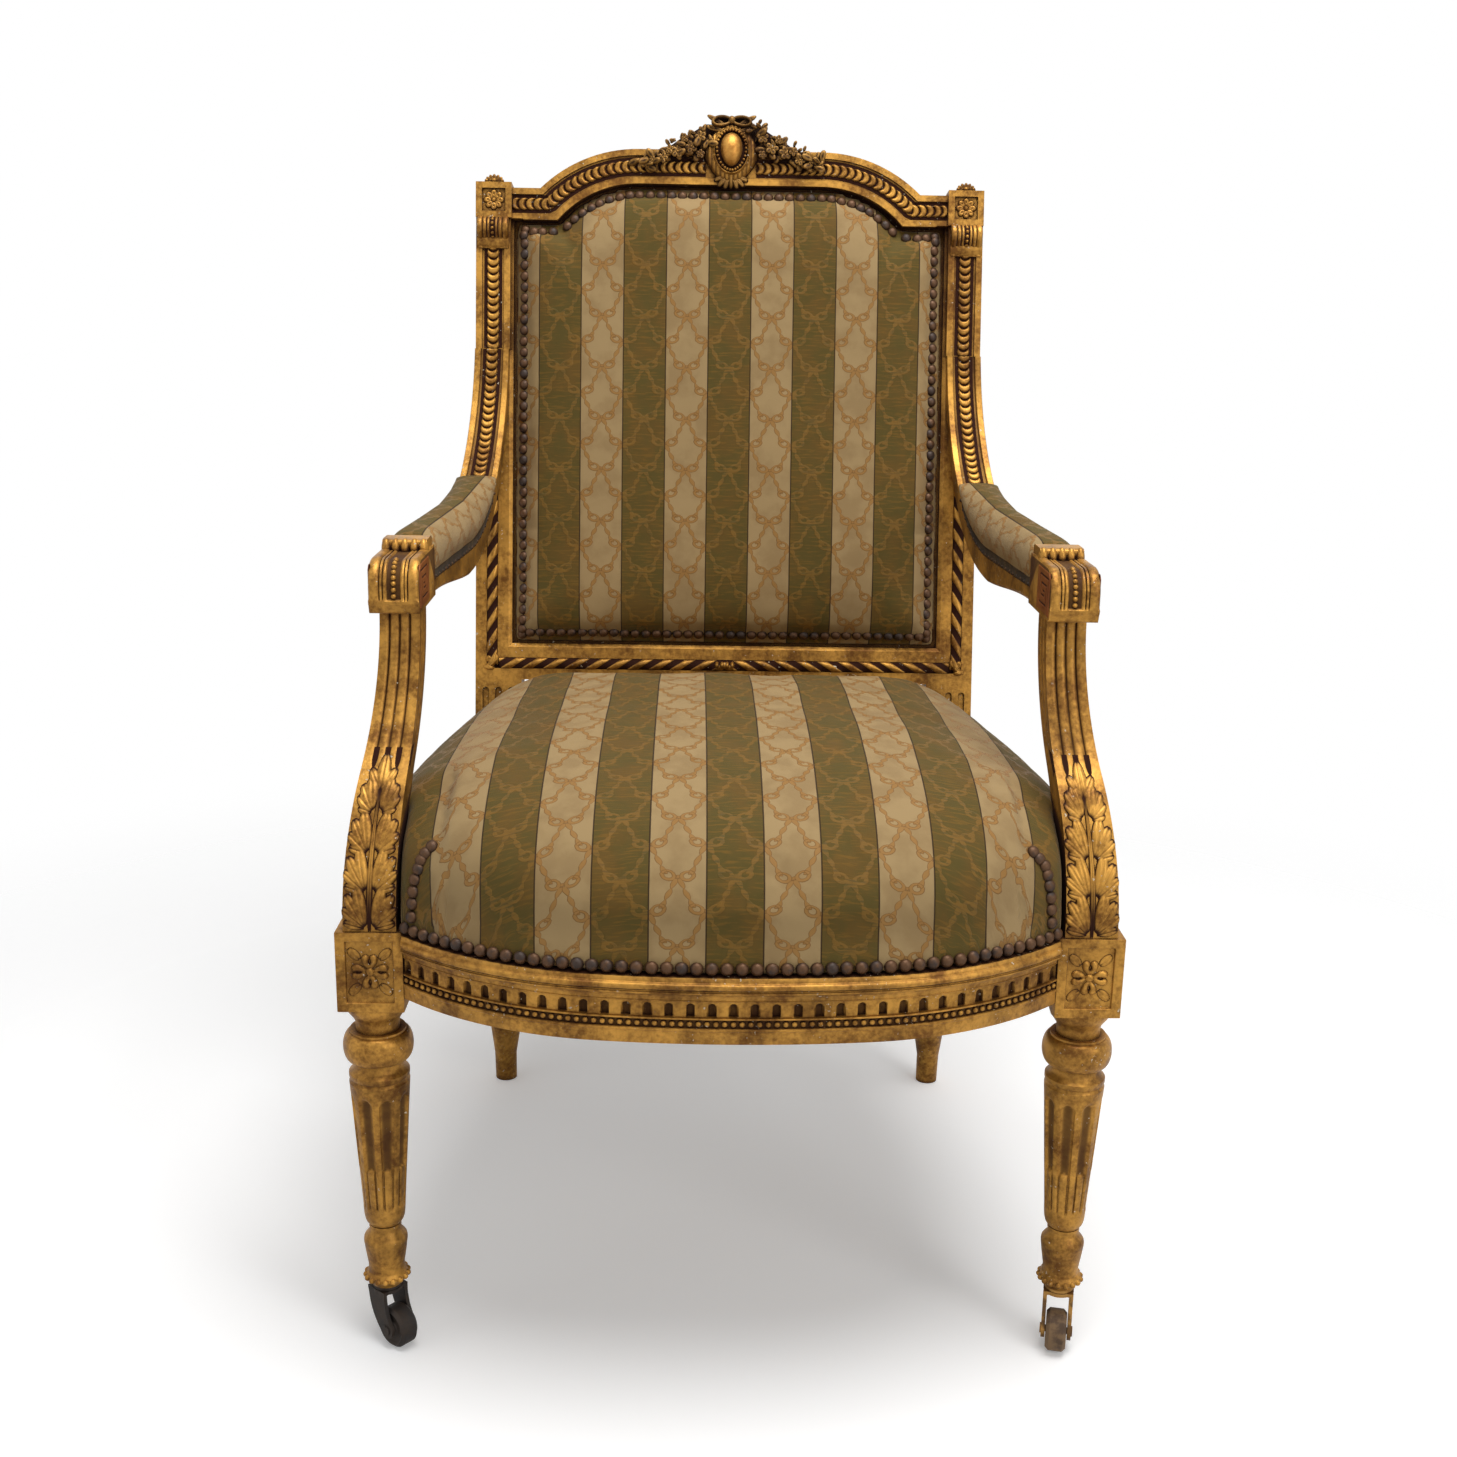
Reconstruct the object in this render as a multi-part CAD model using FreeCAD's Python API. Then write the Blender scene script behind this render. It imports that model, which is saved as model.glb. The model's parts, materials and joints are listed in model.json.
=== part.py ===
import FreeCAD, Part
import math
import os

V = FreeCAD.Vector

# All sizes are millimetres and degrees. X runs across the chair, -X is the viewer's left,
# -Y is the front and +Z is up. Y is measured from the axes of the front legs, and the
# finished chair is centred over its origin at the end.

# Front legs: a square block over a turned and fluted shaft
leg_spacing = 600.0
block_width = 56.0
seat_frame_top = 398.0
block_height = 71.0
block_panel_border = 8.0
block_panel_depth = 3.0
collar_width = 52.0
upper_neck_width = 37.0
torus_width = 59.5
torus_height = 26.0
torus_middle = 287.0
lower_neck_width = 41.0
shaft_top = 254.0
shaft_top_width = 51.6
shaft_bottom = 127.5
shaft_bottom_width = 35.6
shaft_rounding = 11.0
ankle_width = 26.0
vase_shoulder = 101.0
vase_shoulder_width = 38.0
vase_foot = 77.0
vase_foot_width = 31.5
pearl_ring_middle = 66.0
pearl_ring_width = 37.4
leg_foot_height = 57.0
leg_foot_width = 26.0
leg_flutes = 8
flute_depth = 3.2
flute_share = 0.66
flute_end_margin = 8.0
cable_sink = 1.0
cable_height = 40.0

# Castors under the front legs
castor_plate_width = 26.0
castor_plate_thickness = 2.5
castor_pin_width = 8.0
castor_pin_clearance = 0.05
castor_face_gap = 0.3
castor_rivet_width = 12.0
castor_rivet_height = 2.2
castor_screw_shank = 6.0
castor_screw_length = 24.0
fork_thickness = 3.4
fork_crown_width = 27.0
wheel_width = 37.0
wheel_tread = 18.0
wheel_side_gap = 0.8
wheel_trail = 13.0
axle_width = 6.0
axle_clearance = 0.05
axle_head_width = 9.0
axle_head_height = 1.2
left_castor_turn = 48.0
right_castor_turn = -13.0

# Seat rails
rail_height = 58.0
rail_thickness = 34.0
bow_depth = 112.0
bow_middle_radius = 900.0
bow_middle_half = 110.0
bow_end_overrun = 83.8
side_rail_bulge = 12.0
lip_projection = 9.0
lip_height = 12.0
rail_cove_height = 10.0
rail_frieze_height = 15.0
rail_astragal_height = 8.0
rail_frieze_recess = 3.0
tenon_thickness = 12.0
tenon_height = 28.0
tenon_length = 24.0
tenon_rise = 8.0
tenon_setback = 13.0
brace_width = 26.0
brace_height = 40.0

# Rear posts, each one piece from the foot to the corner block of the back
post_outer_half = 271.5
post_width = 50.0
post_depth = 48.0
post_front = 455.3
foot_width = 24.5
foot_middle = 519.0
ankle_rise = 34.0
knee_rise = 78.0
knee_width = 37.0
calf_rise = 190.0
calf_width = 45.0
post_flutes = 3
post_flute_width = 7.0

# Frame of the back, drawn flat and then leaned
back_bottom = 495.4
rake = 11.0
back_depth = 36.0
fillet_width = 12.0
astragal_width = 12.0
inner_fillet_width = 15.5
astragal_sink = 3.0
rebate_width = 10.5
rebate_depth = 8.0
corner_block_rise = 493.0
corner_block_width = 38.0
corner_block_height = 37.0
corner_block_projection = 12.0
strip_projection = 8.0
strip_fillet = 6.5
strip_recess = 2.5
arm_joint_rise = 355.0
bracket_height = 32.0
bracket_projection = 18.0
shell_width = 20.0
shell_height = 7.0

# Crest rail: two level ears and a raised arch between them
ear_bottom_rise = 492.0
crest_face_width = 36.0
ear_height = 33.0
arch_rise = 568.0
arch_radius = 151.0
arch_flat_half = 97.7
cartouche_top_rise = 604.7
cartouche_width = 54.0
cabochon_width = 23.5
cabochon_height = 36.0
cabochon_frame_width = 38.0
garland_reach = 86.0
carving_depth = 14.0

# Arms
arm_handle_front = 52.0
arm_handle_back = 146.0
arm_handle_bottom = 649.0
arm_handle_height = 45.0
arm_handle_middle = 284.0
arm_handle_width = 42.0
arm_handle_rounding = 22.0
arm_cap_front = 112.0
arm_cap_rise = 8.0
arm_rail_rise = 13.0
arm_rail_thickness = 24.0
arm_thinning = 14.6
arm_neck_run = 20.0
arm_bend = 450.0
arm_bend_middle = 263.0
arm_bend_width = 39.5
arm_top_width = 36.5
pad_crown_height = 43.0
pad_side_bulge = 7.0
pad_rear_rise = 53.0

# Arm supports, swept back from the front blocks to the handles
support_base_width = 44.0
support_base_depth = 48.0
support_base_outer = 321.0
support_top_front = 80.0
support_top_width = 34.0
support_top_depth = 36.0
support_top_middle = 284.0
support_grooves = 3
support_groove_width = 5.0
support_groove_depth = 3.0
support_leaf_height = 136.0
support_clearance = 5.0
support_tenon_width = 16.0
support_tenon_length = 14.0
glue_gap = 0.05

# Upholstery
cover_thickness = 2.5
soft_clearance = 0.8
seat_crown = 140.0
seat_back = 490.0
# the share of its height and how far it is drawn in there
seat_profile = ((0.0, 0.0), (0.20, -4.0), (0.48, 5.0), (0.64, 29.0), (0.80, 72.0), (0.97, 185.0))
cavity_inset = 62.0
cavity_height = 72.0
strap_width = 62.0
strap_thickness = 1.5
strap_overlap = 22.0
straps_across = 5
straps_along = 6
spring_width = 92.0
spring_waist = 58.0
spring_rows = 3
back_crown = 26.0
back_strap_width = 62.0
outer_back_thickness = 3.0

# Sizes that follow from the ones above
leg_x = leg_spacing / 2
block_half = block_width / 2
block_bottom = seat_frame_top - block_height
block_inner = leg_x - block_half
block_outer = leg_x + block_half
rail_bottom = seat_frame_top - rail_height
bow_end_radius = (block_inner + bow_end_overrun - bow_middle_half) / (1 - bow_middle_half / bow_middle_radius)
arm_handle_top = arm_handle_bottom + arm_handle_height
arm_rail_top = arm_handle_bottom + arm_rail_rise
post_inner_half = post_outer_half - post_width
post_middle = post_outer_half - post_width / 2
post_back = post_front + post_depth
lean = math.radians(rake)
back_front_y = post_front + (back_bottom - seat_frame_top) * math.tan(lean)
frame_face_width = fillet_width + astragal_width + inner_fillet_width
frame_inner_half = post_outer_half - frame_face_width
arch_centre_rise = arch_rise - arch_radius
ear_top_rise = ear_bottom_rise + ear_height
castor_plate_bottom = leg_foot_height - castor_plate_thickness
wheel_height = wheel_width / 2
wheel_slot = wheel_tread + 2 * wheel_side_gap
fork_width = wheel_slot + 2 * fork_thickness


def side_plane(x=0.0):
    return lambda y, z: V(x, y, z)


def plan_plane(z=0.0):
    return lambda x, y: V(x, y, z)


def front_plane(y=0.0):
    return lambda x, z: V(x, y, z)


class Outline:
    """A closed outline drawn in one plane from straight runs and arcs."""

    def __init__(self, plane, u, v):
        self.plane = plane
        self.first = (u, v)
        self.last = (u, v)
        self.edges = []

    def line(self, u, v):
        if math.dist(self.last, (u, v)) > 1e-6:
            self.edges.append(Part.LineSegment(self.plane(*self.last), self.plane(u, v)).toShape())
            self.last = (u, v)
        return self

    def arc(self, middle, end):
        points = [self.plane(*p) for p in (self.last, middle, end)]
        self.edges.append(Part.Arc(*points).toShape())
        self.last = end
        return self

    def bulge(self, u, v, height):
        """An arc to a point, its middle standing off the chord to the left of travel."""
        du, dv = u - self.last[0], v - self.last[1]
        length = math.hypot(du, dv)
        middle = ((self.last[0] + u) / 2 - dv / length * height,
                  (self.last[1] + v) / 2 + du / length * height)
        return self.arc(middle, (u, v))

    def around(self, centre, radius, start, end):
        """An arc about a centre between two angles, reached by a straight run if need be."""
        at = [(centre[0] + radius * math.cos(math.radians(a)),
               centre[1] + radius * math.sin(math.radians(a)))
              for a in (start, (start + end) / 2, end)]
        self.line(*at[0])
        return self.arc(at[1], at[2])

    def wire(self):
        self.line(*self.first)
        return Part.Wire(self.edges)

    def face(self):
        return Part.Face(self.wire())


def box(x0, x1, y0, y1, z0, z1):
    return Part.makeBox(x1 - x0, y1 - y0, z1 - z0, V(x0, y0, z0))


def rod(width, start, end):
    axis = end - start
    return Part.makeCylinder(width / 2, axis.Length, start, axis)


def fused(solids):
    return solids[0].multiFuse(solids[1:]).removeSplitter() if len(solids) > 1 else solids[0]


def polygon_ring(z, radius, count):
    turns = [2 * math.pi * k / count for k in range(count)]
    return [V(radius * math.cos(t), radius * math.sin(t), z) for t in turns]


def faceted(rings):
    """A solid with plane faces through rings of corners, closed at both ends."""
    faces = [Part.Face(Part.makePolygon(ring + ring[:1])) for ring in (rings[0], rings[-1])]
    for lower, upper in zip(rings, rings[1:]):
        for k in range(len(lower)):
            n = (k + 1) % len(lower)
            faces.append(Part.Face(Part.makePolygon([lower[k], lower[n], upper[n], upper[k], lower[k]])))
    solid = Part.Solid(Part.Shell(faces))
    return solid if solid.Volume > 0 else solid.reversed()


def mirrored(shape):
    return shape.mirror(V(0, 0, 0), V(1, 0, 0))


def leaned(shape):
    """Carries a piece drawn flat, front face at y = 0 and foot at z = 0, to the leaning back."""
    moved = shape.copy()
    moved.rotate(V(0, 0, 0), V(1, 0, 0), -rake)
    moved.translate(V(0, back_front_y, back_bottom))
    return moved


def swung(face, centre, start, end):
    """Turns a section that stands in the plane x = centre, ahead of the centre, between two angles."""
    section = face.copy()
    section.rotate(centre, V(0, 0, 1), start)
    return section.revolve(centre, V(0, 0, 1), end - start)


# Curves of the seat in plan

def bow_points():
    """Centres of the arcs of the front rail's face, and the angle where they meet."""
    middle_centre = bow_middle_radius - bow_depth
    turn = math.asin(bow_middle_half / bow_middle_radius)
    gap = bow_middle_radius - bow_end_radius
    end_centre = (gap * math.sin(turn), middle_centre - gap * math.cos(turn))
    return middle_centre, end_centre, math.degrees(turn)


def side_arc():
    """Centre and radius of the side rail's outer face, from the front block to the rear post."""
    front = (block_outer - lip_projection, block_half)
    rear = (post_outer_half - lip_projection, post_front)
    dx, dy = rear[0] - front[0], rear[1] - front[1]
    chord = math.hypot(dx, dy)
    radius = (chord ** 2 / 4 + side_rail_bulge ** 2) / (2 * side_rail_bulge)
    drop = radius - side_rail_bulge
    middle = ((front[0] + rear[0]) / 2, (front[1] + rear[1]) / 2)
    return (middle[0] - drop * dy / chord, middle[1] + drop * dx / chord), radius


def circles_meet(first, first_radius, second, second_radius):
    """The point with the lower y where two circles cross."""
    dx, dy = second[0] - first[0], second[1] - first[1]
    gap = math.hypot(dx, dy)
    along = (gap ** 2 + first_radius ** 2 - second_radius ** 2) / (2 * gap)
    off = math.sqrt(max(first_radius ** 2 - along ** 2, 0.0))
    foot = (first[0] + along * dx / gap, first[1] + along * dy / gap)
    ends = [(foot[0] + s * off * dy / gap, foot[1] - s * off * dx / gap) for s in (1, -1)]
    return min(ends, key=lambda p: p[1])


def seat_wire(inset, z):
    """The seat's outline in plan, drawn in from the faces of the rails by the inset."""
    middle_centre, end_centre, turn = bow_points()
    side_centre, side_radius = side_arc()
    end_radius, side_radius = bow_end_radius - inset, side_radius - inset
    corner = circles_meet(end_centre, end_radius, side_centre, side_radius)
    back = seat_back - inset
    rear_x = side_centre[0] + math.sqrt(side_radius ** 2 - (back - side_centre[1]) ** 2)
    corner_angle = math.degrees(math.atan2(corner[1] - end_centre[1], corner[0] - end_centre[0]))
    middle_radius = bow_middle_radius - inset
    half_y = (corner[1] + back) / 2
    half_x = side_centre[0] + math.sqrt(side_radius ** 2 - (half_y - side_centre[1]) ** 2)
    shape = Outline(plan_plane(z), -rear_x, back)
    shape.arc((-half_x, half_y), (-corner[0], corner[1]))
    shape.around((-end_centre[0], end_centre[1]), end_radius, -180 - corner_angle, -90 - turn)
    shape.around((0, middle_centre), middle_radius, -90 - turn, -90 + turn)
    shape.around(end_centre, end_radius, -90 + turn, corner_angle)
    shape.arc((half_x, half_y), (rear_x, back))
    return shape.wire()


# Front legs and castors

def upper_profile():
    """Half section of the turning between the block and the shaft."""
    neck, torus, waist = upper_neck_width / 2, torus_width / 2, lower_neck_width / 2
    torus_low, torus_high = torus_middle - torus_height / 2, torus_middle + torus_height / 2
    shape = Outline(front_plane(), 0, block_bottom)
    shape.line(collar_width / 2, block_bottom).line(collar_width / 2, block_bottom - 4)
    shape.line(neck + 3, block_bottom - 12).line(neck, torus_high + 8)
    shape.line(neck, torus_high + 2).line(torus - 6, torus_high + 2).line(torus - 6, torus_high)
    shape.bulge(torus - 6, torus_low, 6)
    shape.line(waist, torus_low)
    shape.line(waist, torus_low - 3)
    shape.line(waist + 1.5, shaft_top + 12).line(shaft_top_width / 2, shaft_top + 9)
    shape.line(shaft_top_width / 2, shaft_top + 5).line(shaft_top_width / 2 - 1.5, shaft_top + 3)
    shape.line(shaft_top_width / 2, shaft_top).line(0, shaft_top)
    return shape.face()


def lower_profile():
    """Half section of the turned foot under the shaft: ankle, vase and pearl ring."""
    ankle = shaft_bottom - shaft_rounding
    shape = Outline(front_plane(), 0, shaft_bottom)
    shape.line(shaft_bottom_width / 2, shaft_bottom)
    shape.line((shaft_bottom_width + ankle_width) / 4 + 1, ankle + 3).line(ankle_width / 2, ankle)
    shape.line(ankle_width / 2 + 1, ankle).line(ankle_width / 2 + 1, ankle - 3)
    shape.line(ankle_width / 2, ankle - 3).line(ankle_width / 2, ankle - 5)
    shape.line(vase_shoulder_width / 2 - 1, vase_shoulder + 4)
    shape.line(vase_shoulder_width / 2, vase_shoulder)
    shape.line(vase_foot_width / 2, vase_foot)
    shape.line(vase_foot_width / 2, pearl_ring_middle + 4.5)
    shape.line(pearl_ring_width / 2, pearl_ring_middle + 1.5)
    shape.line(pearl_ring_width / 2, pearl_ring_middle - 1.5)
    shape.line(vase_foot_width / 2, pearl_ring_middle - 4.5)
    shape.line(leg_foot_width / 2, leg_foot_height).line(0, leg_foot_height)
    return shape.face()


def shaft_radius(z):
    share = (z - shaft_bottom) / (shaft_top - shaft_bottom)
    return (shaft_bottom_width + share * (shaft_top_width - shaft_bottom_width)) / 2


def fluted_wire(z, depth, floor_share):
    """A section of the shaft: lands on its circle, and a flat-floored flute between each pair."""
    radius = shaft_radius(z)
    pitch = 2 * math.pi / leg_flutes
    half = pitch * flute_share / 2

    def at(angle, sunk):
        return V((radius - sunk) * math.cos(angle), (radius - sunk) * math.sin(angle), z)
    edges = []
    for k in range(leg_flutes):
        turn = pitch * (k + 0.5)
        floor = half * floor_share
        corners = [at(turn - half, 0), at(turn - floor, depth), at(turn + floor, depth), at(turn + half, 0)]
        edges += [Part.LineSegment(p, q).toShape() for p, q in zip(corners, corners[1:])]
        edges.append(Part.LineSegment(corners[3], at(turn + pitch - half, 0)).toShape())
    return Part.Wire(edges)


def fluted_shaft():
    """The tapering shaft: open flutes that run out at the top over shallow cabled ones."""
    low = shaft_bottom + flute_end_margin
    high = shaft_top - flute_end_margin
    cable_top = low + cable_height
    cabled = [fluted_wire(z, cable_sink, 0.9) for z in (low, cable_top)]
    flutes = [fluted_wire(cable_top, flute_depth, 0.5),
              fluted_wire(high - 2 * flute_depth, flute_depth, 0.5), fluted_wire(high, 0.3, 0.5)]
    pieces = [Part.makeLoft(wires, True, True) for wires in (cabled, flutes)]
    for z0, z1 in ((shaft_bottom, low), (high, shaft_top)):
        pieces.append(Part.makeCone(shaft_radius(z0), shaft_radius(z1), z1 - z0, V(0, 0, z0)))
    return pieces


def block_panels(leg):
    """Sinks the square panels in the front and outer faces of a leg block."""
    inner = block_half - block_panel_border
    low, high = block_bottom + block_panel_border, seat_frame_top - block_panel_border
    front = box(-inner, inner, -block_half, -block_half + block_panel_depth, low, high)
    outer = box(block_half - block_panel_depth, block_half, -inner, inner, low, high)
    return leg.cut([front, outer])


def front_leg():
    """The right front leg about its own axis, before its mortises are cut."""
    turned = [half.revolve(V(0, 0, 0), V(0, 0, 1), 360) for half in (upper_profile(), lower_profile())]
    block = box(-block_half, block_half, -block_half, block_half, block_bottom, seat_frame_top)
    leg = block_panels(fused(turned + fluted_shaft() + [block]))
    leg = leg.cut(rod(castor_screw_shank + 2 * glue_gap, V(0, 0, leg_foot_height - 1),
                      V(0, 0, leg_foot_height + castor_screw_length)))
    leg.translate(V(leg_x, 0, 0))
    return leg


def castor_plate():
    """The plate screwed up into the leg, with the pin that the fork turns on."""
    plate = rod(castor_plate_width, V(0, 0, castor_plate_bottom), V(0, 0, leg_foot_height))
    shank = rod(castor_screw_shank, V(0, 0, leg_foot_height),
                V(0, 0, leg_foot_height + castor_screw_length))
    pin_end = castor_plate_bottom - fork_thickness - 2 * castor_face_gap
    pin = rod(castor_pin_width, V(0, 0, pin_end), V(0, 0, castor_plate_bottom))
    rivet = rod(castor_rivet_width, V(0, 0, pin_end - castor_rivet_height), V(0, 0, pin_end))
    return fused([plate, shank, pin, rivet])


def castor_fork():
    """The fork with its wheel leading towards -Y, crown bored for the pin, cheeks for the axle."""
    crown_top = castor_plate_bottom - castor_face_gap
    crown_bottom = crown_top - fork_thickness
    crown = rod(fork_crown_width, V(0, 0, crown_bottom), V(0, 0, crown_top))
    half = fork_width / 2
    cheek = Outline(side_plane(-half), fork_crown_width * 0.42, crown_top)
    cheek.line(fork_crown_width * 0.36, crown_bottom - 4)
    cheek.bulge(-wheel_trail + 7.5, wheel_height - 3, 3)
    cheek.around((-wheel_trail, wheel_height), 8.0, -22, -200)
    cheek.bulge(-fork_crown_width * 0.42, crown_top, -3)
    body = cheek.face().extrude(V(2 * half, 0, 0)).fuse(crown)
    slot = box(-wheel_slot / 2, wheel_slot / 2, -60, 60, -1, crown_bottom)
    bore = rod(castor_pin_width + 2 * castor_pin_clearance, V(0, 0, 0), V(0, 0, crown_top + 1))
    axle_hole = rod(axle_width + 2 * glue_gap, V(-60, -wheel_trail, wheel_height), V(60, -wheel_trail, wheel_height))
    return body.cut([slot, bore, axle_hole]).removeSplitter()


def castor_axle():
    half = fork_width / 2
    ends = [V(s * half, -wheel_trail, wheel_height) for s in (-1, 1)]
    heads = [rod(axle_head_width, end, end + V(s * axle_head_height, 0, 0))
             for s, end in zip((-1, 1), ends)]
    return fused([rod(axle_width, *ends)] + heads)


def castor_wheel():
    """A turned wheel with a slightly crowned tread and sunk sides."""
    half, radius = wheel_tread / 2, wheel_width / 2
    bore = axle_width / 2 + axle_clearance
    shape = Outline(front_plane(), -half, bore)
    shape.line(-half, bore + 4).line(-half + 1.5, bore + 5.5).line(-half + 1.5, radius - 5)
    shape.line(-half, radius - 3).line(-half + 3, radius)
    shape.line(half - 3, radius).line(half, radius - 3)
    shape.line(half - 1.5, radius - 5).line(half - 1.5, bore + 5.5)
    shape.line(half, bore + 4).line(half, bore)
    wheel = shape.face().revolve(V(0, 0, 0), V(1, 0, 0), 360)
    wheel.translate(V(0, -wheel_trail, wheel_height))
    return wheel


def castor_set(side, name, turn):
    """The four pieces of one castor, turned about its pin as in use."""
    pieces = {"castor_plate": castor_plate(), "castor_fork": castor_fork(),
              "castor_axle": castor_axle(), "castor_wheel": castor_wheel()}
    for shape in pieces.values():
        shape.rotate(V(0, 0, 0), V(0, 0, 1), turn)
        shape.translate(V(side * leg_x, 0, 0))
    return {f"{key}_{name}": shape for key, shape in pieces.items()}


# Seat frame

def rail_section(plane, face):
    """The moulded section of a seat rail; face is where its frieze stands, outward positive."""
    top, bottom = seat_frame_top, rail_bottom
    lip_low = top - lip_height
    cove_low = lip_low - rail_cove_height
    frieze_low = cove_low - rail_frieze_height
    astragal_low = frieze_low - rail_astragal_height
    shape = Outline(plane, face - rail_thickness, bottom)
    shape.line(face - 1, bottom).line(face, bottom + 1).line(face, astragal_low)
    shape.bulge(face, frieze_low, -3)
    shape.line(face - rail_frieze_recess, frieze_low).line(face - rail_frieze_recess, cove_low)
    shape.line(face, cove_low)
    shape.line(face + 1.5, cove_low + 5).line(face + lip_projection - 4, lip_low)
    shape.line(face + lip_projection, lip_low + 3).line(face + lip_projection, top - 5)
    shape.line(face + lip_projection - 5, top)
    shape.line(face - rail_thickness, top)
    return shape.face()


def rail_tenon(start, direction, across):
    """A tenon that leaves a shoulder at start, along one axis, centred across on the other."""
    low = rail_bottom + tenon_rise
    end = start + tenon_length * direction
    half = tenon_thickness / 2
    return sorted((start, end)), (across - half, across + half), (low, low + tenon_height)


def front_rail_at(x, inset=0.0):
    """Depth of the front rail's face, or of a line behind it, where it curves in to the block."""
    _, centre, _ = bow_points()
    return centre[1] - math.sqrt((bow_end_radius - inset) ** 2 - (x - centre[0]) ** 2)


def front_rail_tenon():
    across = front_rail_at(block_inner) + tenon_setback
    (x0, x1), (y0, y1), (z0, z1) = rail_tenon(block_inner, 1, across)
    return box(x0, x1, y0, y1, z0, z1)


def side_rail_front_tenon():
    (y0, y1), (x0, x1), (z0, z1) = rail_tenon(block_half, -1, leg_x)
    return box(x0, x1, y0, y1, z0, z1)


def side_rail_rear_tenon():
    (y0, y1), (x0, x1), (z0, z1) = rail_tenon(post_front, 1, post_middle)
    return box(x0, x1, y0, y1, z0, z1)


def rear_rail_tenon():
    across = post_back - tenon_thickness
    (x0, x1), (y0, y1), (z0, z1) = rail_tenon(post_inner_half, 1, across)
    return box(x0, x1, y0, y1, z0, z1)


def front_rail():
    """The bowed front rail: three tangent arcs, shouldered against the leg blocks."""
    middle_centre, end_centre, turn = bow_points()
    pieces = []
    centre = V(0, middle_centre, 0)
    face = rail_section(lambda u, z: V(0, middle_centre - u, z), bow_middle_radius)
    pieces.append(swung(face, centre, -turn, turn))
    for side in (-1, 1):
        centre = V(side * end_centre[0], end_centre[1], 0)
        face = rail_section(lambda u, z, c=centre: V(c.x, c.y - u, z), bow_end_radius)
        start, end = (turn, 62) if side > 0 else (-62, -turn)
        pieces.append(swung(face, centre, start, end))
    rail = fused(pieces)
    deep = bow_depth + rail_thickness + block_width
    rail = rail.common(box(-block_inner, block_inner, -deep, deep, 0, seat_frame_top + 10))
    tenon = front_rail_tenon()
    return fused([rail, tenon, mirrored(tenon)])


def side_rail():
    """The right side rail, gently bowed, between the front block and the rear post."""
    (cx, cy), radius = side_arc()
    centre = V(cx, cy, 0)
    section = rail_section(lambda u, z: V(cx, cy - u, z), radius)
    spread = math.degrees(math.asin((post_front - block_half) / radius))
    start = 90 - math.degrees(math.asin((cy - block_half) / radius))
    rail = swung(section, centre, start - 2, start + spread + 2)
    rail = rail.common(box(0, 500, block_half, post_front, 0, seat_frame_top + 10))
    return fused([rail, side_rail_front_tenon(), side_rail_rear_tenon()])


def rear_rail():
    front = post_back - rail_thickness
    rail = box(-post_inner_half, post_inner_half, front, post_back - 2, rail_bottom, seat_frame_top)
    tenon = rear_rail_tenon()
    return fused([rail, tenon, mirrored(tenon)])


def corner_braces(rails):
    """Four braces glued across the inner corners of the seat frame."""
    high = seat_frame_top - 8
    low = high - brace_height
    side_centre, side_radius = side_arc()

    def inner_side(y):
        reach = math.sqrt((side_radius - rail_thickness + 6) ** 2 - (y - side_centre[1]) ** 2)
        return side_centre[0] + reach

    front_y = block_half + 34
    back_y = post_front - 46
    front = Outline(plan_plane(low), inner_side(front_y), front_y)
    front.line(inner_side(front_y + brace_width), front_y + brace_width)
    front_end = block_inner - 92
    front.line(front_end, front_rail_at(front_end, rail_thickness) + 16)
    front.line(front_end + 30, front_rail_at(front_end + 30, rail_thickness) - 15)
    rear_face = post_back - rail_thickness + 6
    rear = Outline(plan_plane(low), inner_side(back_y), back_y)
    rear.line(post_inner_half - 44, rear_face).line(post_inner_half - 44 - brace_width, rear_face)
    rear.line(inner_side(back_y - brace_width), back_y - brace_width)
    braces = []
    for outline in (front, rear):
        brace = outline.face().extrude(V(0, 0, brace_height)).cut(rails)
        braces += [brace, mirrored(brace)]
    return Part.makeCompound(braces)


# Rear posts and the frame of the back

def rear_leg():
    """The round lower leg, kicked back and drawn in to its foot."""
    top_middle = post_front + post_depth / 2
    shape = []
    for z, width, share in ((0, foot_width, 1.0), (ankle_rise, foot_width + 1, 0.9),
                            (knee_rise, knee_width, 0.7), (calf_rise, calf_width, 0.34),
                            (block_bottom, post_depth - 2, 0.0)):
        y = top_middle + (foot_middle - top_middle) * share
        x = post_middle + (post_width - width) / 2 * 0.3
        shape.append(Part.Wire(Part.makeCircle(width / 2, V(x, y, z))))
    return Part.makeLoft(shape, True, True)


def frame_profile(plane, outer, inward):
    """Moulded section of the back's frame: across from its outer edge, then depth."""
    def across(distance):
        return outer + inward * distance
    inner = frame_face_width
    astragal_start = fillet_width
    astragal_end = fillet_width + astragal_width
    shape = Outline(plane, across(0), 0)
    shape.line(across(astragal_start), 0).line(across(astragal_start), astragal_sink)
    shape.bulge(across(astragal_end), astragal_sink, -astragal_sink * inward * plane.hand)
    shape.line(across(astragal_end), 0).line(across(inner - 4), 0).line(across(inner), 2)
    shape.line(across(inner), rebate_depth).line(across(inner + rebate_width), rebate_depth)
    shape.line(across(inner + rebate_width), back_depth).line(across(0), back_depth)
    return shape.face()


class BarPlane:
    """Maps a bar's section, across and deep, to the flat drawing of the back."""

    def __init__(self, upright):
        self.upright = upright
        self.hand = 1 if upright else -1

    def __call__(self, across, deep):
        return V(across, deep, 0) if self.upright else V(0, deep, across)


def mitre_side(upper):
    """Half of the lower right corner, split along the mitre from the outer corner."""
    reach = 600
    outer = post_outer_half
    shape = Outline(front_plane(-60), outer, 0).line(outer - reach, reach)
    if upper:
        shape.line(outer + reach, reach).line(outer + reach, 0)
    else:
        shape.line(outer - reach, -reach).line(outer, -reach)
    return shape.face().extrude(V(0, 160, 0))


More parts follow.
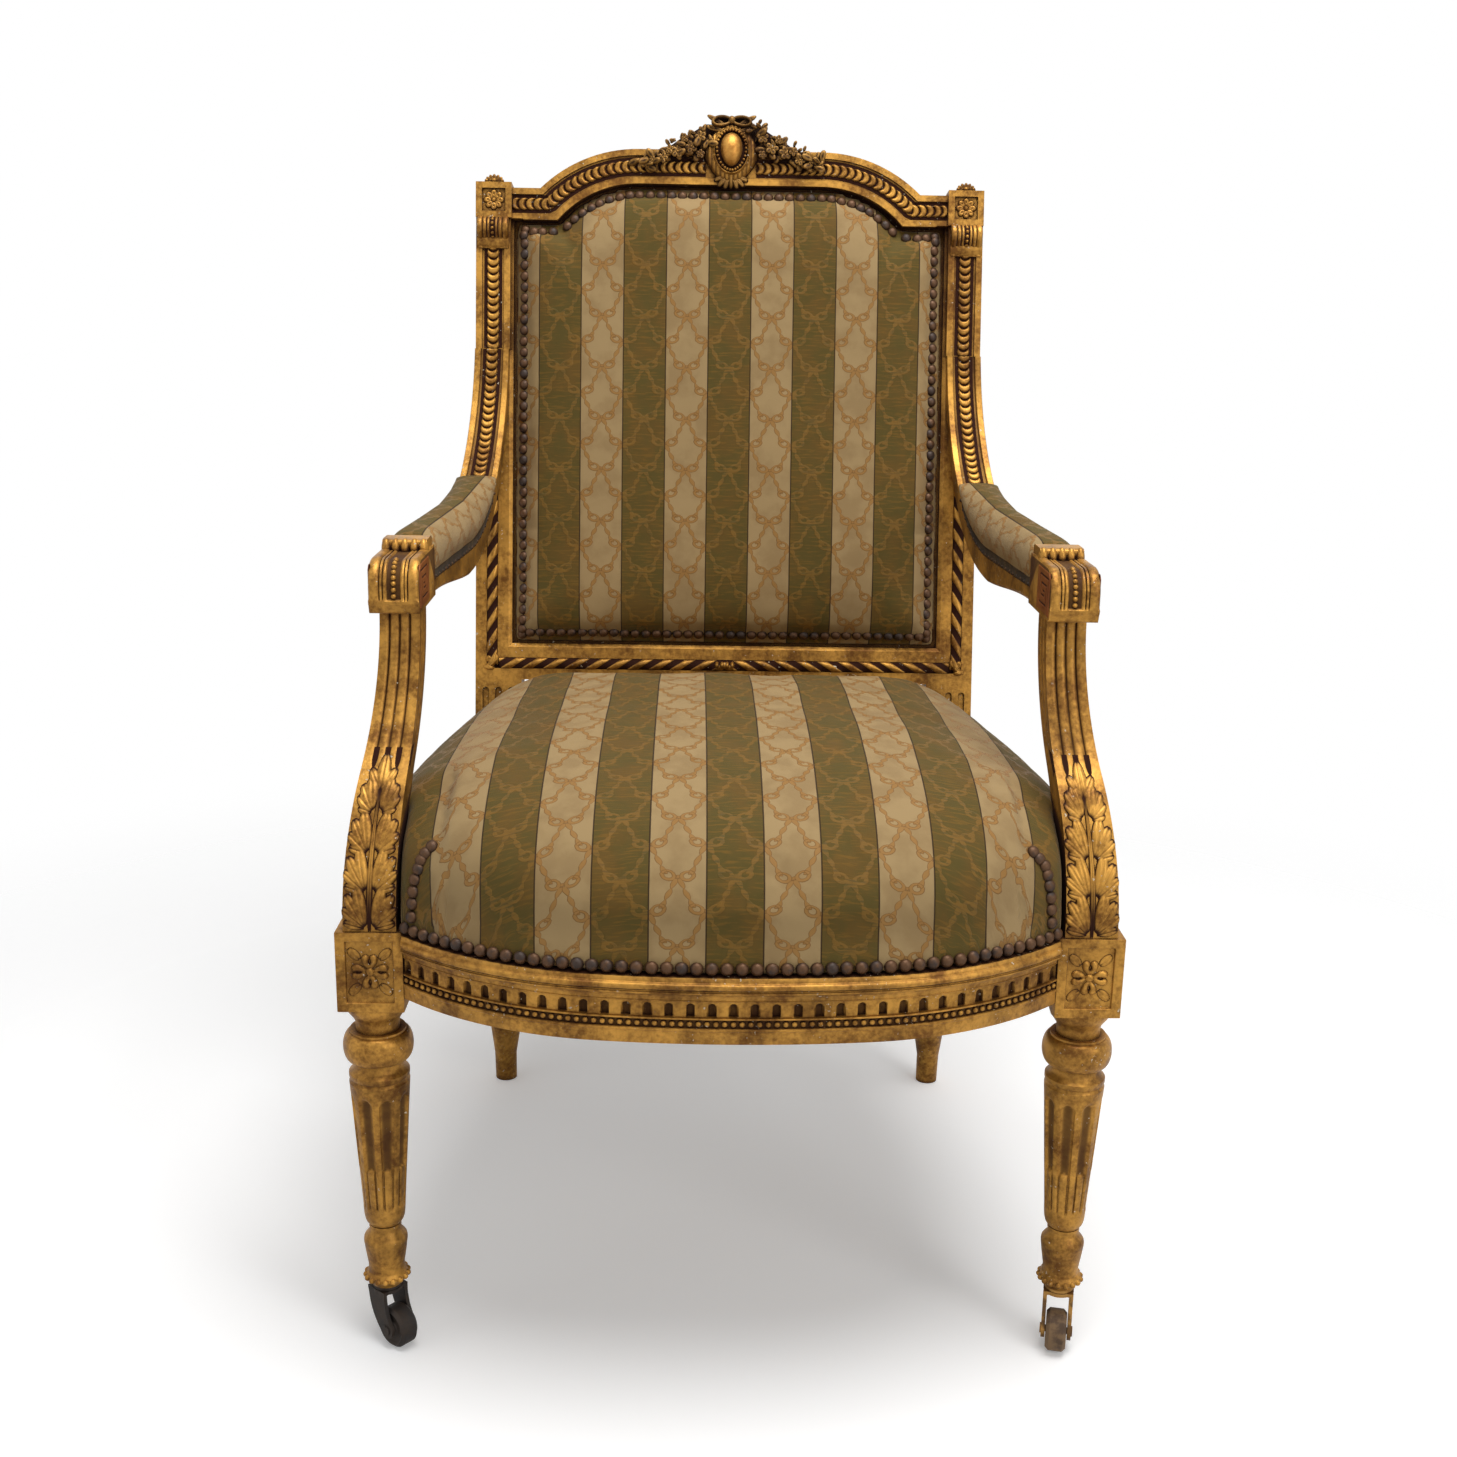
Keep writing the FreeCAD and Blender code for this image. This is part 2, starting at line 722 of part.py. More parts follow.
def upright_bar():
    """The moulded part of the right stile, up to the arm joint."""
    section = frame_profile(BarPlane(True), post_outer_half, -1)
    bar = section.extrude(V(0, 0, arm_joint_rise))
    return bar.common(mitre_side(True))


def bottom_bar():
    """The moulded bottom rail of the back, from outer edge to outer edge."""
    section = frame_profile(BarPlane(False), 0.0, 1)
    bar = section.extrude(V(post_outer_half, 0, 0)).common(mitre_side(False))
    return fused([bar, mirrored(bar)])


def strip_bar():
    """The stile above the arm joint, with a sunk strip for the carved scales."""
    outer, inner = post_outer_half, post_outer_half - arm_top_width
    depth = strip_projection
    rebate_inner = post_inner_half
    shape = Outline(plan_plane(arm_joint_rise), outer, -depth)
    shape.line(outer - strip_fillet, -depth).line(outer - strip_fillet, strip_recess - depth)
    shape.line(inner + strip_fillet, strip_recess - depth).line(inner + strip_fillet, -depth)
    shape.line(inner, -depth).line(inner, 2).line(frame_inner_half, 2)
    shape.line(frame_inner_half, rebate_depth).line(rebate_inner, rebate_depth)
    shape.line(rebate_inner, back_depth).line(outer, back_depth)
    return shape.face().extrude(V(0, 0, corner_block_rise - arm_joint_rise))


def corner_block():
    """The block at the top of the right stile, with its sunk panel."""
    outer, inner = post_outer_half, post_outer_half - corner_block_width
    low, high = corner_block_rise, corner_block_rise + corner_block_height
    front = -corner_block_projection
    block = box(inner, outer, front, back_depth, low, high)
    border = 6.5
    panel = box(inner + border, outer - border, front, front + 3, low + border, high - border)
    return block.cut(panel)


def scroll_bracket():
    """The reeded scroll under the corner block, rolled forward at its head."""
    high = corner_block_rise
    low = high - bracket_height
    front = -bracket_projection
    radius = 10.0
    shape = Outline(side_plane(0), back_depth / 2, high)
    shape.line(front + radius, high)
    shape.around((front + radius, high - radius), radius, 90, 250)
    shape.bulge(-strip_projection, low, -2)
    shape.line(back_depth / 2, low)
    width = arm_top_width - 3
    body = shape.face().extrude(V(width, 0, 0))
    body.translate(V(post_outer_half - 1.5 - width, 0, 0))
    return body


def post_flute(offset):
    """One stopped flute in the front of the post, under the back's frame."""
    half = post_flute_width / 2
    high, low = -12.0, -(back_bottom - seat_frame_top) / math.cos(lean) + 12
    x = post_middle + offset
    groove = box(x - half, x + half, -1, 2.5, low, high)
    ends = [Part.makeCylinder(half, 3.5, V(x, -1, z), V(0, 1, 0)) for z in (low, high)]
    return fused([groove] + ends)


def rear_post():
    """The right rear post, drawn flat where it leans and upright where it stands."""
    drop = (back_bottom - seat_frame_top) / math.cos(lean)
    shaft = box(post_inner_half, post_outer_half, 0, back_depth, -drop - 20, 0)
    pitch = post_width / (post_flutes + 0.6)
    grooves = [post_flute((k - (post_flutes - 1) / 2) * pitch) for k in range(post_flutes)]
    shaft = shaft.cut(grooves)
    corner = bottom_bar().common(box(post_inner_half, 400, -20, 60, -1, 60))
    leaning = fused([shaft, upright_bar(), corner, strip_bar(), corner_block(), scroll_bracket()])
    tenons = [back_rail_tenon(), crest_tenon()]
    leaning = leaned(leaning.cut(tenons))
    leaning = leaning.cut(box(0, 400, 300, 700, 0, seat_frame_top))
    block = box(post_inner_half, post_outer_half, post_front, post_back, block_bottom, seat_frame_top)
    post = fused([block, rear_leg(), leaning])
    return post.cut([side_rail_rear_tenon(), rear_rail_tenon()])


def back_rail_tenon():
    deep = back_depth / 2 + 4
    half = tenon_thickness / 2
    return box(post_inner_half, post_inner_half + tenon_length, deep - half, deep + half, 10, 38)


def crest_tenon():
    deep = back_depth / 2 + 4
    half = tenon_thickness / 2
    inner = post_outer_half - corner_block_width
    low = ear_bottom_rise + 6
    return box(inner, inner + tenon_length, deep - half, deep + half, low, low + 20)


def back_bottom_rail():
    bar = bottom_bar().common(box(-post_inner_half, post_inner_half, -20, 60, -1, 60))
    tenon = back_rail_tenon()
    return leaned(fused([bar, tenon, mirrored(tenon)]))


def crest_outline(y, inset_top, inset_bottom, half):
    """The stepped arch, drawn in by one inset along its top and another along its bottom."""
    def edge(shape, radius, ear, forward):
        cusp = arch_flat_half + math.sqrt(radius ** 2 - (ear - arch_centre_rise) ** 2)
        angle = math.degrees(math.asin((ear - arch_centre_rise) / radius))
        side = 1 if forward else -1
        shape.line(-side * half, ear).line(-side * cusp, ear)
        left = (-side * arch_flat_half, arch_centre_rise)
        right = (side * arch_flat_half, arch_centre_rise)
        if forward:
            shape.around(left, radius, 180 - angle, 90).around(right, radius, 90, angle)
        else:
            shape.around(left, radius, angle, 90).around(right, radius, 90, 180 - angle)
        return shape.line(side * half, ear)
    top_radius = arch_radius - inset_top
    low_radius = arch_radius - crest_face_width + inset_bottom
    shape = Outline(front_plane(y), -half, ear_top_rise - inset_top)
    edge(shape, top_radius, ear_top_rise - inset_top, True)
    edge(shape, low_radius, ear_bottom_rise + inset_bottom, False)
    return shape


def crest_rail():
    """The crest rail between the corner blocks, its face sunk for the carved scales."""
    half = post_outer_half - corner_block_width
    face = crest_outline(-strip_projection, 0, 0, half).face()
    rail = face.extrude(V(0, back_depth + strip_projection, 0))
    backing = crest_outline(rebate_depth, 6, -rebate_width, half).face()
    rail = rail.fuse(backing.extrude(V(0, back_depth - rebate_depth, 0)))
    sunk = crest_outline(-strip_projection, strip_fillet, strip_fillet, half).face()
    ground = box(-cartouche_width * 0.3, cartouche_width * 0.3, -20, 0, 500, 600)
    rail = rail.cut(sunk.extrude(V(0, strip_recess, 0)).cut(ground))
    stile = box(post_inner_half, half + 1, -20, 60, 0, corner_block_rise)
    rail = rail.cut([stile, mirrored(stile)])
    tenon = crest_tenon()
    return leaned(fused([rail, tenon, mirrored(tenon)]))


def oval(x, y, z, width, height):
    """An upright oval in the plane y, drawn with straight sides."""
    count = 14
    turns = [2 * math.pi * k / count for k in range(count)]
    points = [V(x + width / 2 * math.cos(t), y, z + height / 2 * math.sin(t)) for t in turns]
    return Part.makePolygon(points + points[:1])


def dome(x, y, z, width, height, rise):
    """A low oval boss standing forward from the plane y."""
    stations = ((0.0, 1.0), (0.5, 0.85), (0.85, 0.5), (1.0, 0.15))
    wires = [oval(x, y - rise * up, z, width * share, height * share) for up, share in stations]
    return Part.makeLoft(wires, True, True)


def crest_cartouche():
    """The carved middle of the crest: shield, oval boss, ribbon bow, drop and garlands."""
    face = -strip_projection
    middle = (ear_bottom_rise + cartouche_top_rise) / 2 + 12
    half = cartouche_width / 2
    top = middle + 22
    shield = Outline(front_plane(face), 0, arch_rise - crest_face_width + 1)
    shield.bulge(half * 0.7, middle - 16, 5).bulge(half, middle + 6, 4).bulge(half * 0.55, top, 5)
    shield.line(-half * 0.55, top)
    shield.bulge(-half, middle + 6, 5).bulge(-half * 0.7, middle - 16, 4)
    shield.bulge(0, arch_rise - crest_face_width + 1, 5)
    depth = V(0, -carving_depth * 0.5, 0)
    pieces = [shield.face().extrude(depth)]
    frame = Part.Face(oval(0, face, middle, cabochon_frame_width, cabochon_height + 9))
    pieces.append(frame.extrude(depth * 1.5))
    pieces.append(dome(0, face + depth.y * 1.4, middle, cabochon_width, cabochon_height,
                       carving_depth * 0.6))
    for side in (-1, 1):
        pieces.append(dome(side * 9, face + depth.y * 0.8, cartouche_top_rise - 5.5, 20, 11, 6))
    neck = box(-7, 7, face + depth.y, face + 4, top - 2, cartouche_top_rise - 4)
    return leaned(fused(pieces + [neck]))


def crest_garland(neighbours):
    """One garland, a swelling rope of flowers in the sunk strip beside the cartouche."""
    ground = strip_recess - strip_projection
    stations = ((0.30, 10, 4), (0.45, 16, 3), (0.65, 19, -2), (0.85, 14, -6), (1.0, 6, -7))
    wires = []
    for share, width, lift in stations:
        x = garland_reach * share
        z = arch_rise - crest_face_width * 0.28 + lift
        turns = [math.pi * k / 5 for k in range(6)]
        points = [V(x, ground - width / 2 * math.sin(t), z + width / 2 * math.cos(t)) for t in turns]
        wires.append(Part.makePolygon(points + points[:1]))
    rope = Part.makeLoft(wires, True, True)
    return leaned(rope).cut(neighbours)


def corner_shell():
    """The small shell that stands on a corner block."""
    z = corner_block_rise + corner_block_height
    middle = post_outer_half - corner_block_width / 2
    shape = Outline(front_plane(-corner_block_projection + 3), middle - shell_width / 2, z)
    shape.bulge(middle + shell_width / 2, z, shell_height)
    return leaned(shape.face().extrude(V(0, 16, 0)))


# Arms and their supports

def arm_curve():
    """Centre and radius of the arm's upper curve, from level to the lean of the stile."""
    joint_z = back_bottom + arm_joint_rise * math.cos(lean) + strip_projection * math.sin(lean)
    joint_y = back_front_y + arm_joint_rise * math.sin(lean) - strip_projection * math.cos(lean)
    radius = (joint_z - arm_rail_top) / (1 - math.sin(lean))
    return (joint_y - radius * math.cos(lean), arm_rail_top + radius), radius


def arm_side():
    """The arm seen from the side: handle, rail and the sweep up to the stile."""
    centre, radius = arm_curve()
    low = arm_rail_top - arm_rail_thickness
    under_radius = radius + arm_rail_thickness - arm_thinning
    under_centre = (centre[0], low + under_radius)
    round_off = arm_handle_rounding
    shape = Outline(side_plane(150), arm_handle_front + 4, arm_handle_bottom)
    shape.line(arm_handle_front, arm_handle_bottom + 12)
    shape.around((arm_handle_front + round_off, arm_handle_top - round_off), round_off, 180, 90)
    shape.line(arm_cap_front, arm_handle_top)
    cap = arm_handle_top + arm_cap_rise
    shape.around((arm_cap_front + arm_cap_rise, arm_handle_top), arm_cap_rise, 180, 90)
    shape.line(arm_handle_back, cap).line(arm_handle_back, arm_rail_top)
    shape.line(centre[0], arm_rail_top)
    shape.around(centre, radius, -90, -rake)
    behind = 2 * (strip_projection + rebate_depth)
    shape.line(shape.last[0] + behind, shape.last[1] - behind * math.tan(lean))
    shape.around(under_centre, under_radius, -rake, -90)
    shape.line(arm_handle_back + arm_neck_run, arm_handle_bottom)
    return shape.face().extrude(V(300, 0, 0))


def arm_plan():
    """The arm seen from above, drawn in towards the stile."""
    joint = post_outer_half - arm_top_width
    half = arm_handle_width / 2
    neck = half - 2
    behind = back_front_y + 200
    shape = Outline(plan_plane(600), arm_handle_middle - half, arm_handle_front - 5)
    shape.line(arm_handle_middle + half, arm_handle_front - 5)
    shape.line(arm_handle_middle + half, arm_handle_back)
    shape.line(arm_handle_middle + neck, arm_handle_back)
    shape.line(arm_bend_middle + arm_bend_width / 2, arm_bend)
    shape.line(post_outer_half, arm_joint_y()).line(post_outer_half, behind)
    shape.line(joint, behind).line(joint, arm_joint_y())
    shape.line(arm_bend_middle - arm_bend_width / 2, arm_bend)
    shape.line(arm_handle_middle - neck, arm_handle_back)
    shape.line(arm_handle_middle - half, arm_handle_back)
    return shape.face().extrude(V(0, 0, 400))


def arm_joint_y():
    return back_front_y + arm_joint_rise * math.sin(lean)


def stile_envelope():
    """The whole wood of the leaning stile, for fitting the arm against its moulded face."""
    return leaned(box(post_inner_half - 20, post_outer_half + 60, 0, 200, -50, 600))


def arm():
    """The right arm, one piece from its handle to the joint with the stile."""
    body = arm_side().common(arm_plan()).cut(stile_envelope())
    socket = support_tenon(arm_handle_bottom, arm_handle_bottom + support_tenon_length, glue_gap)
    return body.cut(socket)


def support_tenon(low, high, room=0.0):
    y = support_top_front + support_top_depth / 2
    return rod(support_tenon_width + 2 * room, V(support_top_middle, y, low), V(support_top_middle, y, high))


def s_curve(shape, u, v, share=0.5):
    """Two arcs, upright at both ends, that carry an edge sideways while it climbs."""
    u0, v0 = shape.last
    run, climb = u - u0, v - v0
    if abs(run) < 1e-6:
        return shape.line(u, v)
    middle = (u0 + run * share, v0 + climb * share)
    turn = math.atan2(abs(run), abs(climb)) * 2
    for start, end, hand in (((u0, v0), middle, 1), (middle, (u, v), -1)):
        chord = math.dist(start, end)
        sagitta = chord / 2 * math.tan(turn / 4)
        side = hand * (1 if run * climb > 0 else -1)
        shape.bulge(end[0], end[1], sagitta * side)
    return shape


def support_edges(front_offset=0.0):
    """Front and back lines of the support seen from the side, the front drawn in by an offset."""
    base_front = -block_half + 2
    return ((base_front + front_offset, support_top_front + front_offset),
            (base_front + support_base_depth, support_top_front + support_top_depth))


def support_side(front_offset=0.0):
    (front_low, front_high), (back_low, back_high) = support_edges(front_offset)
    shape = Outline(side_plane(200), front_low, seat_frame_top)
    s_curve(shape, front_high, arm_handle_bottom)
    shape.line(back_high, arm_handle_bottom)
    s_curve(shape, back_low, seat_frame_top)
    return shape.face().extrude(V(200, 0, 0))


def support_front(from_share=0.0, to_share=1.0, low=None):
    """A strip of the support seen from the front, between two shares of its width."""
    low_x0 = support_base_outer - support_base_width
    high_x0 = support_top_middle - support_top_width / 2
    at = [(low_x0 + support_base_width * share, high_x0 + support_top_width * share)
          for share in (from_share, to_share)]
    shape = Outline(front_plane(-100), at[1][0], seat_frame_top)
    s_curve(shape, at[1][1], arm_handle_bottom)
    shape.line(at[0][1], arm_handle_bottom)
    s_curve(shape, at[0][0], seat_frame_top)
    strip = shape.face().extrude(V(0, 300, 0))
    if low is not None:
        strip = strip.common(box(0, 500, -200, 300, low, arm_handle_bottom))
    return strip


def arm_support():
    """The right support, grooved above its leaf, with tenons into the block and the handle."""
    body = support_side().common(support_front())
    inner = support_side(support_groove_depth)
    grooves = []
    above = seat_frame_top + support_leaf_height
    for k in range(support_grooves):
        middle = (k + 1) / (support_grooves + 1)
        half = support_groove_width / support_top_width / 2
        strip = support_front(middle - half, middle + half, above)
        grooves.append(strip.common(support_side()).cut(inner))
    body = body.cut(grooves)
    head = support_tenon(arm_handle_bottom, arm_handle_bottom + support_tenon_length)
    return fused([body, head, support_foot_tenon()])


def support_foot_tenon():
    middle = support_base_outer - support_base_width / 2
    half = support_tenon_width / 2
    return box(middle - half, middle + half, -half, half,
               seat_frame_top - support_tenon_length, seat_frame_top)


# Upholstery

def seat_dome(stations, shrink):
    """The domed seat on the rails; shrink draws every face in by the cover's thickness."""
    wires = []
    for share, inset in stations:
        z = seat_frame_top + share * (seat_crown - shrink)
        wires.append(seat_wire(inset + shrink, z))
    return Part.makeLoft(wires, True, True)


def seat_clearing():
    """What the seat keeps clear of: the leg blocks, the supports and the rear posts."""
    inner = min(block_inner, support_base_outer - support_base_width - support_clearance)
    corner = box(inner, 500, -300, block_half, seat_frame_top - 1, 800)
    post = box(post_inner_half - soft_clearance, 500, post_front - soft_clearance, 700,
               seat_frame_top - 1, 800)
    beside = support_side().common(box(inner, 500, -300, 300, 300, 800))
    beside.translate(V(0, soft_clearance, 0))
    cuts = [corner, post, beside]
    return cuts + [mirrored(c) for c in cuts]


def seat_cavity():
    """The room for the springs under the stuffing."""
    half, taper = leg_x - cavity_inset, 36
    front, back = -cavity_inset / 2, post_front - cavity_inset / 2
    shape = Outline(plan_plane(seat_frame_top), -half, front).line(half, front)
    shape.line(half - taper, back).line(taper - half, back)
    return shape.face().extrude(V(0, 0, cavity_height))


def seat_layers():
    clearing = seat_clearing()
    base, side, edge, shoulder, slope, top = seat_profile
    outer = seat_dome(seat_profile, 0.0)
    inner = seat_dome((base, edge, slope, top), cover_thickness)
    cover = outer.cut(inner).cut(clearing)
    stuffing = inner.cut(seat_cavity()).cut(clearing)
    return cover, stuffing


def seat_webbing():
    """Straps nailed under the rails, one layer along the chair and one across it."""
    level = rail_bottom
    side_centre, side_radius = side_arc()
    middle_centre, end_centre, turn = bow_points()
    straps = []
    back = post_back - strap_overlap + 10
    for k in range(straps_along):
        x = (k - (straps_along - 1) / 2) * (strap_width + 12)
        edge = abs(x) + strap_width / 2
        if edge > bow_middle_half:
            reach = math.sqrt(bow_end_radius ** 2 - (edge - end_centre[0]) ** 2)
            front = end_centre[1] - reach
        else:
            front = -bow_depth
        straps.append(box(x - strap_width / 2, x + strap_width / 2, front + rail_thickness - strap_overlap,
                          back, level - strap_thickness, level))
    for k in range(straps_across):
        y = block_half + 40 + (k + 0.5) * (post_front - block_half - 70) / straps_across
        half = side_centre[0] + math.sqrt(side_radius ** 2 - (y + strap_width / 2 - side_centre[1]) ** 2)
        half -= rail_thickness - strap_overlap
        straps.append(box(-half, half, y - strap_width / 2, y + strap_width / 2,
                          level - 2 * strap_thickness, level - strap_thickness))
    return Part.makeCompound(straps)


def seat_springs():
    """Waisted springs between the webbing and the stuffing."""
    low, high = rail_bottom, seat_frame_top + cavity_height
    spring = faceted([polygon_ring(z, width / 2, 8) for z, width in
                      ((low, spring_width), ((low + high) / 2, spring_waist), (high, spring_width))])
    pitch_x = (leg_spacing - 2 * cavity_inset - spring_width - 60) / (spring_rows - 1)
    pitch_y = (post_front - 3 * cavity_inset) / (spring_rows - 1) * 0.86
    springs = []
    for i in range(spring_rows):
        for j in range(spring_rows):
            copy = spring.copy()
            copy.translate(V((i - (spring_rows - 1) / 2) * pitch_x * (1 - 0.1 * j),
                             cavity_inset + 10 + j * pitch_y, 0))
            springs.append(copy)
    return Part.makeCompound(springs)


def back_wire(inset, y):
    """Outline of the back's upholstery, drawn in from the inner edge of the frame's face."""
    half = frame_inner_half - inset
    ear = ear_bottom_rise - inset
    radius = arch_radius - crest_face_width - inset
    cusp = arch_flat_half + math.sqrt(radius ** 2 - (ear - arch_centre_rise) ** 2)
    angle = math.degrees(math.asin((ear - arch_centre_rise) / radius))
    shape = Outline(front_plane(y), -half, frame_face_width + inset)
    shape.line(-half, ear).line(-cusp, ear)
    shape.around((-arch_flat_half, arch_centre_rise), radius, 180 - angle, 90)
    shape.around((arch_flat_half, arch_centre_rise), radius, 90, angle)
    shape.line(half, ear).line(half, frame_face_width + inset)
    return shape.wire()


def back_swell(shrink):
    """The crowned pad of the back, sides drawn in where it is nailed to the rebate."""
    seat = rebate_depth - strap_thickness
    stations = ((0.0, 0.5), (0.22, 0.5), (0.45, 6.0), (0.68, 18.0), (0.88, 38.0), (1.0, 66.0))
    height = back_crown + seat - shrink
    wires = [back_wire(inset + shrink, seat - share * height) for share, inset in stations]
    return Part.makeLoft(wires, True, True)


def back_layers():
    outer = back_swell(0.0)
    inner = back_swell(cover_thickness)
    return leaned(outer.cut(inner)), leaned(inner)


def back_webbing():
    """Straps across the opening of the back, tacked to the floor of the rebate."""
    y1 = rebate_depth
    y0 = y1 - strap_thickness
    half = frame_inner_half - 3
    low = frame_face_width + 3
    count = 5
    step = (ear_bottom_rise - low - 10) / count
    straps = []
    for k in range(count):
        middle = low + 5 + (k + 0.5) * step
        straps.append(box(-half, half, y0, y1, middle - back_strap_width / 2, middle + back_strap_width / 2))
    return leaned(Part.makeCompound(straps))


def outer_back():
    """The cloth-covered panel on the rear of the back's frame."""
    wire = back_wire(-2.0, back_depth)
    return leaned(Part.Face(wire).extrude(V(0, outer_back_thickness, 0)))


def arm_pad(wood):
    """The crowned pad on the right arm, seated on the wood that it is cut to."""
    centre, radius = arm_curve()
    rear = centre[0] + radius * math.sin(math.acos(1 - pad_rear_rise / radius))
    front = arm_handle_back
    stations = ((0.0, -4.0, 0.80), (0.08, 0.0, 0.95), (0.60, 3.0, 1.0), (0.92, 12.0, 0.93),
                (1.0, 14.0, 0.70))
    wires = []
    for share, lift, width_share in stations:
        y = front + (rear - front) * share
        along = (y - arm_handle_back) / (arm_bend - arm_handle_back)
        middle = arm_handle_middle + (arm_bend_middle - arm_handle_middle) * along
        half = arm_bend_width / 2 * width_share
        top = arm_rail_top + pad_crown_height + lift
        floor = arm_rail_top - 2
        if y > centre[0]:
            floor = centre[1] - math.sqrt(radius ** 2 - (y - centre[0]) ** 2) - 2
        floor = min(floor, top - 14)
        shoulder = floor + (top - floor) * 0.55
        bulge = pad_side_bulge * width_share
        shape = Outline(front_plane(y), middle - half, floor)
        shape.line(middle - half - bulge * 0.3, shoulder)
        shape.bulge(middle + half + bulge * 0.3, shoulder, top - shoulder)
        shape.line(middle + half, floor)
        wires.append(shape.wire())
    return Part.makeLoft(wires, True, True).cut([wood, stile_envelope()])


def both(name, shape):
    return {f"{name}_left": mirrored(shape), f"{name}_right": shape}


def build():
    """Every piece of the chair, by name."""
    pieces = {}
    mortises = [front_rail_tenon(), side_rail_front_tenon(), support_foot_tenon()]
    pieces.update(both("front_leg", front_leg().cut(mortises)))
    pieces.update(castor_set(-1, "left", left_castor_turn))
    pieces.update(castor_set(1, "right", right_castor_turn))
    pieces["front_rail"] = front_rail()
    pieces.update(both("side_rail", side_rail()))
    pieces["rear_rail"] = rear_rail()
    rails = [pieces[n] for n in ("front_rail", "side_rail_left", "side_rail_right", "rear_rail")]
    pieces["corner_braces"] = corner_braces(rails)
    pieces.update(both("rear_post", rear_post()))
    pieces["back_bottom_rail"] = back_bottom_rail()
    pieces["crest_rail"] = crest_rail()
    pieces["crest_cartouche"] = crest_cartouche()
    garland = crest_garland([pieces["crest_cartouche"], pieces["crest_rail"]])
    pieces.update(both("crest_garland", garland))
    pieces.update(both("corner_shell", corner_shell()))
    pieces.update(both("arm_support", arm_support()))
    right_arm = arm()
    pieces.update(both("arm", right_arm))
    pieces.update(both("arm_pad", arm_pad(right_arm)))
    pieces["seat_webbing"] = seat_webbing()
    pieces["seat_springs"] = seat_springs()
    pieces["seat_cover"], pieces["seat_stuffing"] = seat_layers()
    pieces["back_webbing"] = back_webbing()
    pieces["back_cover"], pieces["back_stuffing"] = back_layers()
    pieces["outer_back"] = outer_back()
    return pieces


def centred(pieces):
    """Stands the chair with the middle of its plan over the origin."""
    bounds = Part.makeCompound(list(pieces.values())).optimalBoundingBox(False)
    shift = V(-(bounds.XMin + bounds.XMax) / 2, -(bounds.YMin + bounds.YMax) / 2, 0)
    for shape in pieces.values():
        shape.translate(shift)
    return pieces, shift


def main():
    os.makedirs("parts", exist_ok=True)
    pieces, shift = centred(build())
    for name, shape in pieces.items():
        shape.exportStep(f"parts/{name}.step")
    return pieces, shift


pieces, centring = main()
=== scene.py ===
"""Looks of an upholstered giltwood armchair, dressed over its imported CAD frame.

Sizes are in millimetres in the drawing's own frame (x across, y back from the axis of the front
legs, z up from the floor) and go to metres in one place, world().
"""

import json
import logging
import math
from dataclasses import dataclass
from enum import Enum
from functools import partialmethod
from typing import Callable, Iterable, Sequence

import bmesh
import bpy
import numpy as np
from mathutils import Matrix, Vector

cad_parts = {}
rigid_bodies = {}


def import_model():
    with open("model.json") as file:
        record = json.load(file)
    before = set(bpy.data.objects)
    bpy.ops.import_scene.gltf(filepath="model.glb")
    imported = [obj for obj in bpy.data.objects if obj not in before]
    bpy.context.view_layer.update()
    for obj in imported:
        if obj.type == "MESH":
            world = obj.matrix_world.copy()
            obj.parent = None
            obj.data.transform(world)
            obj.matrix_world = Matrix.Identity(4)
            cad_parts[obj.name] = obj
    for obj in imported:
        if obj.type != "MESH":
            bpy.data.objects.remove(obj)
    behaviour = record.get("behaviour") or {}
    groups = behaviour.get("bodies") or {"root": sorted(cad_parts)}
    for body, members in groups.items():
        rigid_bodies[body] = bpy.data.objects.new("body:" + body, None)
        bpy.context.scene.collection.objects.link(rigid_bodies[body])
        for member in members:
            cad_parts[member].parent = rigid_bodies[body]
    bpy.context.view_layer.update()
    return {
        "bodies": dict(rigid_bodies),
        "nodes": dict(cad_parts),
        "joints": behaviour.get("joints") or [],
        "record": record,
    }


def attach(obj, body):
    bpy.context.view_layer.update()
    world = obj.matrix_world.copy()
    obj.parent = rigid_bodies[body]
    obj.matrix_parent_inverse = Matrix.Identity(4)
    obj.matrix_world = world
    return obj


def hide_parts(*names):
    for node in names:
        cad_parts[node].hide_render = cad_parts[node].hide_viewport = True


log = logging.getLogger("fauteuil")

LEG_AXIS_DEPTH = -248.475
RAKE = math.radians(11.0)
BACK_FRONT = 474.233
BACK_BOTTOM = 495.4
SEAT_TOP = 398.0
LEG_X = 300.0
BLOCK_HALF = 28.0
BLOCK_MIDDLE = 362.5
POST_X = 253.25
CORNER_X = 252.5
LOOK = (0, -1, 0.2)
RAIL_HALF = 272.0
POST_FRONT = 455.3
BARE = 9.0

SIDE_X, SIDE_Y, SIDE_RADIUS = -1621.8, -11.2, 1941.2
FRONT_Y, FRONT_RADIUS = 788.0, 900.0
FRONT_TURN = math.asin(110.0 / FRONT_RADIUS)
END_X, END_Y, END_RADIUS = 75.78, 172.65, 280.0
ARCH_X, ARCH_RISE, ARCH_RADIUS = 97.7, 417.0, 115.0
BACK_HALF, BACK_LOW, BACK_EAR, BACK_TOP = 232.0, 39.5, 492.0, 532.0
BACK_MIDDLE = (0.0, 285.0)

Array = np.ndarray
Mapped = tuple[Array, Array]
Piece = bpy.types.Object
Colour = tuple[int, int, int]
Surface = Callable[[Array, Array], Mapped]


class Side(Enum):
    """The two hands of the chair; left is the viewer's left."""

    LEFT = -1
    RIGHT = 1

    @property
    def tag(self) -> str:
        """Returns the ending of this side's names."""
        return self.name.lower()


# Places and numbers


